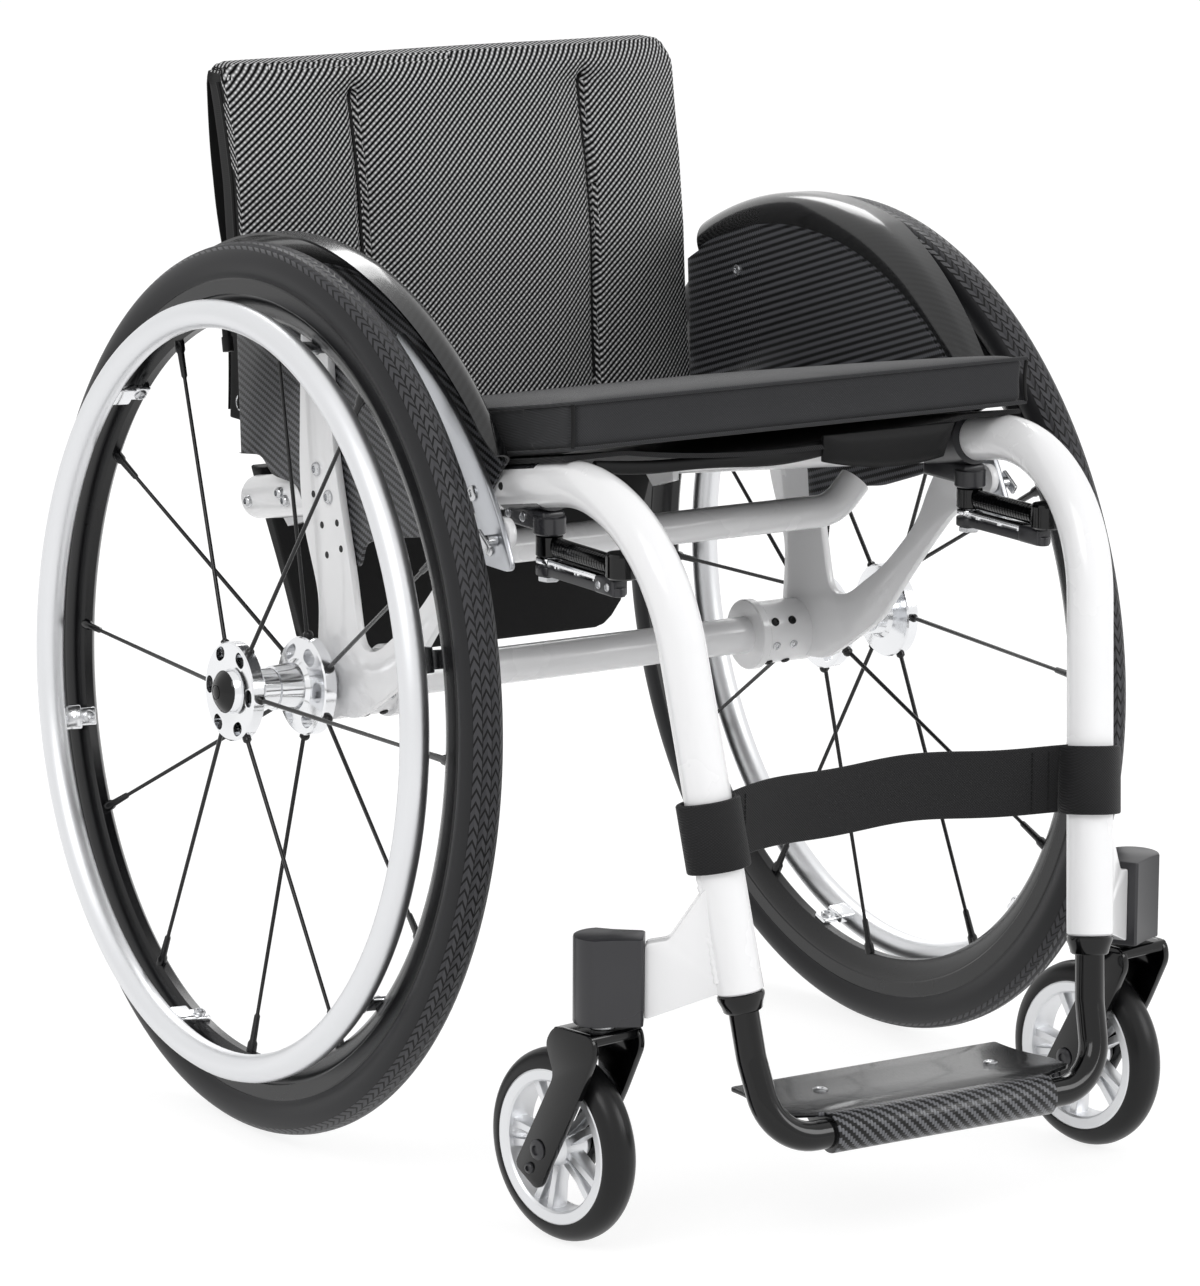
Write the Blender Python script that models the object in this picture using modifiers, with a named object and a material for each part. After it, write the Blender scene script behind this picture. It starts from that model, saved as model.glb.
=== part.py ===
"""Rigid wheelchair: fixed tube frame, cambered rear wheels, casters, folding back.

Metres, +Z up. +X is the rider's left and -Y is forward. The floor is Z = 0.
Side pieces are worked out for the +X side and mirrored by a side factor.
Lengths along Y are measured from the rear axle, which the root empty carries.
The seat line is the centre line of the seat tubes, the axle line that of the axle tube.
"""

import math

import bmesh
import bpy
from mathutils import Matrix, Vector

# Clearances between neighbouring pieces
GAP = 0.0003
SHEET_GAP = 0.0005
CUTTER_OVERRUN = 0.004

# Where the rear axle stands behind the middle of the footprint
AXLE_Y = 0.0784

# Side frame tubes: seat line down to the rear, leg down to the front
FRAME_X = 0.166
FRAME_TUBE_RADIUS = 0.015
FRAME_CORNER_Y = -0.3618
FRAME_CORNER_Z = 0.4866
SEAT_SLOPE = 0.181
FRAME_BEND_RADIUS = 0.1038
FRAME_REAR_Y = 0.138
SEAT_REAR_Z = FRAME_CORNER_Z - SEAT_SLOPE * (FRAME_REAR_Y - FRAME_CORNER_Y)
LEG_LEAN_IN = 0.0998
LEG_LEAN_FORWARD = 0.1685
LEG_END_Z = 0.170

# Side guards, plates and stays, from the frame tube outwards
GUARD_THICKNESS = 0.002
PLATE_THICKNESS = 0.006
STAY_THICKNESS = 0.004
GUARD_X = FRAME_X + FRAME_TUBE_RADIUS + SHEET_GAP
PLATE_X = GUARD_X + GUARD_THICKNESS + SHEET_GAP
STAY_X = PLATE_X + PLATE_THICKNESS + SHEET_GAP

# Quick-release axle and its receiver, along the wheel's own axis
AXLE_PIN_RADIUS = 0.00635
AXLE_HEAD_RADIUS = 0.0105
AXLE_HEAD_THICKNESS = 0.0055
BUTTON_RADIUS = 0.0045
BUTTON_TRAVEL = 0.003
BUTTON_SEAT = 0.0015
BUTTON_CROWN = 0.0008
BUTTON_EDGE = 0.001
RECEIVER_RADIUS = 0.0115
RECEIVER_FLOOR = 0.003
RECEIVER_NUT_RADIUS = 0.015
RECEIVER_NUT_GAP = 0.001
RECEIVER_NUT_LENGTH = 0.005
RECEIVER_LENGTH = 0.022
RECEIVER_INNER_X = PLATE_X + PLATE_THICKNESS - RECEIVER_LENGTH
RECEIVER_SHOULDER_X = PLATE_X + PLATE_THICKNESS + GAP + RECEIVER_NUT_GAP

# Hub and spokes, along the wheel's own axis
HUB_FLANGE_RADIUS = 0.033
HUB_FLANGE_THICKNESS = 0.006
HUB_OUTER_FACE = 0.024
HUB_INNER_FACE = -0.040
HUB_BARREL_RADIUS = 0.015
HUB_BARREL_FLARE = 0.001
HUB_FLANGE_ROOT = 0.002
HUB_NOSE_RADIUS = 0.013
HUB_NOSE_LENGTH = 0.003
HUB_NOSE_FLARE = 0.002
HUB_STEPS = 20
HUB_POCKETS = 6
HUB_POCKET_RADIUS = 0.0042
HUB_POCKET_CIRCLE = 0.0225
HUB_BORE_CLEARANCE = 0.0004
SPOKES_PER_FLANGE = 6
SPOKE_RADIUS = 0.0015
SPOKE_HEAD_FACTOR = 1.9
SPOKE_HEAD_INSET = 0.006
SPOKE_HEAD_LENGTH = 0.014
NIPPLE_FACTOR = 1.7
NIPPLE_LENGTH = 0.025
NIPPLE_TAPER = 0.004
SPOKE_RIM_SPREAD = 0.0015
SPOKE_END_GAP = 0.0006

# Rear wheels: the hub stands off the receiver's nut and sets the track
CAMBER = math.radians(2.5)
HUB_CLEARANCE = 0.0061
WHEEL_X = RECEIVER_SHOULDER_X + RECEIVER_NUT_LENGTH + HUB_CLEARANCE - HUB_INNER_FACE
TYRE_RADIUS = 0.296
TYRE_SECTION = 0.024
TYRE_HALF_WIDTH = 0.014
TREAD_HALF_WIDTH = 0.0055
TYRE_SHOULDER_DROP = 0.008
TYRE_SHOULDER_INSET = 0.001
TYRE_SIDE_DROP = 0.015
TYRE_BEAD_INSET = 0.0005
RIM_RADIUS = TYRE_RADIUS - TYRE_SECTION
RIM_DEPTH = 0.025
RIM_INNER_RADIUS = RIM_RADIUS - RIM_DEPTH
RIM_WALL_DEPTH = 0.012
RIM_HALF_WIDTH = 0.011
RIM_NOSE_HALF_WIDTH = 0.004
WHEEL_STEPS = 36
PUSH_RIM_DROP = 0.0132
PUSH_RIM_OUTER_RADIUS = RIM_RADIUS - PUSH_RIM_DROP
PUSH_RIM_TUBE_RADIUS = 0.0095
PUSH_RIM_OFFSET = 0.0285
PUSH_RIM_SIDES = 6
PUSH_RIM_TABS = 6
TAB_PHASE = math.radians(15.0)
TAB_WIDTH = 0.014
TAB_HEIGHT = 0.011
TAB_LAP = 0.001

# Cross members
AXLE_TUBE_RADIUS = 0.0127
AXLE_DROP = 0.0045
AXLE_LINE_Z = TYRE_RADIUS - AXLE_DROP
AXLE_TUBE_INSET = 0.010
AXLE_TUBE_HALF_LENGTH = FRAME_X - AXLE_TUBE_INSET
CROSS_TUBE_RADIUS = 0.0111
CROSS_TUBE_Y = -0.115
CROSS_TUBE_DROP = 0.0429
CROSS_TUBE_BEND_X = FRAME_X - 0.030
CROSS_TUBE_BEND_RADIUS = 0.040

# Side plate: points as (y, height over the seat line) or (y, height over the axle line)
PLATE_REAR_UPPER = ((0.038, 0.1058), (0.0405, 0.0182))
PLATE_REAR_LOWER = ((0.036, 0.1065), (0.0166, 0.0645), (0.0145, 0.0495))
PLATE_FRONT_LOWER = ((-0.036, -0.0155), (-0.072, 0.0052), (-0.103, 0.0248), (-0.1305, 0.0560),
                     (-0.1467, 0.0735), (-0.163, 0.0905))
PLATE_FRONT_UPPER = ((-0.184, -0.0514),)
PLATE_LOBE = (-0.2235, -0.0311)
PLATE_LOBE_RADIUS = 0.015
PLATE_ARM_UPPER = ((-0.172, -0.0137), (-0.157, -0.0325))
PLATE_GULLET = ((-0.146, 0.1025), (-0.130, 0.0850), (-0.105, 0.0625), (-0.080, 0.0465),
                (-0.064, 0.0360), (-0.050, 0.0330), (-0.040, 0.0370), (-0.0347, 0.0575), (-0.028, 0.0860))
PLATE_REAR_ARM = ((-0.0196, -0.0217), (-0.0066, 0.0257), (0.0, 0.0789))
PLATE_TIP = (0.0195, 0.1024)
PLATE_TIP_RADIUS = 0.0185
BARREL_RADIUS = 0.022
BARREL_INSET = 0.024
BARREL_INNER_X = FRAME_X - BARREL_INSET
CLAMP_RING_RADIUS = 0.0245
CLAMP_RING_LENGTH = 0.007

# Side guard: lower edge as (y, height over the seat line), lip round the tyre
GUARD_LOWER_FRONT = ((-0.190, -0.0155), (-0.150, -0.0243), (-0.107, -0.0305), (-0.060, -0.0300),
                     (-0.036, -0.0336), (-0.030, -0.0495), (-0.020, -0.0477), (-0.016, -0.0120))
GUARD_LOWER_REAR = ((0.010, -0.0143), (0.045, -0.0080), (0.055, 0.0083), (0.0888, 0.0155), (0.104, 0.0297))
GUARD_REAR_CORNER = (0.138, 0.0324)
GUARD_LIP_GAP = 0.003
GUARD_LIP_RADIUS = TYRE_RADIUS + GUARD_LIP_GAP
GUARD_FILLET = 0.020
GUARD_FRONT_FILLET = 0.010
GUARD_FRONT_REACH = 0.0075
GUARD_REAR_ANGLE = math.radians(27.0)
GUARD_FRONT_RISE = 0.0140
GUARD_END_ANGLE = math.radians(5.0)
GUARD_FADE_START = math.radians(15.0)
GUARD_FADE_END = math.radians(45.0)
GUARD_LIP_SHELL = 0.0016
GUARD_LIP_OVERLAP = 0.006
GUARD_LIP_COLUMNS = 18
GUARD_LIP_ROWS = 7

# Guard stay: a strip round the wheel's centre, wider at its foot
STAY_INSET = 0.028
STAY_OUTER_RADIUS = TYRE_RADIUS - STAY_INSET
STAY_WIDTH = 0.024
STAY_TAPER = 0.012
STAY_TOP_ANGLE = math.radians(21.5)
STAY_FOOT_ANGLE = math.radians(57.0)
STAY_INNER_END = math.radians(53.5)
STAY_FOOT = ((math.radians(59.9), 0.0404), (math.radians(64.2), 0.0060), (math.radians(63.8), 0.0006))

# Seat
CUSHION_OVERHANG = 0.010
CUSHION_HALF_WIDTH = FRAME_X + CUSHION_OVERHANG
CUSHION_SETBACK = 0.0798
CUSHION_FRONT_Y = FRAME_CORNER_Y + CUSHION_SETBACK
CUSHION_LENGTH = 0.358
CUSHION_THICKNESS = 0.032
CUSHION_CROWN = 0.003
CUSHION_DRAW_IN = 0.003
CUSHION_WAIST = 0.001
CUSHION_EDGE = 0.004
SLING_THICKNESS = 0.0035
SLING_FRONT_SETBACK = 0.010
SLING_REAR_SETBACK = 0.044
SLING_FRONT_Y = CUSHION_FRONT_Y + SLING_FRONT_SETBACK
SLING_REAR_Y = FRAME_REAR_Y - SLING_REAR_SETBACK
SLING_SAG = 0.010
SLING_FREE_SHARE = 0.74

# Bag that hangs behind the rear ends of the seat tubes
BAG_TOP_HALF_WIDTH = 0.164
BAG_BOTTOM_HALF_WIDTH = 0.130
BAG_DEPTH = 0.024
BAG_TOP_RISE = 0.0045
BAG_DROP = 0.141
BAG_EDGE = 0.004
BAG_CORNER = 0.018

# Back: canes as (y, z) from the hinge pins
HINGE_SETBACK = 0.002
HINGE_Y = FRAME_REAR_Y + HINGE_SETBACK
HINGE_RISE = 0.0659
HINGE_Z = SEAT_REAR_Z + HINGE_RISE
HINGE_PIN_RADIUS = 0.004
HINGE_PIN_LAP = 0.001
HINGE_EYE_RADIUS = 0.011
CANE_OUTSET = 0.001
CANE_X = FRAME_X + CANE_OUTSET
CANE_RADIUS = 0.0095
CANE_FOOT = 0.012
CANE_POINTS = ((0.0, 0.0), (0.0055, 0.098), (0.012, 0.148), (0.025, 0.210))
BACK_SIDE_CLEARANCE = 0.0015
BACK_HALF_WIDTH = GUARD_X - BACK_SIDE_CLEARANCE
BACK_BOTTOM = -0.012
BACK_TOP = 0.231
BACK_TOP_CROWN = 0.004
BACK_WAIST = 0.003
BACK_THICKNESS = 0.030
BACK_BULGE = 0.020
BACK_GROOVE_X = 0.092
BACK_GROOVE_DEPTH = 0.007
BACK_GROOVE_WIDTH = 0.010
BACK_COLUMNS = 26
BACK_ROWS = 6
BACK_BAR_RISE = 0.138
BACK_BAR_RADIUS = 0.0065
BRACKET_THICKNESS = 0.005
BRACKET_INNER_X = FRAME_X - FRAME_TUBE_RADIUS - GAP - BRACKET_THICKNESS
BRACKET_FOOT = ((-0.022, 0.018), (-0.040, 0.012), (-0.040, -0.012), (-0.014, -0.020), (-0.004, -0.012),
                (-0.001, 0.030))
NOTCH_MARGIN = 0.004
NOTCH_LOW = 0.030
NOTCH_HIGH = 0.018
NOTCH_REACH = 0.060

# Scissor brakes, under the front of the seat tubes
BRAKE_SETBACK = 0.1268
BRAKE_PIVOT_Y = FRAME_CORNER_Y + BRAKE_SETBACK
BRAKE_INSET = 0.003
BRAKE_X = FRAME_X - BRAKE_INSET
SHOE_ARM_LENGTH = 0.086
SHOE_ARM_HEIGHT = 0.014
SHOE_ARM_WIDTH = 0.012
SHOE_RADIUS = 0.011
SHOE_RISE = 0.003
LEVER_LENGTH = 0.082
LEVER_HEIGHT = 0.012
LEVER_WIDTH = 0.009
BRAKE_BOSS_WALL = 0.005
BRAKE_PIN_RADIUS = 0.004
BRAKE_PIN_END = 0.001
BRAKE_CLAMP_AHEAD = 0.015
BRAKE_CLAMP_BEHIND = 0.043
BRAKE_CLAMP_WIDTH = 0.022
BRAKE_CLAMP_HEIGHT = 0.017

# Casters
CASTER_RADIUS = 0.0621
CASTER_HALF_WIDTH = 0.0125
CASTER_TREAD_HALF_WIDTH = 0.006
CASTER_SHOULDER_DROP = 0.004
CASTER_SHOULDER_INSET = 0.001
CASTER_TYRE_DEPTH = 0.0121
CASTER_RIM_RADIUS = CASTER_RADIUS - CASTER_TYRE_DEPTH
CASTER_RIM_WALL = 0.006
CASTER_RIM_INNER_RADIUS = CASTER_RIM_RADIUS - CASTER_RIM_WALL
CASTER_RIM_INSET = 0.0015
CASTER_HUB_RADIUS = 0.012
CASTER_SPOKES = 5
CASTER_SPOKE_WIDTH = 0.010
CASTER_SPOKE_DEPTH = 0.010
CASTER_SPOKE_LAP = 0.002
CASTER_STEPS = 24
CASTER_TRAIL = 0.036
CASTER_YAW = math.radians(9.0)
CASTER_BOLT_RADIUS = 0.004
CASTER_BOLT_HEAD = 0.004
CASTER_BOLT_HEAD_RADIUS = 0.007
CASTER_BOLT_CROWN_RADIUS = 0.006
FORK_WHEEL_GAP = 0.004
FORK_INNER_HALF_WIDTH = CASTER_HALF_WIDTH + FORK_WHEEL_GAP
FORK_PLATE = 0.005
FORK_HEADROOM = 0.0163
FORK_CROWN_TOP = 2 * CASTER_RADIUS + FORK_HEADROOM + FORK_PLATE
FORK_CROWN_FRONT = -0.014
FORK_CROWN_REAR = 0.022
FORK_CROWN_DROP = 0.012
FORK_LEG_WIDTH = 0.026
FORK_LEG_RUN = 0.052
FORK_FOOT_DROP = 0.024
FORK_FOOT_CORNER = 0.004
FORK_LEAN_DROP = 0.020
SWEEP_CLEARANCE = 0.003

# Caster housings and stems, over the forks
STEM_OUTSET = 0.038
STEM_X = FRAME_X + STEM_OUTSET
STEM_AHEAD = 0.0037
STEM_Y = FRAME_CORNER_Y - STEM_AHEAD
HOUSING_GAP = 0.0035
HOUSING_HEIGHT = 0.056
HOUSING_BOTTOM_Z = FORK_CROWN_TOP + HOUSING_GAP
HOUSING_TOP_Z = HOUSING_BOTTOM_Z + HOUSING_HEIGHT
HOUSING_RADIUS = 0.0185
HOUSING_TAIL_LENGTH = 0.026
HOUSING_TAIL_WIDTH = 0.026
HOUSING_TAIL_CORNER = (0.008, 0.004)
HOUSING_BORE_RADIUS = 0.011
STEM_RADIUS = 0.006
STEM_COLLAR = 0.002
STEM_CAP_HEIGHT = 0.004
STEM_CAP_DROP = 0.0005
STEM_BEARING_HEIGHT = 0.007

# Gussets between the legs and the caster housings
GUSSET_THICKNESS = 0.012
GUSSET_LEG_TOP_Z = LEG_END_Z + 0.066
GUSSET_LEG_BOTTOM_Z = LEG_END_Z + 0.016
GUSSET_TOP_Z = HOUSING_TOP_Z - 0.004
GUSSET_BOTTOM_Z = HOUSING_BOTTOM_Z + 0.003
GUSSET_TOP_RISE = 0.006
GUSSET_TOP_RUN = 0.014

# Footrest
FOOT_TUBE_RADIUS = 0.0095
FOOT_CORNER = (FRAME_X - 0.0415, FRAME_CORNER_Y - 0.0782, 0.0775)
FOOT_STRAIGHT_Z = LEG_END_Z - 0.042
FOOT_BEND_RADIUS = 0.034
COLLAR_LENGTH = 0.012
COLLAR_WALL = 0.0035
FOOTPLATE_RISE = 0.0125
FOOTPLATE_TOP_Z = FOOT_CORNER[2] + FOOTPLATE_RISE
FOOTPLATE_SHEET = 0.003
FOOTPLATE_HALF_WIDTH = FRAME_X - 0.054
FOOTPLATE_REAR_Y = FOOT_CORNER[1] + 0.083
FOOTPLATE_CORNER_RADIUS = 0.012
FOOTPLATE_FRONT_INSET = (0.004, 0.014)
SLEEVE_HALF_LENGTH = FOOT_CORNER[0] - 0.0405
SLEEVE_WALL = 0.003
SLEEVE_TAIL = (0.026, 0.036)
SLEEVE_TAIL_DROP = 0.004

# Calf strap
STRAP_Z = LEG_END_Z + 0.098
STRAP_HEIGHT = 0.046
STRAP_HEM = 0.002
STRAP_THICKNESS = 0.003
STRAP_LOOP_THICKNESS = 0.005
STRAP_SAG = 0.030
STRAP_END_SETBACK = 0.008
STRAP_END_INSET = 0.010

FINISHES = {
    "white_enamel": ((0.86, 0.86, 0.87), 0.25, 0.0),
    "polished_aluminium": ((0.80, 0.80, 0.82), 0.20, 1.0),
    "satin_aluminium": ((0.72, 0.73, 0.75), 0.40, 1.0),
    "black_anodised": ((0.02, 0.02, 0.022), 0.40, 0.6),
    "black_enamel": ((0.015, 0.015, 0.017), 0.20, 0.0),
    "carbon_laminate": ((0.03, 0.03, 0.033), 0.15, 0.0),
    "tyre_rubber": ((0.03, 0.03, 0.03), 0.75, 0.0),
    "dark_fabric": ((0.06, 0.06, 0.065), 0.90, 0.0),
    "spacer_mesh": ((0.09, 0.09, 0.095), 0.85, 0.0),
    "black_webbing": ((0.02, 0.02, 0.022), 0.80, 0.0),
}


# Scene and object helpers

def clear_scene():
    for obj in list(bpy.data.objects):
        bpy.data.objects.remove(obj, do_unlink=True)


def new_collection(name):
    collection = bpy.data.collections.new(name)
    bpy.context.scene.collection.children.link(collection)
    return collection


def finish_material(name):
    material = bpy.data.materials.get(name)
    if material is None:
        colour, roughness, metallic = FINISHES[name]
        material = bpy.data.materials.new(name)
        material.use_nodes = True
        shader = material.node_tree.nodes["Principled BSDF"]
        shader.inputs["Base Color"].default_value = (*colour, 1.0)
        shader.inputs["Roughness"].default_value = roughness
        shader.inputs["Metallic"].default_value = metallic
    return material


def add_empty(name, location, parent=None, rotation=(0.0, 0.0, 0.0)):
    empty = bpy.data.objects.new(name, None)
    empty.empty_display_size = 0.02
    empty.location = location
    empty.rotation_euler = rotation
    empty.parent = parent
    PARTS.objects.link(empty)
    return empty


def add_part(name, data, finish, parent):
    obj = bpy.data.objects.new(name, data)
    PARTS.objects.link(obj)
    obj.parent = parent
    obj.data.materials.clear()
    obj.data.materials.append(finish_material(finish))
    return obj


def add_cutter(name, data, parent):
    obj = bpy.data.objects.new(name, data)
    CUTTERS.objects.link(obj)
    obj.parent = parent
    obj.hide_render = True
    obj.display_type = "WIRE"
    return obj


def boolean(target, other, operation):
    modifier = target.modifiers.new(operation.lower() + "_" + other.name, "BOOLEAN")
    modifier.operation = operation
    modifier.solver = "EXACT"
    modifier.object = other


def smooth_round(mesh):
    mesh.shade_smooth()
    mesh.set_sharp_from_angle(angle=math.radians(35.0))


def mesh_of(bm, name):
    mesh = bpy.data.meshes.new(name)
    bm.to_mesh(mesh)
    bm.free()
    return mesh


# Shape helpers

def add_rod(bm, start, end, radius, sides, end_radius=None):
    start = Vector(start)
    end = Vector(end)
    run = end - start
    turn = run.to_track_quat("Z", "Y").to_matrix().to_4x4()
    bmesh.ops.create_cone(
        bm, cap_ends=True, segments=sides, radius1=radius,
        radius2=radius if end_radius is None else end_radius,
        depth=run.length, matrix=Matrix.Translation((start + end) / 2) @ turn)


def rod_mesh(name, start, end, radius, sides, end_radius=None):
    bm = bmesh.new()
    add_rod(bm, start, end, radius, sides, end_radius)
    return mesh_of(bm, name)


def box_mesh(name, low, high):
    low = Vector(low)
    high = Vector(high)
    bm = bmesh.new()
    bmesh.ops.create_cube(bm, size=1.0)
    bmesh.ops.scale(bm, vec=high - low, verts=bm.verts)
    bmesh.ops.translate(bm, vec=(low + high) / 2, verts=bm.verts)
    return mesh_of(bm, name)


def turned_mesh(name, profile, steps, ring):
    """Turn (radius, height) points about Z; they run down the outer side."""
    bm = bmesh.new()
    verts = [bm.verts.new((radius, 0.0, height)) for radius, height in profile]
    for first, second in zip(verts, verts[1:]):
        bm.edges.new((first, second))
    if ring:
        bm.edges.new((verts[-1], verts[0]))
    guide = add_cutter(name + "_profile", mesh_of(bm, name + "_profile"), None)
    screw = guide.modifiers.new("turn", "SCREW")
    screw.steps = steps
    screw.render_steps = steps
    screw.use_merge_vertices = True
    screw.merge_threshold = 0.00001
    return baked_mesh(guide, name)


def baked_mesh(guide, name):
    """The evaluated shape of a guide as a welded mesh in the guide's space."""
    depsgraph = bpy.context.evaluated_depsgraph_get()
    mesh = bpy.data.meshes.new_from_object(guide.evaluated_get(depsgraph))
    mesh.name = name
    bm = bmesh.new()
    bm.from_mesh(mesh)
    bmesh.ops.remove_doubles(bm, verts=bm.verts, dist=0.00001)
    bmesh.ops.recalc_face_normals(bm, faces=bm.faces)
    bm.to_mesh(mesh)
    bm.free()
    bpy.data.objects.remove(guide, do_unlink=True)
    smooth_round(mesh)
    return mesh


def swept_mesh(name, paths, radius, resolution, factors=None):
    """Round tubes along point lists, each a closed body; factors scale the radius."""
    curve = bpy.data.curves.new(name + "_path", "CURVE")
    curve.dimensions = "3D"
    curve.bevel_depth = radius
    curve.bevel_resolution = resolution
    curve.use_fill_caps = True
    for path in paths:
        spline = curve.splines.new("POLY")
        spline.points.add(len(path) - 1)
        for index, point in enumerate(path):
            spline.points[index].co = (*point, 1.0)
            if factors is not None:
                spline.points[index].radius = factors[index]
    guide = add_cutter(name + "_path", curve, None)
    return baked_mesh(guide, name)


def outline_mesh(name, outlines, thickness):
    """A flat plate in XY; outlines after the first are its holes."""
    curve = bpy.data.curves.new(name + "_outline", "CURVE")
    curve.dimensions = "2D"
    curve.fill_mode = "BOTH"
    curve.extrude = thickness / 2
    for outline in outlines:
        spline = curve.splines.new("POLY")
        spline.points.add(len(outline) - 1)
        for index, (across, along) in enumerate(outline):
            spline.points[index].co = (across, along, 0.0, 1.0)
        spline.use_cyclic_u = True
    guide = add_cutter(name + "_outline", curve, None)
    return baked_mesh(guide, name)


def side_sheet(name, outlines, side, inner_x, thickness):
    """A plate in the YZ plane whose inner face is at inner_x on one side."""
    mesh = outline_mesh(name, outlines, thickness)
    turn = Matrix(((0, 0, 1, 0), (1, 0, 0, 0), (0, 1, 0, 0), (0, 0, 0, 1)))
    shift = Matrix.Translation((side * (inner_x + thickness / 2), 0.0, 0.0))
    mesh.transform(shift @ turn)
    return mesh


def arc_points(centre, radius, start, end, count):
    """Points on a flat arc; angles from the first axis towards the second."""
    points = []
    for index in range(count + 1):
        angle = start + (end - start) * index / count
        points.append((centre[0] + radius * math.cos(angle), centre[1] + radius * math.sin(angle)))
    return points


def rounded_path(points, radius, count):
    """A polyline with each inner corner replaced by an arc of one radius."""
    path = [Vector(points[0])]
    for before, corner, after in zip(points, points[1:], points[2:]):
        corner = Vector(corner)
        to_before = (Vector(before) - corner).normalized()
        to_after = (Vector(after) - corner).normalized()
        half = to_before.angle(to_after) / 2
        centre = corner + (to_before + to_after).normalized() * radius / math.sin(half)
        first = corner + to_before * radius / math.tan(half) - centre
        last = corner + to_after * radius / math.tan(half) - centre
        turn = first.angle(last)
        for index in range(count + 1):
            share = index / count
            weight_a = math.sin((1 - share) * turn) / math.sin(turn)
            weight_b = math.sin(share * turn) / math.sin(turn)
            path.append(centre + first * weight_a + last * weight_b)
    path.append(Vector(points[-1]))
    return path


# Frame geometry

def seat_line_z(y):
    """Height of the seat tube's centre line at a place along Y."""
    return FRAME_CORNER_Z - SEAT_SLOPE * (y - FRAME_CORNER_Y)


def over_seat(points):
    """Points as (y, z) from ones given as (y, height over the seat line)."""
    return [(y, seat_line_z(y) + height) for y, height in points]


def over_axle(points):
    """Points as (y, z) from ones given as (y, height over the axle line)."""
    return [(y, AXLE_LINE_Z + height) for y, height in points]


def leg_point(side, z):
    """Centre of the leg tube at a height."""
    drop = FRAME_CORNER_Z - z
    return Vector((side * (FRAME_X - LEG_LEAN_IN * drop), FRAME_CORNER_Y - LEG_LEAN_FORWARD * drop, z))


def frame_path(side):
    rear = (side * FRAME_X, FRAME_REAR_Y, seat_line_z(FRAME_REAR_Y))
    corner = (side * FRAME_X, FRAME_CORNER_Y, FRAME_CORNER_Z)
    return rounded_path([rear, corner, leg_point(side, LEG_END_Z)], FRAME_BEND_RADIUS, 9)


def frame_clearance(name, side, parent):
    mesh = swept_mesh(name, [frame_path(side)], FRAME_TUBE_RADIUS + GAP, 4)
    return add_cutter(name, mesh, parent)


def build_frame_tube(label, side, root):
    mesh = swept_mesh("frame_tube_" + label, [frame_path(side)], FRAME_TUBE_RADIUS, 4)
    add_part("frame_tube_" + label, mesh, "white_enamel", root)


def housing_direction(side):
    """Level direction from a caster stem towards its leg."""
    leg = leg_point(side, (HOUSING_BOTTOM_Z + HOUSING_TOP_Z) / 2)
    away = leg - Vector((side * STEM_X, STEM_Y, leg.z))
    return away.normalized()


def build_gusset(label, side, root):
    """Web from the leg to the housing's tail, cut to the leg's round."""
    towards = housing_direction(side)
    stem = Vector((side * STEM_X, STEM_Y, 0.0))
    tail = stem + towards * (HOUSING_TAIL_LENGTH + GAP)
    outward = -towards
    reach = (leg_point(side, LEG_END_Z) - tail).dot(towards)
    top_reach = (leg_point(side, GUSSET_LEG_TOP_Z) - tail).dot(towards)
    outline = [(0.0, GUSSET_BOTTOM_Z), (0.0, GUSSET_TOP_Z), (-reach * 0.35, GUSSET_TOP_Z + GUSSET_TOP_RISE),
               (-top_reach + GUSSET_TOP_RUN, GUSSET_LEG_TOP_Z), (-top_reach, GUSSET_LEG_TOP_Z),
               (-reach, GUSSET_LEG_BOTTOM_Z), (-reach * 0.45, GUSSET_BOTTOM_Z)]
    mesh = outline_mesh("caster_gusset_" + label, [outline], GUSSET_THICKNESS)
    across = outward.cross(Vector((0.0, 0.0, 1.0)))
    turn = Matrix((outward, (0.0, 0.0, 1.0), across)).transposed().to_4x4()
    mesh.transform(Matrix.Translation((tail.x, tail.y, 0.0)) @ turn)
    gusset = add_part("caster_gusset_" + label, mesh, "white_enamel", root)
    boolean(gusset, frame_clearance("gusset_saddle_" + label, side, root), "DIFFERENCE")


def build_caster_housing(label, side, root):
    """Upright teardrop block with the stem's bore at its round end."""
    half_turn = math.radians(112.0)
    outline = arc_points((0.0, 0.0), HOUSING_RADIUS, half_turn, 2 * math.pi - half_turn, 12)
    along, across = HOUSING_TAIL_CORNER
    outline.append((HOUSING_TAIL_LENGTH - along, -HOUSING_TAIL_WIDTH / 2))
    outline.append((HOUSING_TAIL_LENGTH, -HOUSING_TAIL_WIDTH / 2 + across))
    outline.append((HOUSING_TAIL_LENGTH, HOUSING_TAIL_WIDTH / 2 - across))
    outline.append((HOUSING_TAIL_LENGTH - along, HOUSING_TAIL_WIDTH / 2))
    bore = arc_points((0.0, 0.0), HOUSING_BORE_RADIUS, 0.0, 2 * math.pi, 16)[:-1]
    mesh = outline_mesh("caster_housing_" + label, [outline, bore], HOUSING_TOP_Z - HOUSING_BOTTOM_Z)
    towards = housing_direction(side)
    sideways = Vector((0.0, 0.0, 1.0)).cross(towards)
    turn = Matrix((towards, sideways, (0.0, 0.0, 1.0))).transposed().to_4x4()
    middle = (side * STEM_X, STEM_Y, (HOUSING_TOP_Z + HOUSING_BOTTOM_Z) / 2)
    mesh.transform(Matrix.Translation(middle) @ turn)
    add_part("caster_housing_" + label, mesh, "black_anodised", root)


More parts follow.
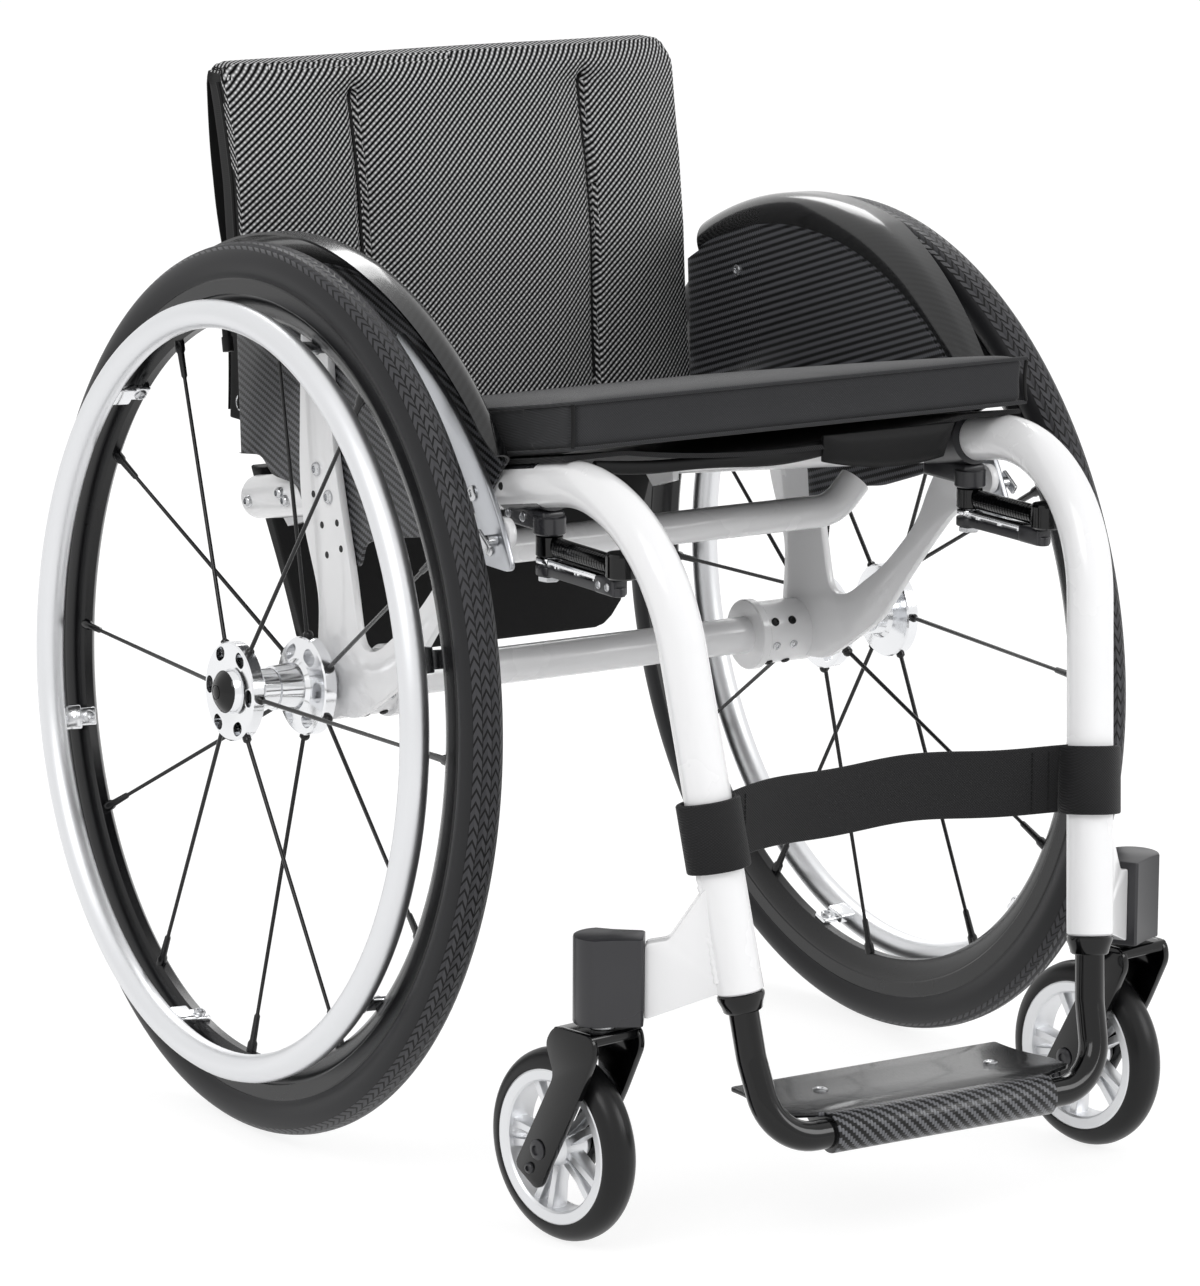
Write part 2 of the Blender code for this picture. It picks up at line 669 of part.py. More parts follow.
def build_axle_tube(root):
    ends = ((-AXLE_TUBE_HALF_LENGTH, 0.0, AXLE_LINE_Z), (AXLE_TUBE_HALF_LENGTH, 0.0, AXLE_LINE_Z))
    mesh = rod_mesh("axle_tube", ends[0], ends[1], AXLE_TUBE_RADIUS, 16)
    smooth_round(mesh)
    add_part("axle_tube", mesh, "white_enamel", root)


def build_seat_cross_tube(root):
    """Tube under the seat whose ends bend up to the seat tubes."""
    rise = seat_line_z(CROSS_TUBE_Y)
    low = rise - CROSS_TUBE_DROP
    points = [(-FRAME_X, CROSS_TUBE_Y, rise), (-CROSS_TUBE_BEND_X, CROSS_TUBE_Y, low),
              (CROSS_TUBE_BEND_X, CROSS_TUBE_Y, low), (FRAME_X, CROSS_TUBE_Y, rise)]
    mesh = swept_mesh("seat_cross_tube", [rounded_path(points, CROSS_TUBE_BEND_RADIUS, 4)],
                      CROSS_TUBE_RADIUS, 3)
    tube = add_part("seat_cross_tube", mesh, "white_enamel", root)
    for label, side in SIDES.items():
        boolean(tube, frame_clearance("cross_tube_saddle_" + label, side, root), "DIFFERENCE")


def plate_outline():
    """Side plate seen from the side as (y, z): two arms round a U, barrel below."""
    rear_edge = over_seat(PLATE_REAR_UPPER) + over_axle(PLATE_REAR_LOWER)
    barrel = arc_points((0.0, AXLE_LINE_Z), BARREL_RADIUS, math.radians(38.0), math.radians(-128.0), 10)
    front_edge = over_axle(PLATE_FRONT_LOWER) + over_seat(PLATE_FRONT_UPPER)
    lobe_centre = over_seat([PLATE_LOBE])[0]
    lobe = arc_points(lobe_centre, PLATE_LOBE_RADIUS, math.radians(-100.0), math.radians(-262.0), 6)
    gullet = over_seat(PLATE_ARM_UPPER) + over_axle(PLATE_GULLET)
    tip_centre = over_seat([PLATE_TIP])[0]
    tip = arc_points(tip_centre, PLATE_TIP_RADIUS, math.pi, 0.0, 6)[:-1]
    return rear_edge + barrel + front_edge + lobe + gullet + over_seat(PLATE_REAR_ARM) + tip


def wheel_axis(side):
    return Vector((side * math.cos(CAMBER), 0.0, math.sin(CAMBER)))


def wheel_centre(side):
    """Hub centre, so that the tilted tyre's tread stands on the floor."""
    height = TYRE_RADIUS * math.cos(CAMBER) + TREAD_HALF_WIDTH * math.sin(CAMBER)
    return Vector((side * WHEEL_X, 0.0, height))


def axle_point(side, x):
    """Point on the wheel's axle line at a distance from the middle."""
    axis = wheel_axis(side)
    centre = wheel_centre(side)
    return centre + axis * (side * (side * x - centre.x)) / abs(axis.x)


def build_side_plate(label, side, root):
    """White plate with the clamp barrel that holds the axle tube and receiver."""
    name = "side_plate_" + label
    mesh = side_sheet(name, [plate_outline()], side, PLATE_X, PLATE_THICKNESS)
    plate = add_part(name, mesh, "white_enamel", root)
    level = Vector((0.0, 0.0, AXLE_LINE_Z))
    inner = level + Vector((side * BARREL_INNER_X, 0.0, 0.0))
    ring = level + Vector((side * (BARREL_INNER_X + CLAMP_RING_LENGTH), 0.0, 0.0))
    outer = level + Vector((side * (PLATE_X + PLATE_THICKNESS / 2), 0.0, 0.0))
    barrel = add_cutter(name + "_barrel", rod_mesh(name + "_barrel", inner + (ring - inner) / 2, outer,
                                                  BARREL_RADIUS - GAP, 20), root)
    clamp = add_cutter(name + "_clamp", rod_mesh(name + "_clamp", inner, ring, CLAMP_RING_RADIUS, 20), root)
    boolean(plate, barrel, "UNION")
    boolean(plate, clamp, "UNION")
    seat_end = level + Vector((side * (AXLE_TUBE_HALF_LENGTH + GAP), 0.0, 0.0))
    seat_start = inner - Vector((side * CUTTER_OVERRUN, 0.0, 0.0))
    tube_seat = rod_mesh(name + "_tube_seat", seat_start, seat_end, AXLE_TUBE_RADIUS + GAP, 16)
    boolean(plate, add_cutter(name + "_tube_seat", tube_seat, root), "DIFFERENCE")
    deep = axle_point(side, RECEIVER_INNER_X - GAP)
    wide = axle_point(side, PLATE_X + PLATE_THICKNESS + CUTTER_OVERRUN)
    receiver_bore = rod_mesh(name + "_bore", deep, wide, RECEIVER_RADIUS + GAP, 16)
    boolean(plate, add_cutter(name + "_bore", receiver_bore, root), "DIFFERENCE")


def build_axle_receiver(label, side, root):
    """Sleeve in the barrel, square to the wheel, with its nut outside the plate."""
    start = axle_point(side, RECEIVER_INNER_X)
    shoulder = axle_point(side, RECEIVER_SHOULDER_X)
    nut_end = shoulder + wheel_axis(side) * RECEIVER_NUT_LENGTH
    sleeve_end = shoulder + wheel_axis(side) * RECEIVER_NUT_GAP
    name = "axle_receiver_" + label
    sleeve = add_part(name, rod_mesh(name, start, sleeve_end, RECEIVER_RADIUS, 16), "satin_aluminium", root)
    nut = rod_mesh(name + "_nut", shoulder, nut_end, RECEIVER_NUT_RADIUS, 6)
    boolean(sleeve, add_cutter(name + "_nut", nut, root), "UNION")
    bore_start = start + wheel_axis(side) * RECEIVER_FLOOR
    bore_end = nut_end + wheel_axis(side) * CUTTER_OVERRUN
    bore = rod_mesh(name + "_bore", bore_start, bore_end, AXLE_PIN_RADIUS + GAP, 12)
    boolean(sleeve, add_cutter(name + "_bore", bore, root), "DIFFERENCE")


def guard_flat_radius():
    return GUARD_LIP_RADIUS - GUARD_FILLET - GUARD_LIP_OVERLAP / 2


def guard_front_angle():
    """Angle round the wheel at which the guard's arch comes down to the seat line."""
    rise = seat_line_z(0.0) + GUARD_FRONT_RISE - wheel_centre(1).z
    return math.acos(rise / guard_flat_radius() / math.hypot(1.0, SEAT_SLOPE)) - math.atan(SEAT_SLOPE)


def guard_outline():
    """Flat part of the side guard as (y, z), up to its lip's fillet."""
    centre = (0.0, wheel_centre(1).z)
    rear_angle = math.asin(GUARD_REAR_CORNER[0] / guard_flat_radius())
    arch = arc_points(centre, guard_flat_radius(), math.pi / 2 - rear_angle,
                      math.pi / 2 + guard_front_angle(), 18)
    return arch + over_seat(GUARD_LOWER_FRONT + GUARD_LOWER_REAR + (GUARD_REAR_CORNER,))


def guard_lip_mesh(name, side):
    """Lip over the tyre: a fillet out of the flat and a band round the wheel."""
    bm = bmesh.new()
    bmesh.ops.create_grid(bm, x_segments=GUARD_LIP_COLUMNS, y_segments=GUARD_LIP_ROWS, size=0.5)
    centre = wheel_centre(side)
    flat_x = GUARD_X + GUARD_THICKNESS / 2
    for vert in bm.verts:
        angle = GUARD_REAR_ANGLE - (vert.co.x + 0.5) * (GUARD_REAR_ANGLE + guard_front_angle())
        out, radius = lip_section(vert.co.y + 0.5, angle)
        vert.co = (side * (flat_x + out), radius * math.sin(angle), centre.z + radius * math.cos(angle))
    bmesh.ops.recalc_face_normals(bm, faces=bm.faces)
    return mesh_of(bm, name)


def lip_section(across, angle):
    """Outward distance and radius at a share of the lip's width and a place round the wheel."""
    fade = max(0.0, min(1.0, (-angle - GUARD_FADE_START) / (GUARD_FADE_END - GUARD_FADE_START)))
    tyre_side = WHEEL_X - TYRE_RADIUS * math.sin(CAMBER) - TYRE_HALF_WIDTH
    full_reach = tyre_side - GUARD_X - GUARD_THICKNESS / 2 - GUARD_FILLET
    fillet = GUARD_FILLET + (GUARD_FRONT_FILLET - GUARD_FILLET) * fade
    reach = full_reach + (GUARD_FRONT_REACH - full_reach) * fade
    fillet_start = GUARD_LIP_RADIUS - GUARD_FILLET
    end_share = min(GUARD_REAR_ANGLE - angle, guard_front_angle() + angle) / GUARD_END_ANGLE
    reach *= math.sqrt(max(0.1, 1 - max(0.0, 1 - end_share) ** 2))
    if across < 0.15:
        return 0.0, fillet_start - GUARD_LIP_OVERLAP * (1 - across / 0.15)
    turn = min(1.0, (across - 0.15) / 0.65) * math.pi / 2
    extra = max(0.0, across - 0.80) / 0.20
    return fillet * (1 - math.cos(turn)) + reach * extra, fillet_start + fillet * math.sin(turn)


def build_side_guard(label, side, root):
    name = "side_guard_" + label
    mesh = side_sheet(name, [guard_outline()], side, GUARD_X, GUARD_THICKNESS)
    guard = add_part(name, mesh, "carbon_laminate", root)
    lip = add_cutter(name + "_lip", guard_lip_mesh(name + "_lip", side), root)
    wall = lip.modifiers.new("wall", "SOLIDIFY")
    wall.thickness = GUARD_LIP_SHELL
    wall.offset = 0.0
    boolean(guard, lip, "UNION")


def build_guard_stay(label, side, root):
    """Curved grey strip outside the guard, wide at its foot."""
    centre = (0.0, wheel_centre(side).z)
    foot_angle = math.pi / 2 + STAY_FOOT_ANGLE
    outer = arc_points(centre, STAY_OUTER_RADIUS, foot_angle, math.pi / 2 + STAY_TOP_ANGLE, 10)
    inner = []
    for index in range(11):
        share = index / 10
        angle = STAY_TOP_ANGLE + share * (STAY_INNER_END - STAY_TOP_ANGLE)
        radius = STAY_OUTER_RADIUS - STAY_WIDTH + (1 - share) * STAY_TAPER
        inner.append(round_wheel(centre, angle, radius))
    foot = [round_wheel(centre, angle, STAY_OUTER_RADIUS - drop) for angle, drop in STAY_FOOT]
    mesh = side_sheet("guard_stay_" + label, [outer + inner + foot], side, STAY_X, STAY_THICKNESS)
    add_part("guard_stay_" + label, mesh, "satin_aluminium", root)


def round_wheel(centre, angle, radius):
    """Point as (y, z) at an angle forward from straight above a centre."""
    return (centre[0] - radius * math.sin(angle), centre[1] + radius * math.cos(angle))


# Rear wheels

def build_wheel_frame(label, side, root):
    """Empty at the hub's centre whose Z points outboard along the axle."""
    turn = side * (math.pi / 2 - CAMBER)
    return add_empty("rear_wheel_axis_" + label, wheel_centre(side), root, (0.0, turn, 0.0))


def wheel_angle(side, angle):
    """Angle in the wheel's own plane for one measured from forward upwards."""
    return math.atan2(-math.cos(angle), -side * math.sin(angle))


def rolling_mesh(name, profile, steps):
    """A ring with flats at the true radius, one of them turned to the floor."""
    flat = 1.0 / math.cos(math.pi / steps)
    mesh = turned_mesh(name, [(radius * flat, height) for radius, height in profile], steps, True)
    mesh.transform(Matrix.Rotation(math.pi / steps, 4, "Z"))
    return mesh


def build_rear_tyre(label, wheel):
    half = [(TYRE_RADIUS, TREAD_HALF_WIDTH),
            (TYRE_RADIUS - TYRE_SHOULDER_DROP, TYRE_HALF_WIDTH - TYRE_SHOULDER_INSET),
            (TYRE_RADIUS - TYRE_SIDE_DROP, TYRE_HALF_WIDTH),
            (RIM_RADIUS + GAP, RIM_HALF_WIDTH - TYRE_BEAD_INSET)]
    profile = half[::-1] + [(radius, -height) for radius, height in half]
    mesh = rolling_mesh("rear_tyre_" + label, profile, WHEEL_STEPS)
    add_part("rear_tyre_" + label, mesh, "tyre_rubber", wheel)


def build_rear_rim(label, wheel):
    profile = [(RIM_RADIUS, RIM_HALF_WIDTH), (RIM_RADIUS, -RIM_HALF_WIDTH),
               (RIM_RADIUS - RIM_WALL_DEPTH, -RIM_HALF_WIDTH), (RIM_INNER_RADIUS, -RIM_NOSE_HALF_WIDTH),
               (RIM_INNER_RADIUS, RIM_NOSE_HALF_WIDTH), (RIM_RADIUS - RIM_WALL_DEPTH, RIM_HALF_WIDTH)]
    mesh = rolling_mesh("rear_rim_" + label, profile, WHEEL_STEPS)
    add_part("rear_rim_" + label, mesh, "black_anodised", wheel)


def build_push_rim(label, side, wheel):
    """Hand ring with six tabs that bolt to the side of the rim."""
    ring_radius = PUSH_RIM_OUTER_RADIUS - PUSH_RIM_TUBE_RADIUS
    profile = []
    for index in range(PUSH_RIM_SIDES):
        angle = math.pi / 2 - 2 * math.pi * index / PUSH_RIM_SIDES
        profile.append((ring_radius + PUSH_RIM_TUBE_RADIUS * math.cos(angle),
                        PUSH_RIM_OFFSET + PUSH_RIM_TUBE_RADIUS * math.sin(angle)))
    name = "push_rim_" + label
    push_rim = add_part(name, rolling_mesh(name, profile, WHEEL_STEPS), "satin_aluminium", wheel)
    tab_radius = RIM_RADIUS - RIM_WALL_DEPTH + TAB_LAP - TAB_HEIGHT / 2
    bm = bmesh.new()
    for index in range(PUSH_RIM_TABS):
        angle = wheel_angle(side, TAB_PHASE + 2 * math.pi * index / PUSH_RIM_TABS)
        turn = Matrix.Rotation(angle, 4, "Z")
        low_z = RIM_HALF_WIDTH + GAP
        size = (TAB_HEIGHT, TAB_WIDTH, PUSH_RIM_OFFSET - low_z)
        middle = Matrix.Translation((tab_radius, 0.0, low_z + size[2] / 2))
        bmesh.ops.create_cube(bm, size=1.0, matrix=turn @ middle @ Matrix.Diagonal((*size, 1.0)))
    boolean(push_rim, add_cutter(name + "_tabs", mesh_of(bm, name + "_tabs"), wheel), "UNION")


def spoke_path(side, angle, flange_z, rim_z):
    turn = wheel_angle(side, angle)
    start_radius = HUB_FLANGE_RADIUS - SPOKE_HEAD_INSET
    end_radius = RIM_INNER_RADIUS - SPOKE_END_GAP
    length = end_radius - start_radius
    path = []
    nipple = length - NIPPLE_LENGTH
    for run in (0.0, SPOKE_HEAD_LENGTH, nipple, nipple + NIPPLE_TAPER, length):
        radius = start_radius + run
        height = flange_z + (rim_z - flange_z) * run / length
        path.append((radius * math.cos(turn), radius * math.sin(turn), height))
    return path


def spokes_mesh(name, side):
    paths = []
    flanges = ((HUB_OUTER_FACE - HUB_FLANGE_THICKNESS / 2, 0.0, SPOKE_RIM_SPREAD),
               (HUB_INNER_FACE + HUB_FLANGE_THICKNESS / 2, math.pi / SPOKES_PER_FLANGE, -SPOKE_RIM_SPREAD))
    for flange_z, phase, rim_z in flanges:
        for index in range(SPOKES_PER_FLANGE):
            paths.append(spoke_path(side, phase + 2 * math.pi * index / SPOKES_PER_FLANGE, flange_z, rim_z))
    factors = (SPOKE_HEAD_FACTOR, 1.0, 1.0, NIPPLE_FACTOR, NIPPLE_FACTOR)
    return swept_mesh(name, paths, SPOKE_RADIUS, 0, factors)


def build_rear_hub(label, side, wheel):
    """Two-flange hub with pockets between its arms; its spokes are one piece with it."""
    bore = AXLE_PIN_RADIUS + HUB_BORE_CLEARANCE
    inner_flange = HUB_INNER_FACE + HUB_FLANGE_THICKNESS
    outer_flange = HUB_OUTER_FACE - HUB_FLANGE_THICKNESS
    flare = HUB_BARREL_RADIUS + HUB_BARREL_FLARE
    profile = [(bore, HUB_OUTER_FACE + HUB_NOSE_LENGTH), (HUB_NOSE_RADIUS, HUB_OUTER_FACE + HUB_NOSE_LENGTH),
               (HUB_NOSE_RADIUS + HUB_NOSE_FLARE, HUB_OUTER_FACE), (HUB_FLANGE_RADIUS, HUB_OUTER_FACE),
               (HUB_FLANGE_RADIUS, outer_flange), (flare, outer_flange - HUB_FLANGE_ROOT),
               (HUB_BARREL_RADIUS, 0.0), (flare, inner_flange + HUB_FLANGE_ROOT),
               (HUB_FLANGE_RADIUS, inner_flange), (HUB_FLANGE_RADIUS, HUB_INNER_FACE),
               (bore, HUB_INNER_FACE)]
    name = "rear_hub_" + label
    hub = add_part(name, turned_mesh(name, profile, HUB_STEPS, True), "polished_aluminium", wheel)
    bm = bmesh.new()
    for index in range(HUB_POCKETS):
        angle = wheel_angle(side, math.pi / 12 + 2 * math.pi * index / HUB_POCKETS)
        spot = (HUB_POCKET_CIRCLE * math.cos(angle), HUB_POCKET_CIRCLE * math.sin(angle))
        add_rod(bm, (*spot, HUB_INNER_FACE - CUTTER_OVERRUN), (*spot, HUB_OUTER_FACE + CUTTER_OVERRUN),
                HUB_POCKET_RADIUS, 6)
    boolean(hub, add_cutter(name + "_spokes", spokes_mesh(name + "_spokes", side), wheel), "UNION")
    boolean(hub, add_cutter(name + "_pockets", mesh_of(bm, name + "_pockets"), wheel), "DIFFERENCE")


def build_quick_release(label, side, wheel):
    """Pull-out axle with its head outside the hub and a push button in the head."""
    head_start = HUB_OUTER_FACE + HUB_NOSE_LENGTH + GAP
    head_end = head_start + AXLE_HEAD_THICKNESS
    receiver_start = (axle_point(side, RECEIVER_INNER_X) - wheel_centre(side)).dot(wheel_axis(side))
    inner_end = receiver_start + RECEIVER_FLOOR + GAP
    pocket_floor = head_end - BUTTON_TRAVEL - BUTTON_SEAT - GAP
    profile = [(0.0, pocket_floor), (BUTTON_RADIUS + GAP, pocket_floor), (BUTTON_RADIUS + GAP, head_end),
               (AXLE_HEAD_RADIUS, head_end), (AXLE_HEAD_RADIUS, head_start), (AXLE_PIN_RADIUS, head_start),
               (AXLE_PIN_RADIUS, inner_end), (0.0, inner_end)]
    name = "quick_release_axle_" + label
    add_part(name, turned_mesh(name, profile, 16, False), "black_anodised", wheel)
    seat = add_empty("quick_release_button_axis_" + label, (0.0, 0.0, head_end), wheel)
    rim = BUTTON_TRAVEL - BUTTON_EDGE
    dome = [(0.0, BUTTON_TRAVEL + BUTTON_CROWN), (BUTTON_RADIUS * 0.6, BUTTON_TRAVEL + BUTTON_CROWN / 2),
            (BUTTON_RADIUS, rim), (BUTTON_RADIUS, -BUTTON_SEAT), (0.0, -BUTTON_SEAT)]
    name = "quick_release_button_" + label
    add_part(name, turned_mesh(name, dome, 16, False), "satin_aluminium", seat)


# Casters, in a frame whose Z is the stem's axis and whose +Y trails behind it

def build_caster_stem(label, swivel):
    """Stem with its cap at the top of the housing and a collar on the crown."""
    cap_top = HOUSING_TOP_Z - STEM_CAP_DROP
    cap_radius = HOUSING_BORE_RADIUS - GAP
    bearing_top = HOUSING_BOTTOM_Z + STEM_BEARING_HEIGHT
    bearing_foot = HOUSING_BOTTOM_Z + STEM_CAP_DROP
    collar_radius = STEM_RADIUS + STEM_COLLAR
    foot = FORK_CROWN_TOP + GAP
    profile = [(0.0, cap_top), (cap_radius, cap_top), (cap_radius, cap_top - STEM_CAP_HEIGHT),
               (STEM_RADIUS, cap_top - STEM_CAP_HEIGHT), (STEM_RADIUS, bearing_top), (cap_radius, bearing_top),
               (cap_radius, bearing_foot), (collar_radius, bearing_foot), (collar_radius, foot), (0.0, foot)]
    name = "caster_stem_" + label
    add_part(name, turned_mesh(name, profile, 16, False), "satin_aluminium", swivel)


def fork_outline():
    """Fork's leg seen from the side as (y, z)."""
    axle = Vector((CASTER_TRAIL, CASTER_RADIUS))
    lean = (axle - Vector((0.0, FORK_CROWN_TOP - FORK_LEAN_DROP))).normalized()
    square = Vector((-lean.y, lean.x)) * FORK_LEG_WIDTH / 2
    foot = axle + lean * FORK_FOOT_DROP
    top = axle - lean * FORK_LEG_RUN
    soft = lean * FORK_FOOT_CORNER
    inset = square * 0.7
    low = FORK_CROWN_TOP - FORK_CROWN_DROP
    return [tuple(top + square), tuple(foot + square - soft), tuple(foot + inset), tuple(foot - inset),
            tuple(foot - square - soft), tuple(top - square), (FORK_CROWN_FRONT - 0.003, low),
            (FORK_CROWN_FRONT, FORK_CROWN_TOP), (FORK_CROWN_REAR, FORK_CROWN_TOP), (FORK_CROWN_REAR + 0.008, low)]


def build_caster_fork(label, swivel):
    """Bent plate: level crown, two straight legs that slope back to the axle."""
    half_width = FORK_INNER_HALF_WIDTH + FORK_PLATE
    name = "caster_fork_" + label
    mesh = side_sheet(name, [fork_outline()], 1, -half_width, 2 * half_width)
    fork = add_part(name, mesh, "black_anodised", swivel)
    slot = box_mesh(name + "_slot", (-FORK_INNER_HALF_WIDTH, -CASTER_RADIUS, 0.0),
                    (FORK_INNER_HALF_WIDTH, CASTER_TRAIL + CASTER_RADIUS, FORK_CROWN_TOP - FORK_PLATE))
    boolean(fork, add_cutter(name + "_slot", slot, swivel), "DIFFERENCE")
    bolt_hole = rod_mesh(name + "_bolt_hole", (-half_width - CUTTER_OVERRUN, CASTER_TRAIL, CASTER_RADIUS),
                         (half_width + CUTTER_OVERRUN, CASTER_TRAIL, CASTER_RADIUS),
                         CASTER_BOLT_RADIUS + GAP, 12)
    boolean(fork, add_cutter(name + "_bolt_hole", bolt_hole, swivel), "DIFFERENCE")


def build_caster_axle(label, swivel):
    """Bolt through both fork legs with a head and a nut, and its wheel spacers."""
    head_x = FORK_INNER_HALF_WIDTH + FORK_PLATE + GAP
    end_x = head_x + CASTER_BOLT_HEAD
    profile = [(0.0, end_x), (CASTER_BOLT_CROWN_RADIUS, end_x), (CASTER_BOLT_HEAD_RADIUS, head_x),
               (CASTER_BOLT_RADIUS, head_x), (CASTER_BOLT_RADIUS, -head_x), (CASTER_BOLT_HEAD_RADIUS, -head_x),
               (CASTER_BOLT_CROWN_RADIUS, -end_x), (0.0, -end_x)]
    name = "caster_axle_" + label
    mesh = turned_mesh(name, profile, 12, False)
    turn = Matrix.Rotation(math.pi / 2, 4, "Y")
    mesh.transform(Matrix.Translation((0.0, CASTER_TRAIL, CASTER_RADIUS)) @ turn)
    add_part(name, mesh, "satin_aluminium", swivel)


def build_caster_wheel(label, side, swivel):
    """Wheel frame whose Z is the caster's axle; five-spoke rim and solid tyre."""
    spin = add_empty("caster_wheel_axis_" + label, (0.0, CASTER_TRAIL, CASTER_RADIUS), swivel,
                     (0.0, side * math.pi / 2, 0.0))
    half = [(CASTER_RADIUS, CASTER_TREAD_HALF_WIDTH),
            (CASTER_RADIUS - CASTER_SHOULDER_DROP, CASTER_HALF_WIDTH - CASTER_SHOULDER_INSET),
            (CASTER_RIM_RADIUS + GAP, CASTER_HALF_WIDTH)]
    profile = half[::-1] + [(radius, -height) for radius, height in half]
    name = "caster_tyre_" + label
    add_part(name, rolling_mesh(name, profile, CASTER_STEPS), "tyre_rubber", spin)
    build_caster_rim(label, spin)


def build_caster_rim(label, spin):
    rim_half = CASTER_HALF_WIDTH - CASTER_RIM_INSET
    profile = [(CASTER_RIM_RADIUS, rim_half), (CASTER_RIM_RADIUS, -rim_half),
               (CASTER_RIM_INNER_RADIUS, -rim_half), (CASTER_RIM_INNER_RADIUS, rim_half)]
    name = "caster_rim_" + label
    mesh = rolling_mesh(name, profile, CASTER_STEPS)
    rim = add_part(name, mesh, "polished_aluminium", spin)
    hub_half = FORK_INNER_HALF_WIDTH - SHEET_GAP - GAP
    hub = add_cutter(name + "_hub", rod_mesh(name + "_hub", (0, 0, -hub_half), (0, 0, hub_half),
                                             CASTER_HUB_RADIUS, 16), spin)
    for index in range(CASTER_SPOKES):
        turn = Matrix.Rotation(2 * math.pi * index / CASTER_SPOKES, 4, "Z")
        reach = CASTER_RIM_INNER_RADIUS + CASTER_SPOKE_LAP
        spoke_mesh = box_mesh(name + "_spoke",
                              (CASTER_BOLT_RADIUS, -CASTER_SPOKE_WIDTH / 2, -CASTER_SPOKE_DEPTH / 2),
                              (reach, CASTER_SPOKE_WIDTH / 2, CASTER_SPOKE_DEPTH / 2))
        spoke_mesh.transform(turn)
        boolean(rim, add_cutter(name + "_spoke_" + str(index + 1), spoke_mesh, spin), "UNION")
    boolean(rim, hub, "UNION")
    bore = rod_mesh(name + "_bore", (0, 0, -hub_half - CUTTER_OVERRUN), (0, 0, hub_half + CUTTER_OVERRUN),
                    CASTER_BOLT_RADIUS + GAP, 12)
    boolean(rim, add_cutter(name + "_bore", bore, spin), "DIFFERENCE")


def build_caster(label, side, root):
    swivel = add_empty("caster_swivel_axis_" + label, (side * STEM_X, STEM_Y, 0.0), root,
                       (0.0, 0.0, CASTER_YAW))
    build_caster_stem(label, swivel)
    build_caster_fork(label, swivel)
    build_caster_axle(label, swivel)
    build_caster_wheel(label, side, swivel)


# Footrest and calf strap

def foot_path():
    corner = Vector(FOOT_CORNER)
    half = [leg_point(1, LEG_END_Z - GAP), leg_point(1, FOOT_STRAIGHT_Z), corner]
    mirrored = [Vector((-point.x, point.y, point.z)) for point in half]
    return rounded_path(half + mirrored[::-1], FOOT_BEND_RADIUS, 5)


def build_footrest_tube(root):
    mesh = swept_mesh("footrest_tube", [foot_path()], FOOT_TUBE_RADIUS, 3)
    add_part("footrest_tube", mesh, "black_enamel", root)


def build_footrest_collar(label, side, root):
    """Flared collar that grips the footrest tube at the leg's end."""
    start = leg_point(side, LEG_END_Z)
    down = (start - leg_point(side, FRAME_CORNER_Z)).normalized()
    top = start + down * GAP
    bottom = top + down * COLLAR_LENGTH
    name = "footrest_collar_" + label
    mesh = rod_mesh(name, top, bottom, FRAME_TUBE_RADIUS, 16, FOOT_TUBE_RADIUS + COLLAR_WALL)
    collar = add_part(name, mesh, "black_enamel", root)
    bore = rod_mesh(name + "_bore", top - down * CUTTER_OVERRUN, bottom + down * CUTTER_OVERRUN,
                    FOOT_TUBE_RADIUS + GAP, 16)
    boolean(collar, add_cutter(name + "_bore", bore, root), "DIFFERENCE")


def build_footplate(root):
    """Carbon sheet with a sleeve round the tube, cut back where the casters swing."""
    front_y = FOOT_CORNER[1]
    corner = FOOTPLATE_CORNER_RADIUS
    nose, shoulder = FOOTPLATE_FRONT_INSET
    half = [(FOOTPLATE_HALF_WIDTH - corner, FOOTPLATE_REAR_Y), (FOOTPLATE_HALF_WIDTH, FOOTPLATE_REAR_Y - corner),
            (FOOTPLATE_HALF_WIDTH, front_y + shoulder), (SLEEVE_HALF_LENGTH, front_y + nose)]
    outline = half + [(-x, y) for x, y in half[::-1]]
    mesh = outline_mesh("footplate", [outline], FOOTPLATE_SHEET)
    mesh.transform(Matrix.Translation((0.0, 0.0, FOOTPLATE_TOP_Z - FOOTPLATE_SHEET / 2)))
    plate = add_part("footplate", mesh, "carbon_laminate", root)
    sleeve = sleeve_mesh("footplate_sleeve")
    boolean(plate, add_cutter("footplate_sleeve", sleeve, root), "UNION")
    bore = rod_mesh("footplate_bore", (-FOOTPLATE_HALF_WIDTH, front_y, FOOT_CORNER[2]),
                    (FOOTPLATE_HALF_WIDTH, front_y, FOOT_CORNER[2]), FOOT_TUBE_RADIUS + GAP, 16)
    boolean(plate, add_cutter("footplate_bore", bore, root), "DIFFERENCE")
    sweep = CASTER_TRAIL + CASTER_RADIUS + SWEEP_CLEARANCE
    for label, side in SIDES.items():
        cutter = rod_mesh("footplate_sweep_" + label, (side * STEM_X, STEM_Y, FOOT_CORNER[2]),
                          (side * STEM_X, STEM_Y, FOOTPLATE_TOP_Z + CUTTER_OVERRUN), sweep, 48)
        boolean(plate, add_cutter("footplate_sweep_" + label, cutter, root), "DIFFERENCE")


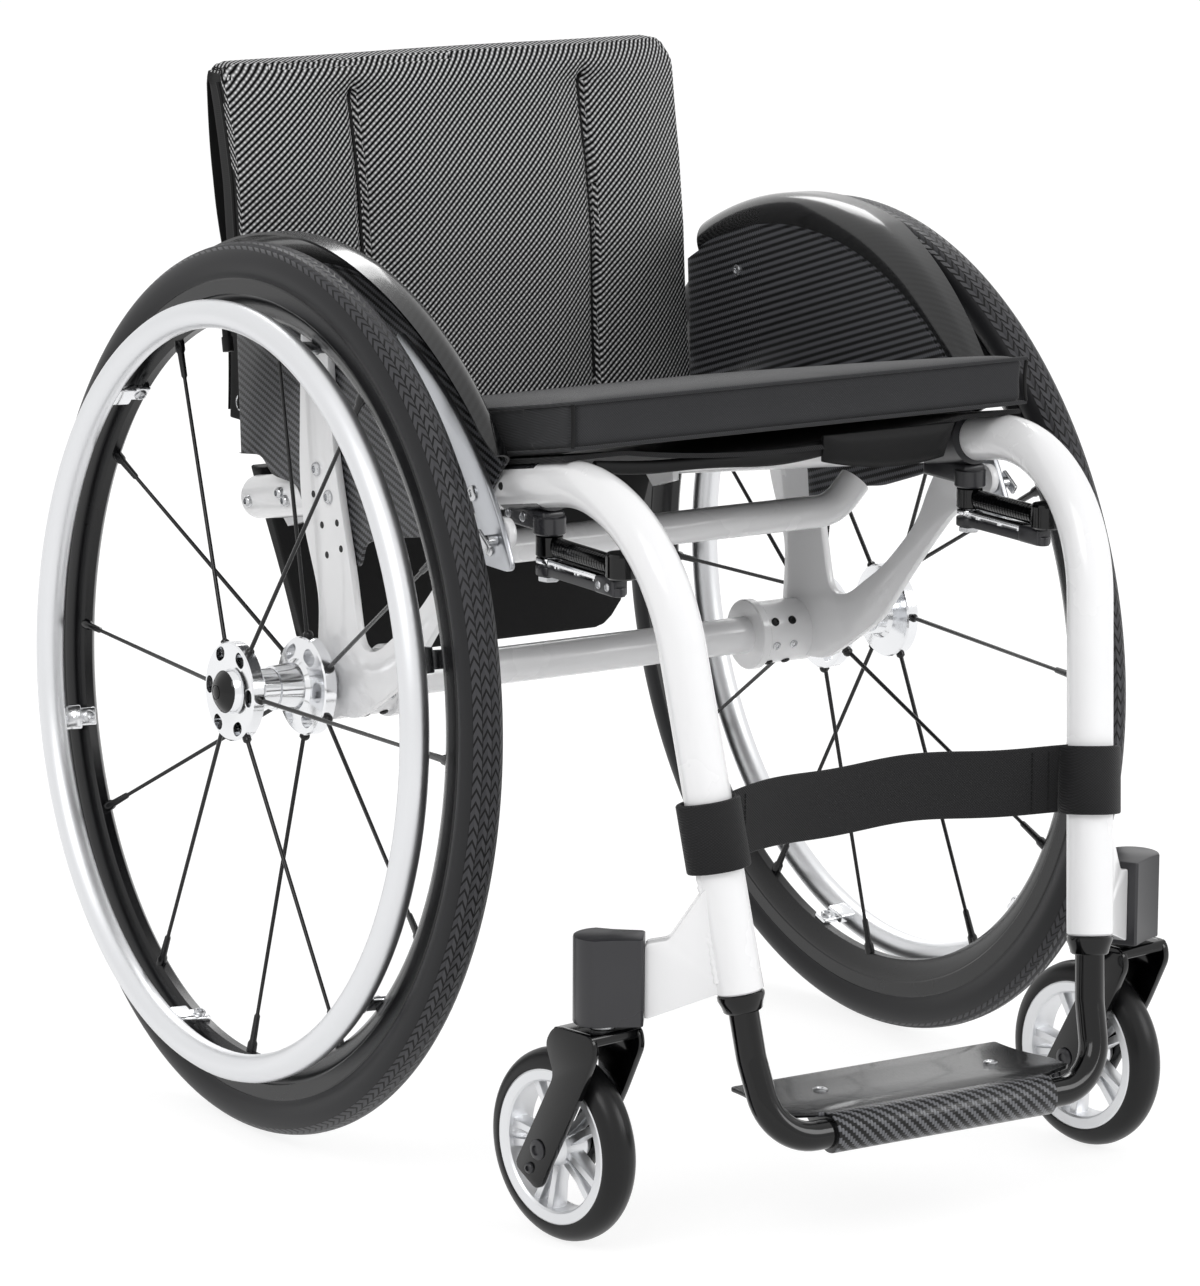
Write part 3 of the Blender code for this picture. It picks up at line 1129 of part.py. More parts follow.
def sleeve_mesh(name):
    """Sleeve's section: round in front and below, flat tail under the sheet."""
    radius = FOOT_TUBE_RADIUS + GAP + SLEEVE_WALL
    centre = (FOOT_CORNER[1], FOOT_CORNER[2])
    outline = arc_points(centre, radius, math.radians(95.0), math.radians(300.0), 12)
    tail, tail_end = SLEEVE_TAIL
    outline += [(centre[0] + tail, FOOTPLATE_TOP_Z - FOOTPLATE_SHEET - SLEEVE_TAIL_DROP),
                (centre[0] + tail_end, FOOTPLATE_TOP_Z - FOOTPLATE_SHEET / 3),
                (centre[0] + FOOTPLATE_FRONT_INSET[0], FOOTPLATE_TOP_Z - GAP)]
    return side_sheet(name, [outline], 1, -SLEEVE_HALF_LENGTH, 2 * SLEEVE_HALF_LENGTH)


def build_calf_strap(root):
    """Webbing between the legs with a loop round each of them."""
    half = STRAP_HEIGHT / 2
    leg = leg_point(1, STRAP_Z)
    loop_radius = FRAME_TUBE_RADIUS + GAP + STRAP_LOOP_THICKNESS
    end_y = leg.y + STRAP_END_SETBACK
    reach = leg.x - STRAP_END_INSET
    front = []
    back = []
    for index in range(17):
        x = -reach + 2 * reach * index / 16
        y = end_y + STRAP_SAG * (1 - (x / reach) ** 2)
        front.append((x, y - STRAP_THICKNESS / 2))
        back.append((x, y + STRAP_THICKNESS / 2))
    mesh = outline_mesh("calf_strap", [front + back[::-1]], STRAP_HEIGHT - STRAP_HEM)
    mesh.transform(Matrix.Translation((0.0, 0.0, STRAP_Z)))
    strap = add_part("calf_strap", mesh, "black_webbing", root)
    for label, side in SIDES.items():
        low = leg_point(side, STRAP_Z - half)
        high = leg_point(side, STRAP_Z + half)
        loop = rod_mesh("calf_strap_loop_" + label, low, high, loop_radius, 16)
        boolean(strap, add_cutter("calf_strap_loop_" + label, loop, root), "UNION")
    for label, side in SIDES.items():
        saddle = frame_clearance("calf_strap_saddle_" + label, side, root)
        boolean(strap, saddle, "DIFFERENCE")


# Seat

def seat_top_z(y):
    """Top of the seat tubes at a place along Y."""
    return seat_line_z(y) + FRAME_TUBE_RADIUS * math.sqrt(1 + SEAT_SLOPE ** 2)


def build_seat_sling(root):
    """Sheet over both seat tubes, hanging a little between them."""
    bm = bmesh.new()
    bmesh.ops.create_grid(bm, x_segments=8, y_segments=4, size=0.5)
    length = SLING_REAR_Y - SLING_FRONT_Y
    for vert in bm.verts:
        across = 2 * vert.co.x
        y = SLING_FRONT_Y + (vert.co.y + 0.5) * length
        sag = SLING_SAG * max(0.0, 1 - (across / SLING_FREE_SHARE) ** 2)
        vert.co = (across * CUSHION_HALF_WIDTH, y, seat_top_z(y) + GAP + SLING_THICKNESS / 2 - sag)
    sling = add_part("seat_sling", mesh_of(bm, "seat_sling"), "black_webbing", root)
    wall = sling.modifiers.new("wall", "SOLIDIFY")
    wall.thickness = SLING_THICKNESS
    wall.offset = 0.0


def build_seat_cushion(root):
    """Foam cushion: flat below, crowned above, sides drawn in between corners."""
    bm = bmesh.new()
    bmesh.ops.create_cube(bm, size=1.0)
    bmesh.ops.subdivide_edges(bm, edges=bm.edges[:], cuts=5, use_grid_fill=True)
    for vert in bm.verts:
        across = 2 * vert.co.x
        along = 2 * vert.co.y
        height = vert.co.z + 0.5
        draw = CUSHION_DRAW_IN * 4 * height * (1 - height)
        x = across * (CUSHION_HALF_WIDTH - draw * abs(across) - CUSHION_WAIST * (1 - along ** 2))
        y = CUSHION_FRONT_Y + (vert.co.y + 0.5) * CUSHION_LENGTH - along * draw
        base = seat_top_z(y) + 2 * GAP + SLING_THICKNESS + SHEET_GAP
        crown = CUSHION_CROWN * (1 - across ** 4) * (1 - along ** 4)
        vert.co = (x, y, base + height * (CUSHION_THICKNESS + crown))
    cushion = add_part("seat_cushion", mesh_of(bm, "seat_cushion"), "dark_fabric", root)
    edge = cushion.modifiers.new("edges", "BEVEL")
    edge.width = CUSHION_EDGE
    edge.segments = 2
    edge.limit_method = "ANGLE"
    edge.angle_limit = math.radians(50.0)


def build_under_seat_bag(root):
    """Flat bag behind the seat tubes' rear ends, narrower at its rounded foot."""
    slope = math.atan(SEAT_SLOPE)
    front_y = FRAME_REAR_Y + FRAME_TUBE_RADIUS * math.sin(slope) + GAP
    top = SEAT_REAR_Z + FRAME_TUBE_RADIUS + BAG_TOP_RISE
    foot = top - BAG_DROP
    half = [(BAG_TOP_HALF_WIDTH, top), (BAG_BOTTOM_HALF_WIDTH + BAG_CORNER / 4, foot + BAG_CORNER),
            (BAG_BOTTOM_HALF_WIDTH - BAG_CORNER / 4, foot + BAG_CORNER / 4),
            (BAG_BOTTOM_HALF_WIDTH - BAG_CORNER, foot)]
    mesh = outline_mesh("under_seat_bag", [half + [(-x, z) for x, z in half[::-1]]], BAG_DEPTH)
    turn = Matrix(((1, 0, 0, 0), (0, 0, -1, 0), (0, 1, 0, 0), (0, 0, 0, 1)))
    mesh.transform(Matrix.Translation((0.0, front_y + BAG_DEPTH / 2, 0.0)) @ turn)
    bag = add_part("under_seat_bag", mesh, "black_webbing", root)
    edge = bag.modifiers.new("edges", "BEVEL")
    edge.width = BAG_EDGE
    edge.segments = 2


# Back, in a frame on the hinge pins

def cane_y(z):
    """Centre line of the canes at a height, from its own few points."""
    points = CANE_POINTS
    for (y0, z0), (y1, z1) in zip(points, points[1:]):
        if z <= z1:
            return y0 + (y1 - y0) * (z - z0) / (z1 - z0)
    (y0, z0), (y1, z1) = points[-2:]
    return y1 + (y1 - y0) / (z1 - z0) * (z - z1)


def build_back_bracket(label, side, root):
    """Plate from the seat tube's rear end up to the back's hinge pin."""
    outline = arc_points((HINGE_Y, HINGE_Z), HINGE_EYE_RADIUS, math.radians(-10.0), math.radians(190.0), 8)
    outline += [(HINGE_Y + along, SEAT_REAR_Z + height) for along, height in BRACKET_FOOT]
    name = "back_bracket_" + label
    mesh = side_sheet(name, [outline], side, BRACKET_INNER_X, BRACKET_THICKNESS)
    bracket = add_part(name, mesh, "white_enamel", root)
    start = (side * (BRACKET_INNER_X + HINGE_PIN_LAP), HINGE_Y, HINGE_Z)
    end = (side * (CANE_X + CANE_RADIUS + HINGE_PIN_LAP), HINGE_Y, HINGE_Z)
    pin = rod_mesh(name + "_pin", start, end, HINGE_PIN_RADIUS, 12)
    boolean(bracket, add_cutter(name + "_pin", pin, root), "UNION")


def cane_path(side):
    path = [Vector((side * CANE_X, y, z)) for y, z in CANE_POINTS]
    foot = path[0] - (path[1] - path[0]).normalized() * CANE_FOOT
    return [foot] + path[1:]


def build_back_cane(label, side, fold):
    name = "back_cane_" + label
    mesh = swept_mesh(name, [cane_path(side)], CANE_RADIUS, 3)
    cane = add_part(name, mesh, "black_anodised", fold)
    reach = CANE_RADIUS + CUTTER_OVERRUN
    start = (side * (CANE_X - reach), 0.0, 0.0)
    end = (side * (CANE_X + reach), 0.0, 0.0)
    hole = rod_mesh(name + "_hinge_hole", start, end, HINGE_PIN_RADIUS + GAP, 12)
    boolean(cane, add_cutter(name + "_hinge_hole", hole, fold), "DIFFERENCE")


def back_bar_mesh(name, reach, radius):
    y = cane_y(BACK_BAR_RISE)
    return rod_mesh(name, (-reach, y, BACK_BAR_RISE), (reach, y, BACK_BAR_RISE), radius, 12)


def build_back_bar(fold):
    """Level bar that ties the canes together inside the upholstery."""
    mesh = back_bar_mesh("back_bar", CANE_X - CANE_RADIUS - GAP, BACK_BAR_RADIUS)
    smooth_round(mesh)
    add_part("back_bar", mesh, "black_anodised", fold)


def groove_depth(x, share):
    """Depth of the two sewn grooves at a place across, fading at the top."""
    fade = max(0.0, min(1.0, (0.92 - share) / 0.06))
    distance = min(abs(x - BACK_GROOVE_X), abs(x + BACK_GROOVE_X))
    return BACK_GROOVE_DEPTH * fade * math.exp(-(distance / BACK_GROOVE_WIDTH) ** 2)


def build_back_upholstery(fold):
    """Padded back in three upright pads, its sides wrapped round the canes."""
    bm = bmesh.new()
    bmesh.ops.create_grid(bm, x_segments=BACK_COLUMNS, y_segments=BACK_ROWS, size=0.5)
    for vert in bm.verts:
        across = 2 * vert.co.x
        share = vert.co.y + 0.5
        z = BACK_BOTTOM + share * (BACK_TOP - BACK_BOTTOM) - BACK_TOP_CROWN * share * across ** 2
        x = across * (BACK_HALF_WIDTH - BACK_WAIST * math.sin(math.pi * share))
        bulge = BACK_BULGE * (1 - across ** 4) ** 2
        vert.co = (x, cane_y(z) - bulge + groove_depth(x, share), z)
    bmesh.ops.recalc_face_normals(bm, faces=bm.faces)
    back = add_part("back_upholstery", mesh_of(bm, "back_upholstery"), "spacer_mesh", fold)
    wall = back.modifiers.new("padding", "SOLIDIFY")
    wall.thickness = BACK_THICKNESS
    wall.offset = 0.0
    for label, side in SIDES.items():
        sleeve = swept_mesh("back_sleeve_" + label, [cane_path(side)], CANE_RADIUS + GAP, 3)
        boolean(back, add_cutter("back_sleeve_" + label, sleeve, fold), "DIFFERENCE")
        boolean(back, add_cutter("hinge_notch_" + label, hinge_notch_mesh(side), fold), "DIFFERENCE")
    bar = back_bar_mesh("back_bar_sleeve", CANE_X, BACK_BAR_RADIUS + GAP)
    boolean(back, add_cutter("back_bar_sleeve", bar, fold), "DIFFERENCE")


def hinge_notch_mesh(side):
    """Room in the upholstery's lower corner for the bracket and the hinge."""
    edges = sorted((side * (BRACKET_INNER_X - NOTCH_MARGIN), side * (BACK_HALF_WIDTH + NOTCH_MARGIN)))
    return box_mesh("hinge_notch", (edges[0], -NOTCH_REACH, -NOTCH_LOW), (edges[1], NOTCH_REACH, NOTCH_HIGH))


# Brakes

def brake_arm_top():
    """Underside of the clamp, which the shoe arm swings below."""
    return seat_line_z(BRAKE_PIVOT_Y) - FRAME_TUBE_RADIUS - BRAKE_CLAMP_HEIGHT - GAP


def brake_lever_top():
    return brake_arm_top() - SHOE_ARM_HEIGHT - GAP


def build_brake_clamp(label, side, root):
    """Block clamped under the seat tube with the pin that both arms turn on."""
    name = "brake_clamp_" + label
    x = side * BRAKE_X
    low_z = brake_arm_top() + GAP
    low = (x - BRAKE_CLAMP_WIDTH / 2, BRAKE_PIVOT_Y - BRAKE_CLAMP_AHEAD, low_z)
    rear_y = BRAKE_PIVOT_Y + BRAKE_CLAMP_BEHIND
    high = (x + BRAKE_CLAMP_WIDTH / 2, rear_y, seat_line_z(rear_y))
    clamp = add_part(name, box_mesh(name, low, high), "black_anodised", root)
    boolean(clamp, frame_clearance(name + "_saddle", side, root), "DIFFERENCE")
    pin_low = brake_lever_top() - LEVER_HEIGHT - BRAKE_PIN_END
    pin = rod_mesh(name + "_pin", (x, BRAKE_PIVOT_Y, pin_low),
                   (x, BRAKE_PIVOT_Y, low_z + BRAKE_PIN_RADIUS), BRAKE_PIN_RADIUS, 12)
    boolean(clamp, add_cutter(name + "_pin", pin, root), "UNION")


def pivot_arm_mesh(name, length, width, height):
    """Flat arm with a bored boss on its pivot and a round tip, running forward."""
    boss = BRAKE_PIN_RADIUS + BRAKE_BOSS_WALL
    spread = math.asin(width / 2 / boss)
    outline = arc_points((0.0, 0.0), boss, -math.pi / 2 + spread, 3 * math.pi / 2 - spread, 10)
    outline += arc_points((0.0, -length), width / 2, math.pi, 2 * math.pi, 6)
    hole = arc_points((0.0, 0.0), BRAKE_PIN_RADIUS + GAP, 0.0, 2 * math.pi, 12)[:-1]
    return outline_mesh(name, [outline, hole], height)


def build_brake_arm(label, side, root):
    """Shoe arm on the clamp's pin: its round shoe swings out in front of the tyre."""
    middle = (side * BRAKE_X, BRAKE_PIVOT_Y, brake_arm_top() - SHOE_ARM_HEIGHT / 2)
    pivot = add_empty("brake_arm_axis_" + label, middle, root)
    name = "brake_arm_" + label
    mesh = pivot_arm_mesh(name, SHOE_ARM_LENGTH, SHOE_ARM_WIDTH, SHOE_ARM_HEIGHT)
    arm = add_part(name, mesh, "black_anodised", pivot)
    shoe = rod_mesh(name + "_shoe", (0.0, -SHOE_ARM_LENGTH, GAP - SHOE_ARM_HEIGHT / 2),
                    (0.0, -SHOE_ARM_LENGTH, SHOE_ARM_HEIGHT / 2 + SHOE_RISE), SHOE_RADIUS, 16)
    boolean(arm, add_cutter(name + "_shoe", shoe, pivot), "UNION")


def build_brake_lever(label, side, root):
    """Hand lever below the shoe arm, on the same pin."""
    middle = (side * BRAKE_X, BRAKE_PIVOT_Y, brake_lever_top() - LEVER_HEIGHT / 2)
    pivot = add_empty("brake_lever_axis_" + label, middle, root)
    name = "brake_lever_" + label
    mesh = pivot_arm_mesh(name, LEVER_LENGTH, LEVER_WIDTH, LEVER_HEIGHT)
    add_part(name, mesh, "black_anodised", pivot)


# Assembly

def build_side(label, side, root, fold):
    build_frame_tube(label, side, root)
    build_gusset(label, side, root)
    build_caster_housing(label, side, root)
    build_side_plate(label, side, root)
    build_axle_receiver(label, side, root)
    build_side_guard(label, side, root)
    build_guard_stay(label, side, root)
    wheel = build_wheel_frame(label, side, root)
    build_rear_tyre(label, wheel)
    build_rear_rim(label, wheel)
    build_push_rim(label, side, wheel)
    build_rear_hub(label, side, wheel)
    build_quick_release(label, side, wheel)
    build_caster(label, side, root)
    build_footrest_collar(label, side, root)
    build_back_bracket(label, side, root)
    build_back_cane(label, side, fold)
    build_brake_clamp(label, side, root)
    build_brake_arm(label, side, root)
    build_brake_lever(label, side, root)


def build_wheelchair():
    root = add_empty("chair_origin", (0.0, AXLE_Y, 0.0))
    fold = add_empty("back_fold_axis", (0.0, HINGE_Y, HINGE_Z), root)
    for label, side in SIDES.items():
        build_side(label, side, root, fold)
    build_axle_tube(root)
    build_seat_cross_tube(root)
    build_footrest_tube(root)
    build_footplate(root)
    build_calf_strap(root)
    build_seat_sling(root)
    build_seat_cushion(root)
    build_under_seat_bag(root)
    build_back_bar(fold)
    build_back_upholstery(fold)


SIDES = {"left": 1, "right": -1}
clear_scene()
PARTS = new_collection("rigid_wheelchair")
CUTTERS = new_collection("cutters")
build_wheelchair()
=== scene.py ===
"""Active wheelchair with a rigid frame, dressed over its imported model.

Lengths are metres. Lengths along Y are measured from the rear axle, with forward
negative, and every piece is moved to the shared frame when it is finished.
"""

import logging
from dataclasses import dataclass
from enum import Enum
from math import asin, atan, atan2, copysign, cos, exp, hypot, pi, radians, sin, sqrt, tan
from typing import Any, Iterable, Sequence

import bmesh
import bpy
from bmesh.types import BMesh, BMVert
from bpy.types import Material, Mesh, Node, NodeSocket, NodeTree, Object
from mathutils import Matrix, Vector


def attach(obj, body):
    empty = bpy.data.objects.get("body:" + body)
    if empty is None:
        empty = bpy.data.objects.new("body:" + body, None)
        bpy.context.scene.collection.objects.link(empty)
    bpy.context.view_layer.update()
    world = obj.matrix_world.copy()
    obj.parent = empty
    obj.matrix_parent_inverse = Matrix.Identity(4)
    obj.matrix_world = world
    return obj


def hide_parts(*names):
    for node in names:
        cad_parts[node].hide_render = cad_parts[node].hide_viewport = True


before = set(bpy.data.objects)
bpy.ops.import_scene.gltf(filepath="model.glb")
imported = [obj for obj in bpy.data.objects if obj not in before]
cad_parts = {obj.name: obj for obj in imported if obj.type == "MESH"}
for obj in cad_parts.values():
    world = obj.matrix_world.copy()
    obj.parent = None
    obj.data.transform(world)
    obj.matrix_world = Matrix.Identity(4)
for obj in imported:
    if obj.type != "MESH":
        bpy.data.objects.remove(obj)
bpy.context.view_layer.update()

LOG = logging.getLogger("wheelchair")
AXLE_Y = 0.0784  # the rear axle in the shared frame
CAMBER = radians(2.5)
WHEEL_CENTRE = Vector((0.2423887, 0.0, 0.2959582))
TYRE_RADIUS = 0.296
AXLE_LINE_Z = 0.2915  # centre line of the axle tube
FRAME_X = 0.166  # centre line of the seat tubes
FRAME_REAR_Y = 0.138
TUBE_RADIUS = 0.015
CORNER_Y = -0.3618  # where the lines of seat tube and leg meet
CORNER_Z = 0.4866
SEAT_SLOPE = 0.181
LEG_LEAN_IN = 0.0998
LEG_LEAN_FORWARD = 0.1685
SLING_RISE = 0.01984  # from the seat tubes' centre line to the sling's top
GUARD_X = 0.1815  # inner faces of the flat sheets, from the middle of the chair
PLATE_X = 0.184
STAY_X = 0.1905
CASTER_STEM = (0.204, -0.3655)
CASTER_TRAIL = 0.036
CASTER_RADIUS = 0.0621
SHARP = radians(38.0)  # an edge that turns by more stays sharp

Point = Sequence[float]
Flat = list[tuple[float, float]]


class Side(Enum):
    """Side of the chair as the rider sits, with its sign along X."""

    LEFT = 1
    RIGHT = -1

    @property
    def label(self) -> str:
        """The side's name as the CAD nodes write it."""
        return self.name.lower()


# Helpers

def linear(code: str) -> tuple[float, float, float, float]:
    """Turns an sRGB hex value into a linear colour.

    Args:
        code: Colour such as "#2A2B2C".

    Returns:
        Linear red, green and blue with an alpha of 1.
    """
    parts = [int(code[index:index + 2], 16) / 255 for index in (1, 3, 5)]
    values = [part / 12.92 if part <= 0.04045 else ((part + 0.055) / 1.055) ** 2.4 for part in parts]
    return values[0], values[1], values[2], 1.0


def add_node(tree: NodeTree, kind: str, settings: dict[str, Any] | None = None,
             inputs: dict[int | str, Any] | Sequence[Any] | None = None) -> Node:
    """Adds a node with its settings and its inputs.

    Args:
        tree: Tree that gets the node.
        kind: Node type, without the ShaderNode before it.
        settings: Properties of the node.
        inputs: Values, sockets or nodes, by input name or index, or in order.

    Returns:
        The new node.
    """
    node = tree.nodes.new("ShaderNode" + kind)
    for key, value in (settings or {}).items():
        setattr(node, key, value)
    rows = inputs or {}
    for key, value in rows.items() if isinstance(rows, dict) else enumerate(rows):
        if isinstance(value, (NodeSocket, Node)):
            tree.links.new(value.outputs[0] if isinstance(value, Node) else value, node.inputs[key])
        else:
            node.inputs[key].default_value = value
    return node


def seat_line(y: float) -> float:
    """Height of the seat tubes' centre line."""
    return CORNER_Z - SEAT_SLOPE * (y - CORNER_Y)


def over_seat(points: Iterable[Point]) -> Flat:
    """Points as (y, z) from ones given as (y, height over the seat line)."""
    return [(y, seat_line(y) + height) for y, height in points]


def over_axle(points: Iterable[Point]) -> Flat:
    """Points as (y, z) from ones given as (y, height over the axle line)."""
    return [(y, AXLE_LINE_Z + height) for y, height in points]


def leg_point(side: int, z: float) -> Vector:
    """Centre of the front leg at a height."""
    drop = CORNER_Z - z
    return Vector((side * (FRAME_X - LEG_LEAN_IN * drop), CORNER_Y - LEG_LEAN_FORWARD * drop, z))


def arc(centre: Point, radius: float, start: float, end: float, count: int) -> Flat:
    """Points on an arc, with both ends."""
    angles = [start + (end - start) * index / count for index in range(count + 1)]
    return [(centre[0] + radius * cos(turn), centre[1] + radius * sin(turn)) for turn in angles]


def round_wheel(angle: float, radius: float) -> tuple[float, float]:
    """Point as (y, z) at an angle forward from straight above the rear axle."""
    return -radius * sin(angle), WHEEL_CENTRE.z + radius * cos(angle)


def mirrored(half: Sequence[Point]) -> Flat:
    """Whole section of (radius, height) from its half on one side of the middle plane."""
    return [(radius, height) for radius, height in half] + [(r, -h) for r, h in half[::-1] if h]


def smooth_line(points: Sequence[Point], per_span: int) -> list[Vector]:
    """Runs a smooth curve through a few points.

    Args:
        points: Points that the curve passes through.
        per_span: New points for each span.

    Returns:
        The curve's points.
    """
    known = [Vector(point) for point in points]
    known = [known[0], *known, known[-1]]
    line = []
    for before, start, end, after in zip(known, known[1:], known[2:], known[3:]):
        for step in range(per_span):
            t = step / per_span
            line.append(0.5 * (2 * start + (end - before) * t
                               + (2 * before - 5 * start + 4 * end - after) * t ** 2
                               + (3 * start - before - 3 * end + after) * t ** 3))
    return line + [known[-1]]


def rounded(points: Sequence[Point], radius: float, count: int) -> list[Vector]:
    """Rounds the corners of an open path with arcs of one radius.

    Args:
        points: Ends and corners of the path in order.
        radius: Radius of the arcs.
        count: Spans on each arc.

    Returns:
        The rounded path.
    """
    known = [Vector(point) for point in points]
    path = [known[0]]
    for before, corner, after in zip(known, known[1:], known[2:]):
        back = (before - corner).normalized()
        ahead = (after - corner).normalized()
        half = back.angle(ahead) / 2
        reach = radius / tan(half)
        centre = corner + (back + ahead).normalized() * radius / sin(half)
        start = corner + back * reach - centre
        end = corner + ahead * reach - centre
        whole = start.angle(end)
        for index in range(count + 1):
            turn = index / count
            path.append(centre + (start * sin((1 - turn) * whole)
                                  + end * sin(turn * whole)) / sin(whole))
    path.append(known[-1])
    return path


def fillet(points: Sequence[Point], radius: float, steps: int) -> Flat:
    """Rounds every corner of a closed flat outline.

    Args:
        points: Corners in order.
        radius: Distance from a corner at which its curve starts.
        steps: Points on each curve.

    Returns:
        The rounded outline.
    """
    known = [Vector(point) for point in points]
    outline = []
    for index, corner in enumerate(known):
        back = known[index - 1] - corner
        ahead = known[(index + 1) % len(known)] - corner
        start = corner + back.normalized() * min(radius, back.length * 0.45)
        end = corner + ahead.normalized() * min(radius, ahead.length * 0.45)
        for step in range(steps + 1):
            t = step / steps
            outline.append(tuple(start * (1 - t) ** 2 + 2 * corner * t * (1 - t) + end * t ** 2))
    return outline


def spin_ring(bm: BMesh, profile: Sequence[Point], steps: int, matrix: Matrix,
              closed: bool = True) -> None:
    """Turns a profile of (radius, height) once round Z.

    Args:
        bm: Mesh that gets the ring.
        profile: Points of the section; a radius of 0 lies on the axis.
        steps: Facets round the ring.
        matrix: Place of the ring.
        closed: Whether the section closes on itself.
    """
    part = bmesh.new()
    verts = [part.verts.new((radius, 0.0, height)) for radius, height in profile]
    pairs = list(zip(verts, verts[1:]))
    if closed:
        pairs.append((verts[-1], verts[0]))
    edges = [part.edges.new(pair) for pair in pairs]
    bmesh.ops.spin(part, geom=verts + edges, cent=(0, 0, 0), axis=(0, 0, 1), angle=2 * pi, steps=steps,
                   use_merge=True)
    bmesh.ops.remove_doubles(part, verts=part.verts, dist=1e-6)
    bmesh.ops.recalc_face_normals(part, faces=part.faces)
    join(bm, part, matrix)


def join(bm: BMesh, part: BMesh, matrix: Matrix = Matrix()) -> None:
    """Adds one mesh to another at a place.

    Args:
        bm: Mesh that gets the other.
        part: Mesh that is added; it is freed.
        matrix: Place of the added mesh; one that mirrors also turns its faces.
    """
    bmesh.ops.transform(part, matrix=matrix, verts=part.verts)
    if matrix.determinant() < 0:
        bmesh.ops.reverse_faces(part, faces=part.faces)
    mesh = bpy.data.meshes.new("join")
    part.to_mesh(mesh)
    part.free()
    bm.from_mesh(mesh)
    bpy.data.meshes.remove(mesh)


def sweep(bm: BMesh, path: Sequence[Point], radii: float | Sequence[float], sides: int = 16,
          section: Sequence[Point] | None = None, across: Vector | None = None, closed: bool = False) -> None:
    """Extrudes a round or given section along a path and caps its ends.

    Args:
        bm: Mesh that gets the tube.
        path: Points of the centre line.
        radii: One radius, or one for each point of the path.
        sides: Sides of a round section.
        section: Section as (along across, along the third direction), scaled by the radii.
        across: Direction that the section's first axis keeps.
        closed: Whether the path comes back to its start.
    """
    known = [Vector(point) for point in path]
    sizes = [radii] * len(known) if isinstance(radii, (int, float)) else list(radii)
    turns = [2 * pi * index / sides for index in range(sides)]
    outline = section or [(cos(turn), sin(turn)) for turn in turns]
    part = bmesh.new()
    ring = [part.verts.new((0, 0, 0)) for _ in outline]
    edges = [part.edges.new(pair) for pair in zip(ring, ring[1:] + ring[:1])]
    first = list(ring)
    reference = across
    last = len(known) - 1
    for index, point in enumerate(known):
        before = known[index - 1] if index or closed else point
        after = known[(index + 1) % len(known)] if index < last or closed else point
        ahead = (after - before).normalized()
        if reference is None:
            reference = ahead.orthogonal()
        flat = (reference - ahead * reference.dot(ahead)).normalized()
        if across is None:
            reference = flat
        third = ahead.cross(flat)
        if index:
            made = set(bmesh.ops.extrude_edge_only(part, edges=edges)["geom"])
            ring = [next(edge.other_vert(vert) for edge in vert.link_edges if edge.other_vert(vert) in made)
                    for vert in ring]
            edges = [part.edges.get(pair) for pair in zip(ring, ring[1:] + ring[:1])]
        for vert, (u, v) in zip(ring, outline):
            vert.co = point + (flat * u + third * v) * sizes[index]
    if closed:
        start = [part.edges.get(pair) for pair in zip(first, first[1:] + first[:1])]
        bmesh.ops.bridge_loops(part, edges=edges + start)
    else:
        bmesh.ops.contextual_create(part, geom=ring)
        bmesh.ops.contextual_create(part, geom=first)
    bmesh.ops.recalc_face_normals(part, faces=part.faces)
    join(bm, part)


def rod(bm: BMesh, start: Point, end: Point, radius: float, sides: int, edge: float = 0.0) -> None:
    """Adds a straight round bar, with softened rims.

    Args:
        bm: Mesh that gets the bar.
        start: Middle of the first end.
        end: Middle of the other end.
        radius: Radius of the bar.
        sides: Facets round it.
        edge: Width of the chamfer at both rims.
    """
    low, high = Vector(start), Vector(end)
    path, radii = [low, high], [radius, radius]
    if edge:
        inset = (high - low).normalized() * edge
        path = [low, low + inset, high - inset, high]
        radii = [radius - edge, radius, radius, radius - edge]
    sweep(bm, path, radii, sides)


def block(bm: BMesh, low: Point, high: Point, edge: float, matrix: Matrix = Matrix()) -> None:
    """Adds a box with rounded edges.

    Args:
        bm: Mesh that gets the box.
        low: Its low corner.
        high: Its high corner.
        edge: Radius of the edges.
        matrix: Place of the box.
    """
    part = bmesh.new()
    size = Vector(high) - Vector(low)
    middle = (Vector(high) + Vector(low)) / 2
    bmesh.ops.create_cube(part, size=1.0, matrix=Matrix.Translation(middle) @ Matrix.Diagonal((*size, 1.0)))
    bmesh.ops.bevel(part, geom=part.edges, offset=edge, segments=3, profile=0.5, affect="EDGES", material=-1)
    join(bm, part, matrix)


def sheet_solid(bm: BMesh, outline: Sequence[Point], start: float, thickness: float, edge: float = 0.0,
                matrix: Matrix = Matrix()) -> None:
    """Extrudes a flat outline along Z and rounds its two rims.

    Args:
        bm: Mesh that gets the solid.
        outline: Corners in the plane.
        start: Height of the first face.
        thickness: Distance to the other face.
        edge: Radius of the rims.
        matrix: Place of the solid.
    """
    part = bmesh.new()
    face = part.faces.new([part.verts.new((u, v, start)) for u, v in outline])
    moved = bmesh.ops.extrude_face_region(part, geom=[face])["geom"]
    verts = [item for item in moved if isinstance(item, BMVert)]
    bmesh.ops.translate(part, vec=(0.0, 0.0, thickness), verts=verts)
    bmesh.ops.recalc_face_normals(part, faces=part.faces)
    if edge:
        rims = [item for item in part.edges if item.verts[0].co.z == item.verts[1].co.z]
        bmesh.ops.bevel(part, geom=rims, offset=edge, segments=2, profile=0.5, affect="EDGES", material=-1,
                        clamp_overlap=True)
    join(bm, part, matrix)


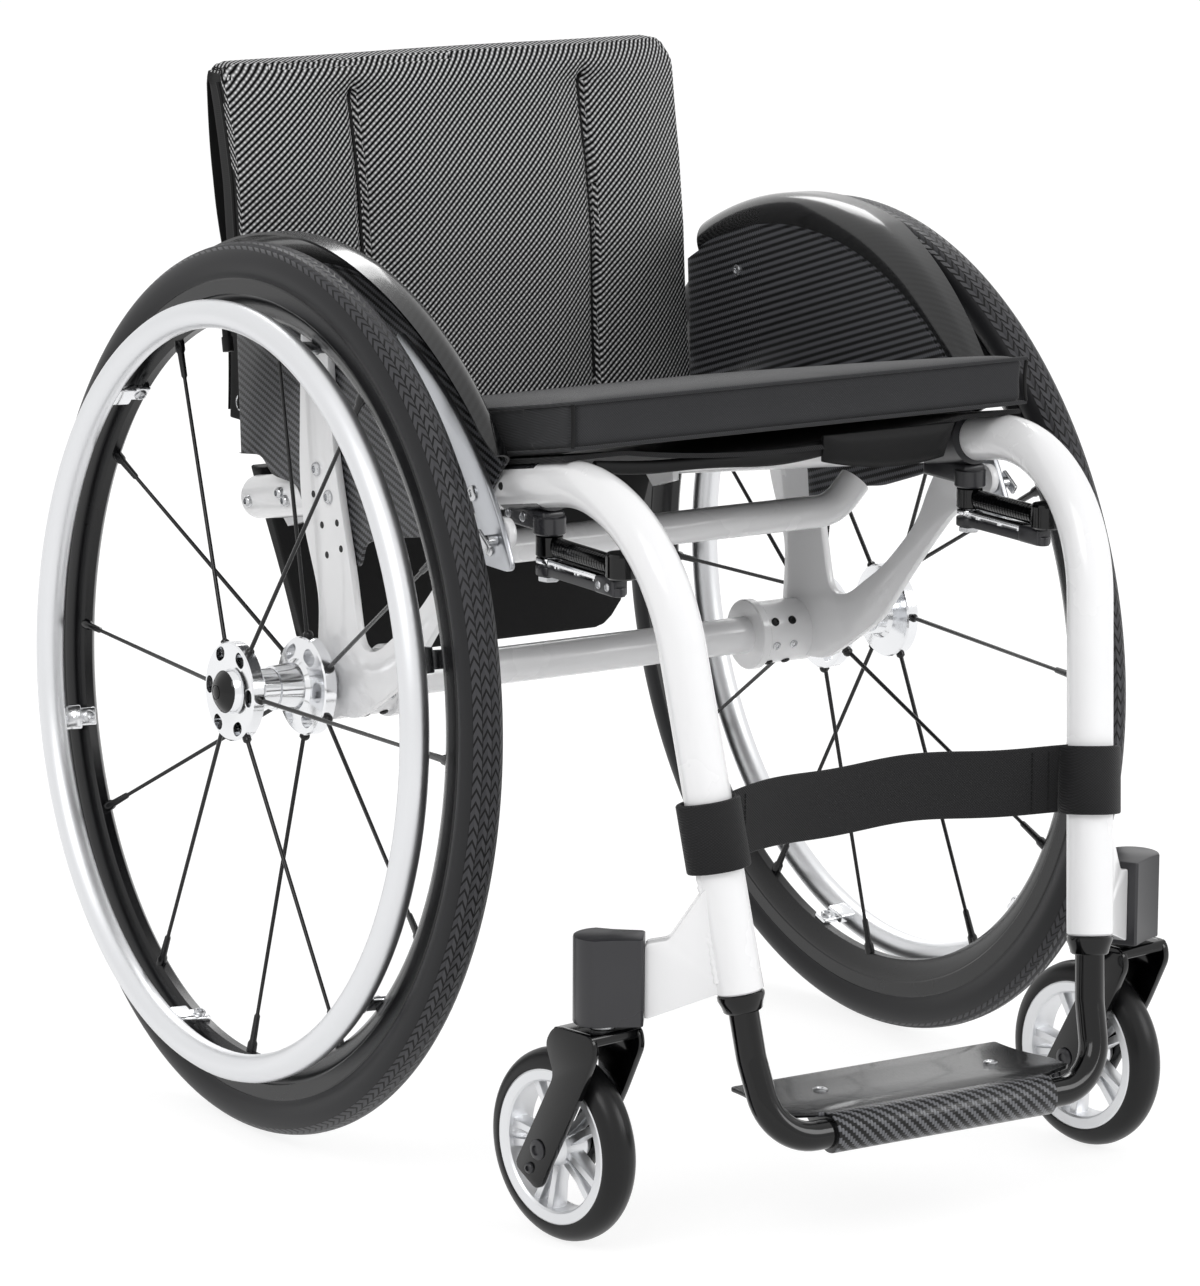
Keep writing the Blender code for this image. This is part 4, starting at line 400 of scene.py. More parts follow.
def side_place(side: int) -> Matrix:
    """Turns the plane (y, z) with its thickness along Z into the chair's side, outwards."""
    return Matrix(((0, 0, side, 0), (1, 0, 0, 0), (0, 1, 0, 0), (0, 0, 0, 1)))


def screw(bm: BMesh, place: Point, out: Vector, radius: float, height: float) -> None:
    """Adds a domed screw head with a hexagon socket.

    Args:
        bm: Mesh that gets the screw.
        place: Middle of the head on its seat.
        out: Direction out of the seat.
        radius: Radius of the head.
        height: Height of the dome.
    """
    turn = Vector((0, 0, 1)).rotation_difference(out).to_matrix().to_4x4()
    dome = [(radius * across, height * up) for across, up in
            ((1.0, 0.45), (0.8, 0.85), (0.5, 1.0), (0.42, 0.4), (0.0, 0.35))]
    spin_ring(bm, [(radius, -0.0006), *dome, (0.0, -0.0006)], 18, Matrix.Translation(place) @ turn)


def wrap_uv(mesh: Mesh, centre: Point, axis: Vector, section_radius: float, ring_radius: float) -> None:
    """Lays a UV map in metres round a wheel: along the tread, then round its section.

    Args:
        mesh: Finished mesh.
        centre: Middle of the wheel.
        axis: Wheel's axis.
        section_radius: Radius of the tyre's own section.
        ring_radius: Radius of the wheel where the section's middle lies.
    """
    layer = mesh.uv_layers.new(name="Round")
    middle = Vector(centre)
    first = axis.orthogonal().normalized()
    second = axis.cross(first)
    for face in mesh.polygons:
        away = face.center - middle
        base = atan2(away.dot(second), away.dot(first))
        for loop in face.loop_indices:
            reach = mesh.vertices[mesh.loops[loop].vertex_index].co - middle
            turn = atan2(reach.dot(second), reach.dot(first))
            turn = base + (turn - base + pi) % (2 * pi) - pi
            out = hypot(reach.dot(first), reach.dot(second)) - ring_radius
            round_section = atan2(reach.dot(axis), out)
            layer.data[loop].uv = (turn * (ring_radius + section_radius), round_section * section_radius)


# Finishes

@dataclass(frozen=True)
class Finish:
    """One real finish, by its name, the record's slot and its typical values."""

    name: str
    slot: str
    colour: str
    roughness: float = 0.5
    metallic: float = 0.0
    coat: float = 0.0
    sheen: float = 0.0
    grain: float = 0.0012
    bump: float = 0.00002
    shade: float = 0.06
    specular: float = 0.5

    def material(self) -> Material:
        """Makes the finish's material, once.

        Returns:
            The material.
        """
        known = bpy.data.materials.get(self.name)
        if known:
            return known
        material = bpy.data.materials.new(self.name)
        material.use_nodes = True
        tree = material.node_tree
        shader = tree.nodes["Principled BSDF"]
        for name, value in (("Base Color", linear(self.colour)), ("Metallic", self.metallic),
                            ("Roughness", self.roughness), ("Specular IOR Level", self.specular),
                            ("Coat Weight", self.coat), ("Coat Roughness", self.roughness * 0.35),
                            ("Sheen Weight", self.sheen), ("Sheen Roughness", 0.4)):
            shader.inputs[name].default_value = value
        self.surface(tree, shader, add_node(tree, "TexCoord"))
        return material

    def surface(self, tree: NodeTree, shader: Node, where: Node) -> None:
        """Lays fine grain, soft wear in the gloss and a slight change of tone.

        Args:
            tree: The material's nodes.
            shader: Its shader.
            where: Its texture coordinates.
        """
        fine, broad = [add_node(tree, "TexNoise",
                                inputs={"Vector": where.outputs["Object"], "Scale": scale, "Detail": detail})
                       for scale, detail in ((1 / self.grain, 3.0), (14.0, 4.0))]
        gloss = add_node(tree, "MapRange",
                         inputs={"Value": broad.outputs["Fac"], "From Min": 0.3, "From Max": 0.7,
                                 "To Min": self.roughness * 0.85, "To Max": min(1.0, self.roughness * 1.2)})
        tone = add_node(tree, "Mix", {"data_type": "RGBA", "blend_type": "MULTIPLY"},
                        {"Factor": self.shade, 6: linear(self.colour), 7: broad.outputs["Fac"]})
        relief = add_node(tree, "Bump",
                          inputs={"Height": fine.outputs["Fac"], "Distance": self.bump, "Strength": 1.0})
        tree.links.new(tone.outputs[2], shader.inputs["Base Color"])
        tree.links.new(gloss.outputs["Result"], shader.inputs["Roughness"])
        tree.links.new(relief.outputs["Normal"], shader.inputs["Normal"])


@dataclass(frozen=True)
class Patterned(Finish):
    """A finish whose colour and relief follow a repeated pattern of real size.

    The pattern is a list of steps in arithmetic. Each step is its own name, an operation,
    and what it works on: numbers, earlier steps, and u and v, which are metres on the
    surface. The steps named share and height give the second colour and the relief.
    """

    second: str = "#000000"
    pitch: float = 0.003
    depth: float = 0.0003
    use_uv: bool = False
    axes: tuple[int, int] = (1, 2)

    def steps(self) -> list[tuple[Any, ...]]:
        """The pattern's steps in order."""
        raise NotImplementedError

    def surface(self, tree: NodeTree, shader: Node, where: Node) -> None:
        """Mixes the two colours by the pattern and raises its relief.

        Args:
            tree: The material's nodes.
            shader: Its shader.
            where: Its texture coordinates.
        """
        split = add_node(tree, "SeparateXYZ", inputs=[where.outputs["UV" if self.use_uv else "Object"]])
        first, second = (0, 1) if self.use_uv else self.axes
        known = {"u": split.outputs[first], "v": split.outputs[second]}
        for name, operation, *values in self.steps():
            known[name] = add_node(tree, "Math", {"operation": operation},
                                   [known[value] if isinstance(value, str) else value for value in values])
        fine, broad = [add_node(tree, "TexNoise",
                                inputs={"Vector": where.outputs["Object"], "Scale": scale, "Detail": detail})
                       for scale, detail in ((1 / self.grain, 2.0), (30.0, 5.0))]
        tone = add_node(tree, "Mix", {"data_type": "RGBA"},
                        {"Factor": known["share"], 6: linear(self.colour), 7: linear(self.second)})
        worn = add_node(tree, "Mix", {"data_type": "RGBA", "blend_type": "MULTIPLY"},
                        {"Factor": self.shade, 6: tone.outputs[2], 7: broad.outputs["Fac"]})
        raised = add_node(tree, "Math", {"operation": "MULTIPLY_ADD"},
                          [fine, self.bump / self.depth, known["height"]])
        relief = add_node(tree, "Bump", inputs={"Height": raised, "Distance": self.depth, "Strength": 1.0})
        tree.links.new(worn.outputs[2], shader.inputs["Base Color"])
        tree.links.new(relief.outputs["Normal"], shader.inputs["Normal"])


class CarbonTwill(Patterned):
    """Two-by-two twill under clear coat: tows pass over two and under two, one step on in each row."""

    def steps(self) -> list[tuple[Any, ...]]:
        """Which set of tows lies on top, and their round backs; the tows on top carry a painted highlight.

        Returns:
            The pattern's steps in order.
        """
        return [
            ("across", "DIVIDE", "u", self.pitch), ("along", "DIVIDE", "v", self.pitch),
            ("column", "FLOOR", "across"), ("row", "FLOOR", "along"), ("cell", "ADD", "column", "row"),
            ("turn", "FLOORED_MODULO", "cell", 4.0), ("over", "LESS_THAN", "turn", 2.0),
            ("lane", "FRACT", "across"), ("arch", "MULTIPLY", "lane", pi), ("warp", "SINE", "arch"),
            ("bar", "FRACT", "along"), ("hump", "MULTIPLY", "bar", pi), ("weft", "SINE", "hump"),
            ("under", "SUBTRACT", 1.0, "over"), ("sunk", "MULTIPLY", "under", "weft"),
            ("height", "MULTIPLY_ADD", "over", "warp", "sunk"),
            # The tows on top take the pale second colour as a painted highlight, brightest along the middle of each
            # tow.
            ("gleam", "MULTIPLY_ADD", "warp", 0.5, 0.5), ("share", "MULTIPLY", "over", "gleam"),
        ]


class PlainWeave(Patterned):
    """Woven cloth or webbing: crossing threads that take turns on top."""

    def steps(self) -> list[tuple[Any, ...]]:
        """Thread that lies on top, and the height of its back.

        Returns:
            The pattern's steps in order.
        """
        turn = 2 * pi / self.pitch
        return [
            ("a", "MULTIPLY", "u", turn), ("b", "SINE", "a"), ("warp", "MULTIPLY_ADD", "b", 0.5, 0.5),
            ("c", "MULTIPLY", "v", turn), ("d", "SINE", "c"), ("weft", "MULTIPLY_ADD", "d", 0.5, 0.5),
            ("both", "MULTIPLY", "warp", "weft"), ("e", "SUBTRACT", 1.0, "warp"),
            ("f", "SUBTRACT", 1.0, "weft"), ("neither", "MULTIPLY", "e", "f"),
            ("height", "MAXIMUM", "both", "neither"), ("share", "SUBTRACT", 1.0, "height"),
        ]


class SpacerMesh(Patterned):
    """Three-dimensional mesh: pale yarns on the slant, tied by knots, over a black ground."""

    def steps(self) -> list[tuple[Any, ...]]:
        """Pale slanting yarns with a knot at each crossing, and their height.

        Returns:
            The pattern's steps in order.
        """
        turn = 2 * pi / self.pitch
        return [
            ("rise", "SUBTRACT", "v", "u"), ("a", "MULTIPLY", "rise", turn), ("b", "SINE", "a"),
            ("yarn", "MULTIPLY_ADD", "b", 0.5, 0.5), ("slant", "ADD", "u", "v"),
            ("c", "MULTIPLY", "slant", turn), ("d", "SINE", "c"),
            ("knot", "MULTIPLY_ADD", "d", 0.17, 0.83), ("fat", "MULTIPLY", "yarn", "knot"),
            ("height", "SMOOTH_MAX", "fat", 0.12, 0.1), ("round", "POWER", "fat", 2.2),
            ("share", "MINIMUM", "round", 1.0),
        ]


class TyreTread(Patterned):
    """Tyre rubber: smooth side walls, and rows of arrow-shaped scales over the tread."""

    def steps(self) -> list[tuple[Any, ...]]:
        """Scales that rise to a sharp edge, each row half a scale on from the last.

        Returns:
            The pattern's steps in order.
        """
        row, edge = 0.0062, 0.0124  # width of a row, and of half the tread
        return [
            ("across", "ABSOLUTE", "v"), ("lane", "DIVIDE", "across", row), ("number", "FLOOR", "lane"),
            ("half", "MULTIPLY", "number", 0.5), ("place", "SUBTRACT", "lane", "number"),
            ("off", "SUBTRACT", "place", 0.5), ("wing", "ABSOLUTE", "off"), ("swept", "MULTIPLY", "wing", 1.5),
            ("along", "DIVIDE", "u", self.pitch), ("shift", "ADD", "along", "half"),
            ("arrow", "ADD", "shift", "swept"), ("saw", "FRACT", "arrow"),
            # Sipes and row seams take the near-black second colour: painted shade in the grooves.
            ("sipe", "LESS_THAN", "saw", 0.32), ("seam", "GREATER_THAN", "wing", 0.46),
            ("line", "MAXIMUM", "sipe", "seam"), ("tread", "LESS_THAN", "across", edge),
            ("wall", "SUBTRACT", 1.0, "tread"), ("dark", "MULTIPLY", "wall", 0.75),
            ("share", "MULTIPLY_ADD", "line", "tread", "dark"), ("ramp", "MULTIPLY_ADD", "saw", 0.9, 0.1),
            ("land", "SUBTRACT", 1.0, "line"), ("scale", "MULTIPLY", "ramp", "land"),
            ("flat", "MULTIPLY", "wall", 0.35), ("height", "MULTIPLY_ADD", "scale", "tread", "flat"),
        ]


# Powder coat on aluminium: bright white, glossy, with a faint orange peel
WHITE_ENAMEL = Finish("white_powder_coat", "white_enamel", "#F6F6F7", 0.24, coat=0.5, grain=0.002, shade=0.03)
# Bead-blasted and clear anodised sheet: pale grey, with a broad soft gleam
GREY_PLATE = Finish("pale_anodised_sheet", "satin_aluminium", "#BDBFC3", 0.34, metallic=1.0, grain=0.0008)
# Drawn tube with a clear anodised skin: silver with a stretched, silky highlight
SATIN_SILVER = Finish("satin_anodised_aluminium", "satin_aluminium", "#E6E7E9", 0.38, metallic=1.0, grain=0.0006)
# Turned and buffed billet: near-mirror silver that shows sharp light and dark
POLISHED_SILVER = Finish("buffed_aluminium", "polished_aluminium", "#EDEEF0", 0.14, metallic=1.0, bump=0.000008)
# Black anodised extrusion: dense black with a narrow grey gleam
BLACK_ANODISED = Finish("black_anodised_aluminium", "black_anodised", "#0C0C0E", 0.24, grain=0.0007, specular=0.4)
# Bead-blasted black anodised block: dark grey and even
BLACK_BLASTED = Finish("blasted_black_aluminium", "black_anodised", "#2C2C2F", 0.30, grain=0.0007, specular=0.5)
# Stove enamel on steel tube: deep black with hard reflections
BLACK_ENAMEL = Finish("gloss_black_enamel", "black_enamel", "#040405", 0.12, coat=0.25, grain=0.003, bump=0.00001,
                      specular=0.25)
# Stainless steel fasteners: bright and slightly brushed
STEEL = Finish("stainless_steel", "satin_aluminium", "#C9CACC", 0.26, metallic=1.0, grain=0.0005)
# Moulded nylon caps and grips: black with a fine spark-eroded grain
NYLON = Finish("moulded_black_nylon", "black_anodised", "#0E0E0F", 0.45, grain=0.0005, bump=0.00004, specular=0.3)
# Solid polyurethane tyre of the caster: smooth and satin
CASTER_RUBBER = Finish("caster_polyurethane", "tyre_rubber", "#131314", 0.34, grain=0.0008, specular=0.3)
# Vulcanised tyre rubber: matt black, dull where the scales stand up, which are 8.4 mm long, with painted shade in
# the grooves between them
TREAD_RUBBER = TyreTread("grooved_tyre_rubber", "tyre_rubber", "#444447", 0.46, second="#030304", pitch=0.0084,
                         depth=0.0022, use_uv=True, grain=0.0009, specular=0.25)
# Carbon laminate under clear coat: black tows 1.7 mm wide in a twill, with a soft gloss and a pale grey painted
# highlight on the tows on top
CARBON_SIDE = CarbonTwill("carbon_twill_guard", "carbon_laminate", "#060607", 0.36, coat=0.15, second="#606165",
                          pitch=0.0017, depth=0.00006, use_uv=True, specular=0.3)
# The same laminate in a heavier cloth, tows 2 mm wide: a nearly black plate that mirrors softly, with a faint
# painted highlight on its tows
CARBON_PLATE = CarbonTwill("carbon_twill_plate", "carbon_laminate", "#030304", 0.24, coat=0.3, second="#1C1D1F",
                           pitch=0.0020, depth=0.00004, use_uv=True, specular=0.4)
# Shaded copy of the guard's laminate for its rolled lip, under thicker clear coat: a black gloss in which the
# painted highlight on the cloth hardly shows
CARBON_LIP = CarbonTwill("carbon_twill_lip", "carbon_laminate", "#030304", 0.20, coat=0.35, second="#161718",
                         pitch=0.0017, depth=0.00001, use_uv=True, specular=0.4)
# Lit copy of the heavier cloth for where it bends round the tube: a painted highlight makes its tows show as bright
# dashes
CARBON_SLEEVE = CarbonTwill("carbon_twill_sleeve", "carbon_laminate", "#030304", 0.28, coat=0.2,
                            second="#6C6D71", pitch=0.0020, depth=0.00010, use_uv=True, specular=0.25)
# Close-woven nylon cover: dark grey and matt, drawn coarse enough to show, with threads 0.9 mm apart
COVER_CLOTH = PlainWeave("woven_nylon_cover", "dark_fabric", "#303134", 0.86, sheen=0.15, second="#1D1D1F",
                         pitch=0.0018, depth=0.00016, axes=(0, 1), shade=0.25)
# Upright faces of the same cover, with the weave on the plane across the chair
COVER_FRONT = PlainWeave("woven_nylon_cover_edge", "dark_fabric", "#303134", 0.86, sheen=0.15, second="#1D1D1F",
                         pitch=0.0018, depth=0.00016, axes=(0, 2), shade=0.25)
# Spacer mesh: pale yarns on the slant over a black ground, drawn coarse enough to show, 3.1 mm apart
BACK_MESH = SpacerMesh("knitted_spacer_mesh", "spacer_mesh", "#030304", 0.80, second="#F2F2F3",
                       pitch=0.0044, depth=0.0007, use_uv=True, specular=0.1)
# Polyester webbing: flat black, its threads 0.9 mm apart, which gives a rib every 1.8 mm
WEBBING = PlainWeave("black_polyester_webbing", "black_webbing", "#1C1C1E", 0.66, sheen=0.1, second="#060607",
                     pitch=0.0018, depth=0.0003, axes=(0, 2), specular=0.3)
# Coated nylon of the bag: flat black and nearly plain, with threads 0.7 mm apart
BAG_CLOTH = PlainWeave("coated_black_nylon", "black_webbing", "#0F0F10", 0.60, second="#060607", pitch=0.0014,
                       depth=0.0001, axes=(0, 2), specular=0.25)


# Pieces

def finish_piece(bm: BMesh, name: str, finish: Finish, body: str, replaced: Sequence[str] = (),
                 sharp: float = SHARP) -> Object:
    """Makes a mesh a piece of the chair in the shared frame.

    Args:
        bm: The piece's mesh, with Y measured from the rear axle.
        name: Name of the piece.
        finish: Its finish.
        body: Body that it moves with.
        replaced: CAD nodes that it stands for.
        sharp: Angle above which an edge stays sharp.

    Returns:
        The finished piece.
    """
    bmesh.ops.translate(bm, vec=(0.0, AXLE_Y, 0.0), verts=bm.verts)
    mesh = bpy.data.meshes.new(name)
    bm.to_mesh(mesh)
    bm.free()
    mesh.shade_smooth()
    mesh.set_sharp_from_angle(angle=sharp)
    mesh.materials.append(finish.material())
    piece = bpy.data.objects.new(name, mesh)
    bpy.context.scene.collection.objects.link(piece)
    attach(piece, body)
    if replaced:
        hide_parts(*replaced)
    LOG.info("%s: %d faces, on %s", name, len(mesh.polygons), body)
    return piece


def dress(node: str, finish: Finish) -> None:
    """Gives a CAD node, whose shape stays, a better finish.

    Args:
        node: The CAD node.
        finish: Its finish.
    """
    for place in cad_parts[node].material_slots:
        place.material = finish.material()
    LOG.info("%s: dressed in %s", node, finish.name)


def settled(source: Object) -> BMesh:
    """Takes an object's mesh as its modifiers leave it now.

    Args:
        source: Object in the scene.

    Returns:
        A new mesh.
    """
    result = bmesh.new()
    result.from_object(source, bpy.context.evaluated_depsgraph_get())
    return result


def carve(bm: BMesh, cutter: BMesh) -> BMesh:
    """Cuts one closed mesh with another, exactly.

    Args:
        bm: Mesh that is cut; it is freed.
        cutter: Cutting mesh; it is freed.

    Returns:
        The cut mesh.
    """
    pair = []
    for part in (bm, cutter):
        mesh = bpy.data.meshes.new("carve")
        part.to_mesh(mesh)
        part.free()
        pair.append(bpy.data.objects.new("carve", mesh))
        bpy.context.scene.collection.objects.link(pair[-1])
    cut = pair[0].modifiers.new("cut", "BOOLEAN")
    cut.operation = "DIFFERENCE"
    cut.solver = "EXACT"
    cut.object = pair[1]
    result = settled(pair[0])
    for item in pair:
        bpy.data.objects.remove(item)
    return result


@dataclass
class SidePart:
    """Pieces of one side of the chair, whose names end in the side's."""

    side: Side

    @property
    def sign(self) -> int:
        """The side's sign along X."""
        return self.side.value

    @property
    def outward(self) -> Vector:
        """Direction away from the middle of the chair."""
        return Vector((self.sign, 0, 0))

    def named(self, name: str) -> str:
        """A name with the side's behind it."""
        return f"{name}_{self.side.label}"

    def at(self, x: float, y: float, z: float) -> Vector:
        """Point on this side, with X given as a distance from the middle."""
        return Vector((self.sign * x, y, z))

    def piece(self, bm: BMesh, name: str, finish: Finish, replaced: str = "", body: str = "",
              sharp: float = SHARP) -> Object:
        """Makes a mesh a piece of this side; its names come without the side's, and no body is the frame."""
        nodes = [self.named(replaced)] if replaced else []
        return finish_piece(bm, self.named(name), finish, self.named(body) if body else "frame", nodes, sharp)


@dataclass
class RearWheel(SidePart):
    """Spoked rear wheel with its tyre, push rim, hub and quick-release axle, along its own cambered axis."""

    body: str = "rear_wheel"
    tyre_radius: float = TYRE_RADIUS
    tyre_half: float = 0.0138
    rim_radius: float = 0.272
    rim_inner: float = 0.247
    push_rim_radius: float = 0.2493
    push_rim_tube: float = 0.0095
    push_rim_offset: float = 0.0285
    flange_radius: float = 0.033
    outer_face: float = 0.024
    inner_face: float = -0.040
    spokes: int = 6

    def __post_init__(self) -> None:
        """Places the wheel's own frame, whose Z points outwards along the axle."""
        self.place = (Matrix.Translation(self.at(*WHEEL_CENTRE))
                      @ Matrix.Rotation(self.sign * (pi / 2 - CAMBER), 4, "Y"))

    def turn(self, angle: float) -> float:
        """Angle in the wheel's plane for one measured from forward upwards."""
        return atan2(-cos(angle), -self.sign * sin(angle))

    def tyre(self) -> None:
        """Round tyre with a squared tread and a bead line."""
        radius = self.tyre_radius
        half = [(radius, 0.0), (radius - 0.0006, 0.0045), (radius - 0.0028, 0.0088), (radius - 0.0072, 0.0122),
                (radius - 0.0130, self.tyre_half), (radius - 0.0185, 0.0130), (radius - 0.0222, 0.0112),
                (self.rim_radius - 0.0006, 0.0104)]
        bm = bmesh.new()
        spin_ring(bm, mirrored(smooth_line(half, 3)), 192, self.place)
        piece = self.piece(bm, "tyre", TREAD_RUBBER, "rear_tyre", self.body)
        centre = self.place.translation + Vector((0.0, AXLE_Y, 0.0))
        axis = self.place.to_3x3() @ Vector((0, 0, 1))
        wrap_uv(piece.data, centre, axis, self.tyre_half, radius - self.tyre_half)

    def rim(self) -> None:
        """Deep rim with hooked edges, a shoulder line and a rounded nose."""
        outer, inner = self.rim_radius, self.rim_inner
        half = [(outer + 0.0006, 0.0106), (outer - 0.0006, 0.0112), (outer - 0.0100, 0.0112),
                (outer - 0.0110, 0.0106), (outer - 0.0124, 0.0106), (outer - 0.0200, 0.0074),
                (inner + 0.0012, 0.0044), (inner, 0.0030)]
        bm = bmesh.new()
        spin_ring(bm, mirrored(half), 180, self.place)
        self.piece(bm, "rim", BLACK_ANODISED, "rear_rim", self.body, sharp=radians(25))
        bm = bmesh.new()
        angle = self.turn(radians(105.0))
        out = Vector((cos(angle), sin(angle), 0.0))
        for radius, start, end in ((0.0042, 0.0, 0.0012), (0.0030, 0.001, 0.014), (0.0038, 0.012, 0.022)):
            low, high = [self.place @ (out * (inner - depth)) for depth in (start, end)]
            rod(bm, low, high, radius, 14, 0.0003)
        self.piece(bm, "valve", NYLON, body=self.body)

    def push_rim(self) -> None:
        """Hand ring, with six clamped tabs and their screws."""
        radius, tube, offset = self.push_rim_radius, self.push_rim_tube, self.push_rim_offset
        bm = bmesh.new()
        spin_ring(bm, arc((radius, offset), tube, 0.0, 2 * pi, 16)[:-1], 180, self.place)
        self.piece(bm, "hand_ring", SATIN_SILVER, "push_rim", self.body)
        tabs, screws = bmesh.new(), bmesh.new()
        for index in range(6):
            turn = self.place @ Matrix.Rotation(self.turn(radians(15 + 60 * index)), 4, "Z")
            block(tabs, (0.2410, -0.0088, 0.0100), (0.2478, 0.0088, offset - 0.0035), 0.0020, turn)
            block(tabs, (0.2435, -0.0064, -0.0020), (0.2474, 0.0064, 0.0120), 0.0013, turn)
            inward = turn.to_3x3() @ Vector((-1, 0, 0))
            screw(screws, turn @ Vector((0.2436, 0.0, 0.0040)), inward, 0.0044, 0.0024)
        self.piece(tabs, "ring_tabs", POLISHED_SILVER, body=self.body)
        self.piece(screws, "ring_tab_screws", STEEL, body=self.body)

    def hub(self) -> None:
        """Turned hub: two cupped flanges with pockets, a stepped barrel and end cones."""
        radius, outer, inner = self.flange_radius, self.outer_face, self.inner_face
        profile = [(0.0068, outer + 0.003), (0.0125, outer + 0.003), (0.0132, outer + 0.0022),
                   (0.0150, outer - 0.0015), (0.0158, outer - 0.0015), (0.0205, outer), (radius - 0.001, outer),
                   (radius, outer - 0.001), (radius, outer - 0.0085), (radius - 0.001, outer - 0.0095),
                   (0.0190, outer - 0.0125), (0.0165, outer - 0.0150), (0.0150, 0.0040), (0.0136, 0.0035),
                   (0.0136, -0.0080), (0.0150, -0.0085), (0.0160, inner + 0.0150), (0.0185, inner + 0.0125),
                   (radius - 0.001, inner + 0.0095), (radius, inner + 0.0085), (radius, inner + 0.001),
                   (radius - 0.001, inner), (0.0180, inner), (0.0120, inner + 0.0010), (0.0068, inner + 0.0010)]
        bm = bmesh.new()
        spin_ring(bm, profile, 72, Matrix())
        cutter = bmesh.new()
        for index in range(self.spokes):
            for low, high, reach, half in ((outer - 0.0072, outer + 0.004, 0.0265, 0.0016),
                                           (inner - 0.004, inner + 0.016, 0.0245, 0.0026)):
                angle = self.turn(radians(60 * index))
                turn = Matrix.Rotation(angle, 4, "Z")
                outline = (arc((reach, half), 0.0044, 0.0, pi, 6)
                           + arc((reach, -half), 0.0044, pi, 2 * pi, 6))
                sheet_solid(cutter, outline, low, high - low, matrix=turn)
        bm = carve(bm, cutter)
        bmesh.ops.transform(bm, matrix=self.place, verts=bm.verts)
        self.piece(bm, "hub", POLISHED_SILVER, "rear_hub", self.body, sharp=radians(25))

    def spoke_set(self) -> None:
        """Straight-pull spokes with round heads at the hub and long nipples at the rim."""
        bm = bmesh.new()
        rows = ((self.outer_face - 0.005, 0.0, 0.0015), (self.inner_face + 0.005, 30.0, -0.0015))
        for z, phase, rim_z in rows:
            for index in range(self.spokes):
                angle = self.turn(radians(phase + 60 * index))
                start, end = self.flange_radius - 0.005, self.rim_inner + 0.002
                nipple = end - start - 0.027
                runs = (0.0, 0.0050, 0.0070, 0.0085, nipple, nipple + 0.0015, nipple + 0.018, nipple + 0.020,
                        nipple + 0.0275)
                path = []
                for run in runs:
                    r, height = start + run, z + (rim_z - z) * run / (end - start)
                    path.append(self.place @ Vector((r * cos(angle), r * sin(angle), height)))
                sweep(bm, path, [0.0026, 0.0030, 0.0030, 0.0015, 0.0013, 0.0021, 0.0024, 0.0034, 0.0036], 12)
                turn = self.place @ Matrix.Rotation(angle, 4, "Z")
                ball = bmesh.new()
                bmesh.ops.create_uvsphere(ball, u_segments=14, v_segments=8, radius=0.0034)
                head = start + (0.0005 if phase == 0.0 else 0.0062)
                join(bm, ball, turn @ Matrix.Translation((head, 0.0, z)))
        self.piece(bm, "spokes", BLACK_ANODISED, body=self.body)

    def axle(self) -> None:
        """Quick-release axle with its ribbed head, and the button in it."""
        tip = [(0.0, -0.072), (0.0050, -0.072), (0.00635, -0.0705)]
        head = [(0.00635, 0.0033), (0.0139, 0.0033), (0.0142, 0.0037), (0.0138, 0.0044), (0.0120, 0.0058),
                (0.0090, 0.0080), (0.0065, 0.0092), (0.0052, 0.0097), (0.0047, 0.0095), (0.0047, 0.0042),
                (0.0, 0.0042)]
        bm = bmesh.new()
        spin_ring(bm, tip + [(r, self.outer_face + h) for r, h in head], 40, self.place, closed=False)
        self.piece(bm, "axle_pin", BLACK_ENAMEL, "quick_release_axle")
        dome = [(0.0, 0.0105), (0.0020, 0.0104), (0.0036, 0.0101), (0.0044, 0.0097), (0.0045, 0.0074),
                (0.0, 0.0074)]
        bm = bmesh.new()
        spin_ring(bm, [(r, self.outer_face + h) for r, h in dome], 32, self.place, closed=False)
        self.piece(bm, "axle_button", BLACK_ENAMEL, "quick_release_button", "release_button")

    def build(self) -> None:
        """Builds the wheel's pieces in order."""
        self.tyre()
        self.rim()
        self.push_rim()
        self.hub()
        self.spoke_set()
        self.axle()


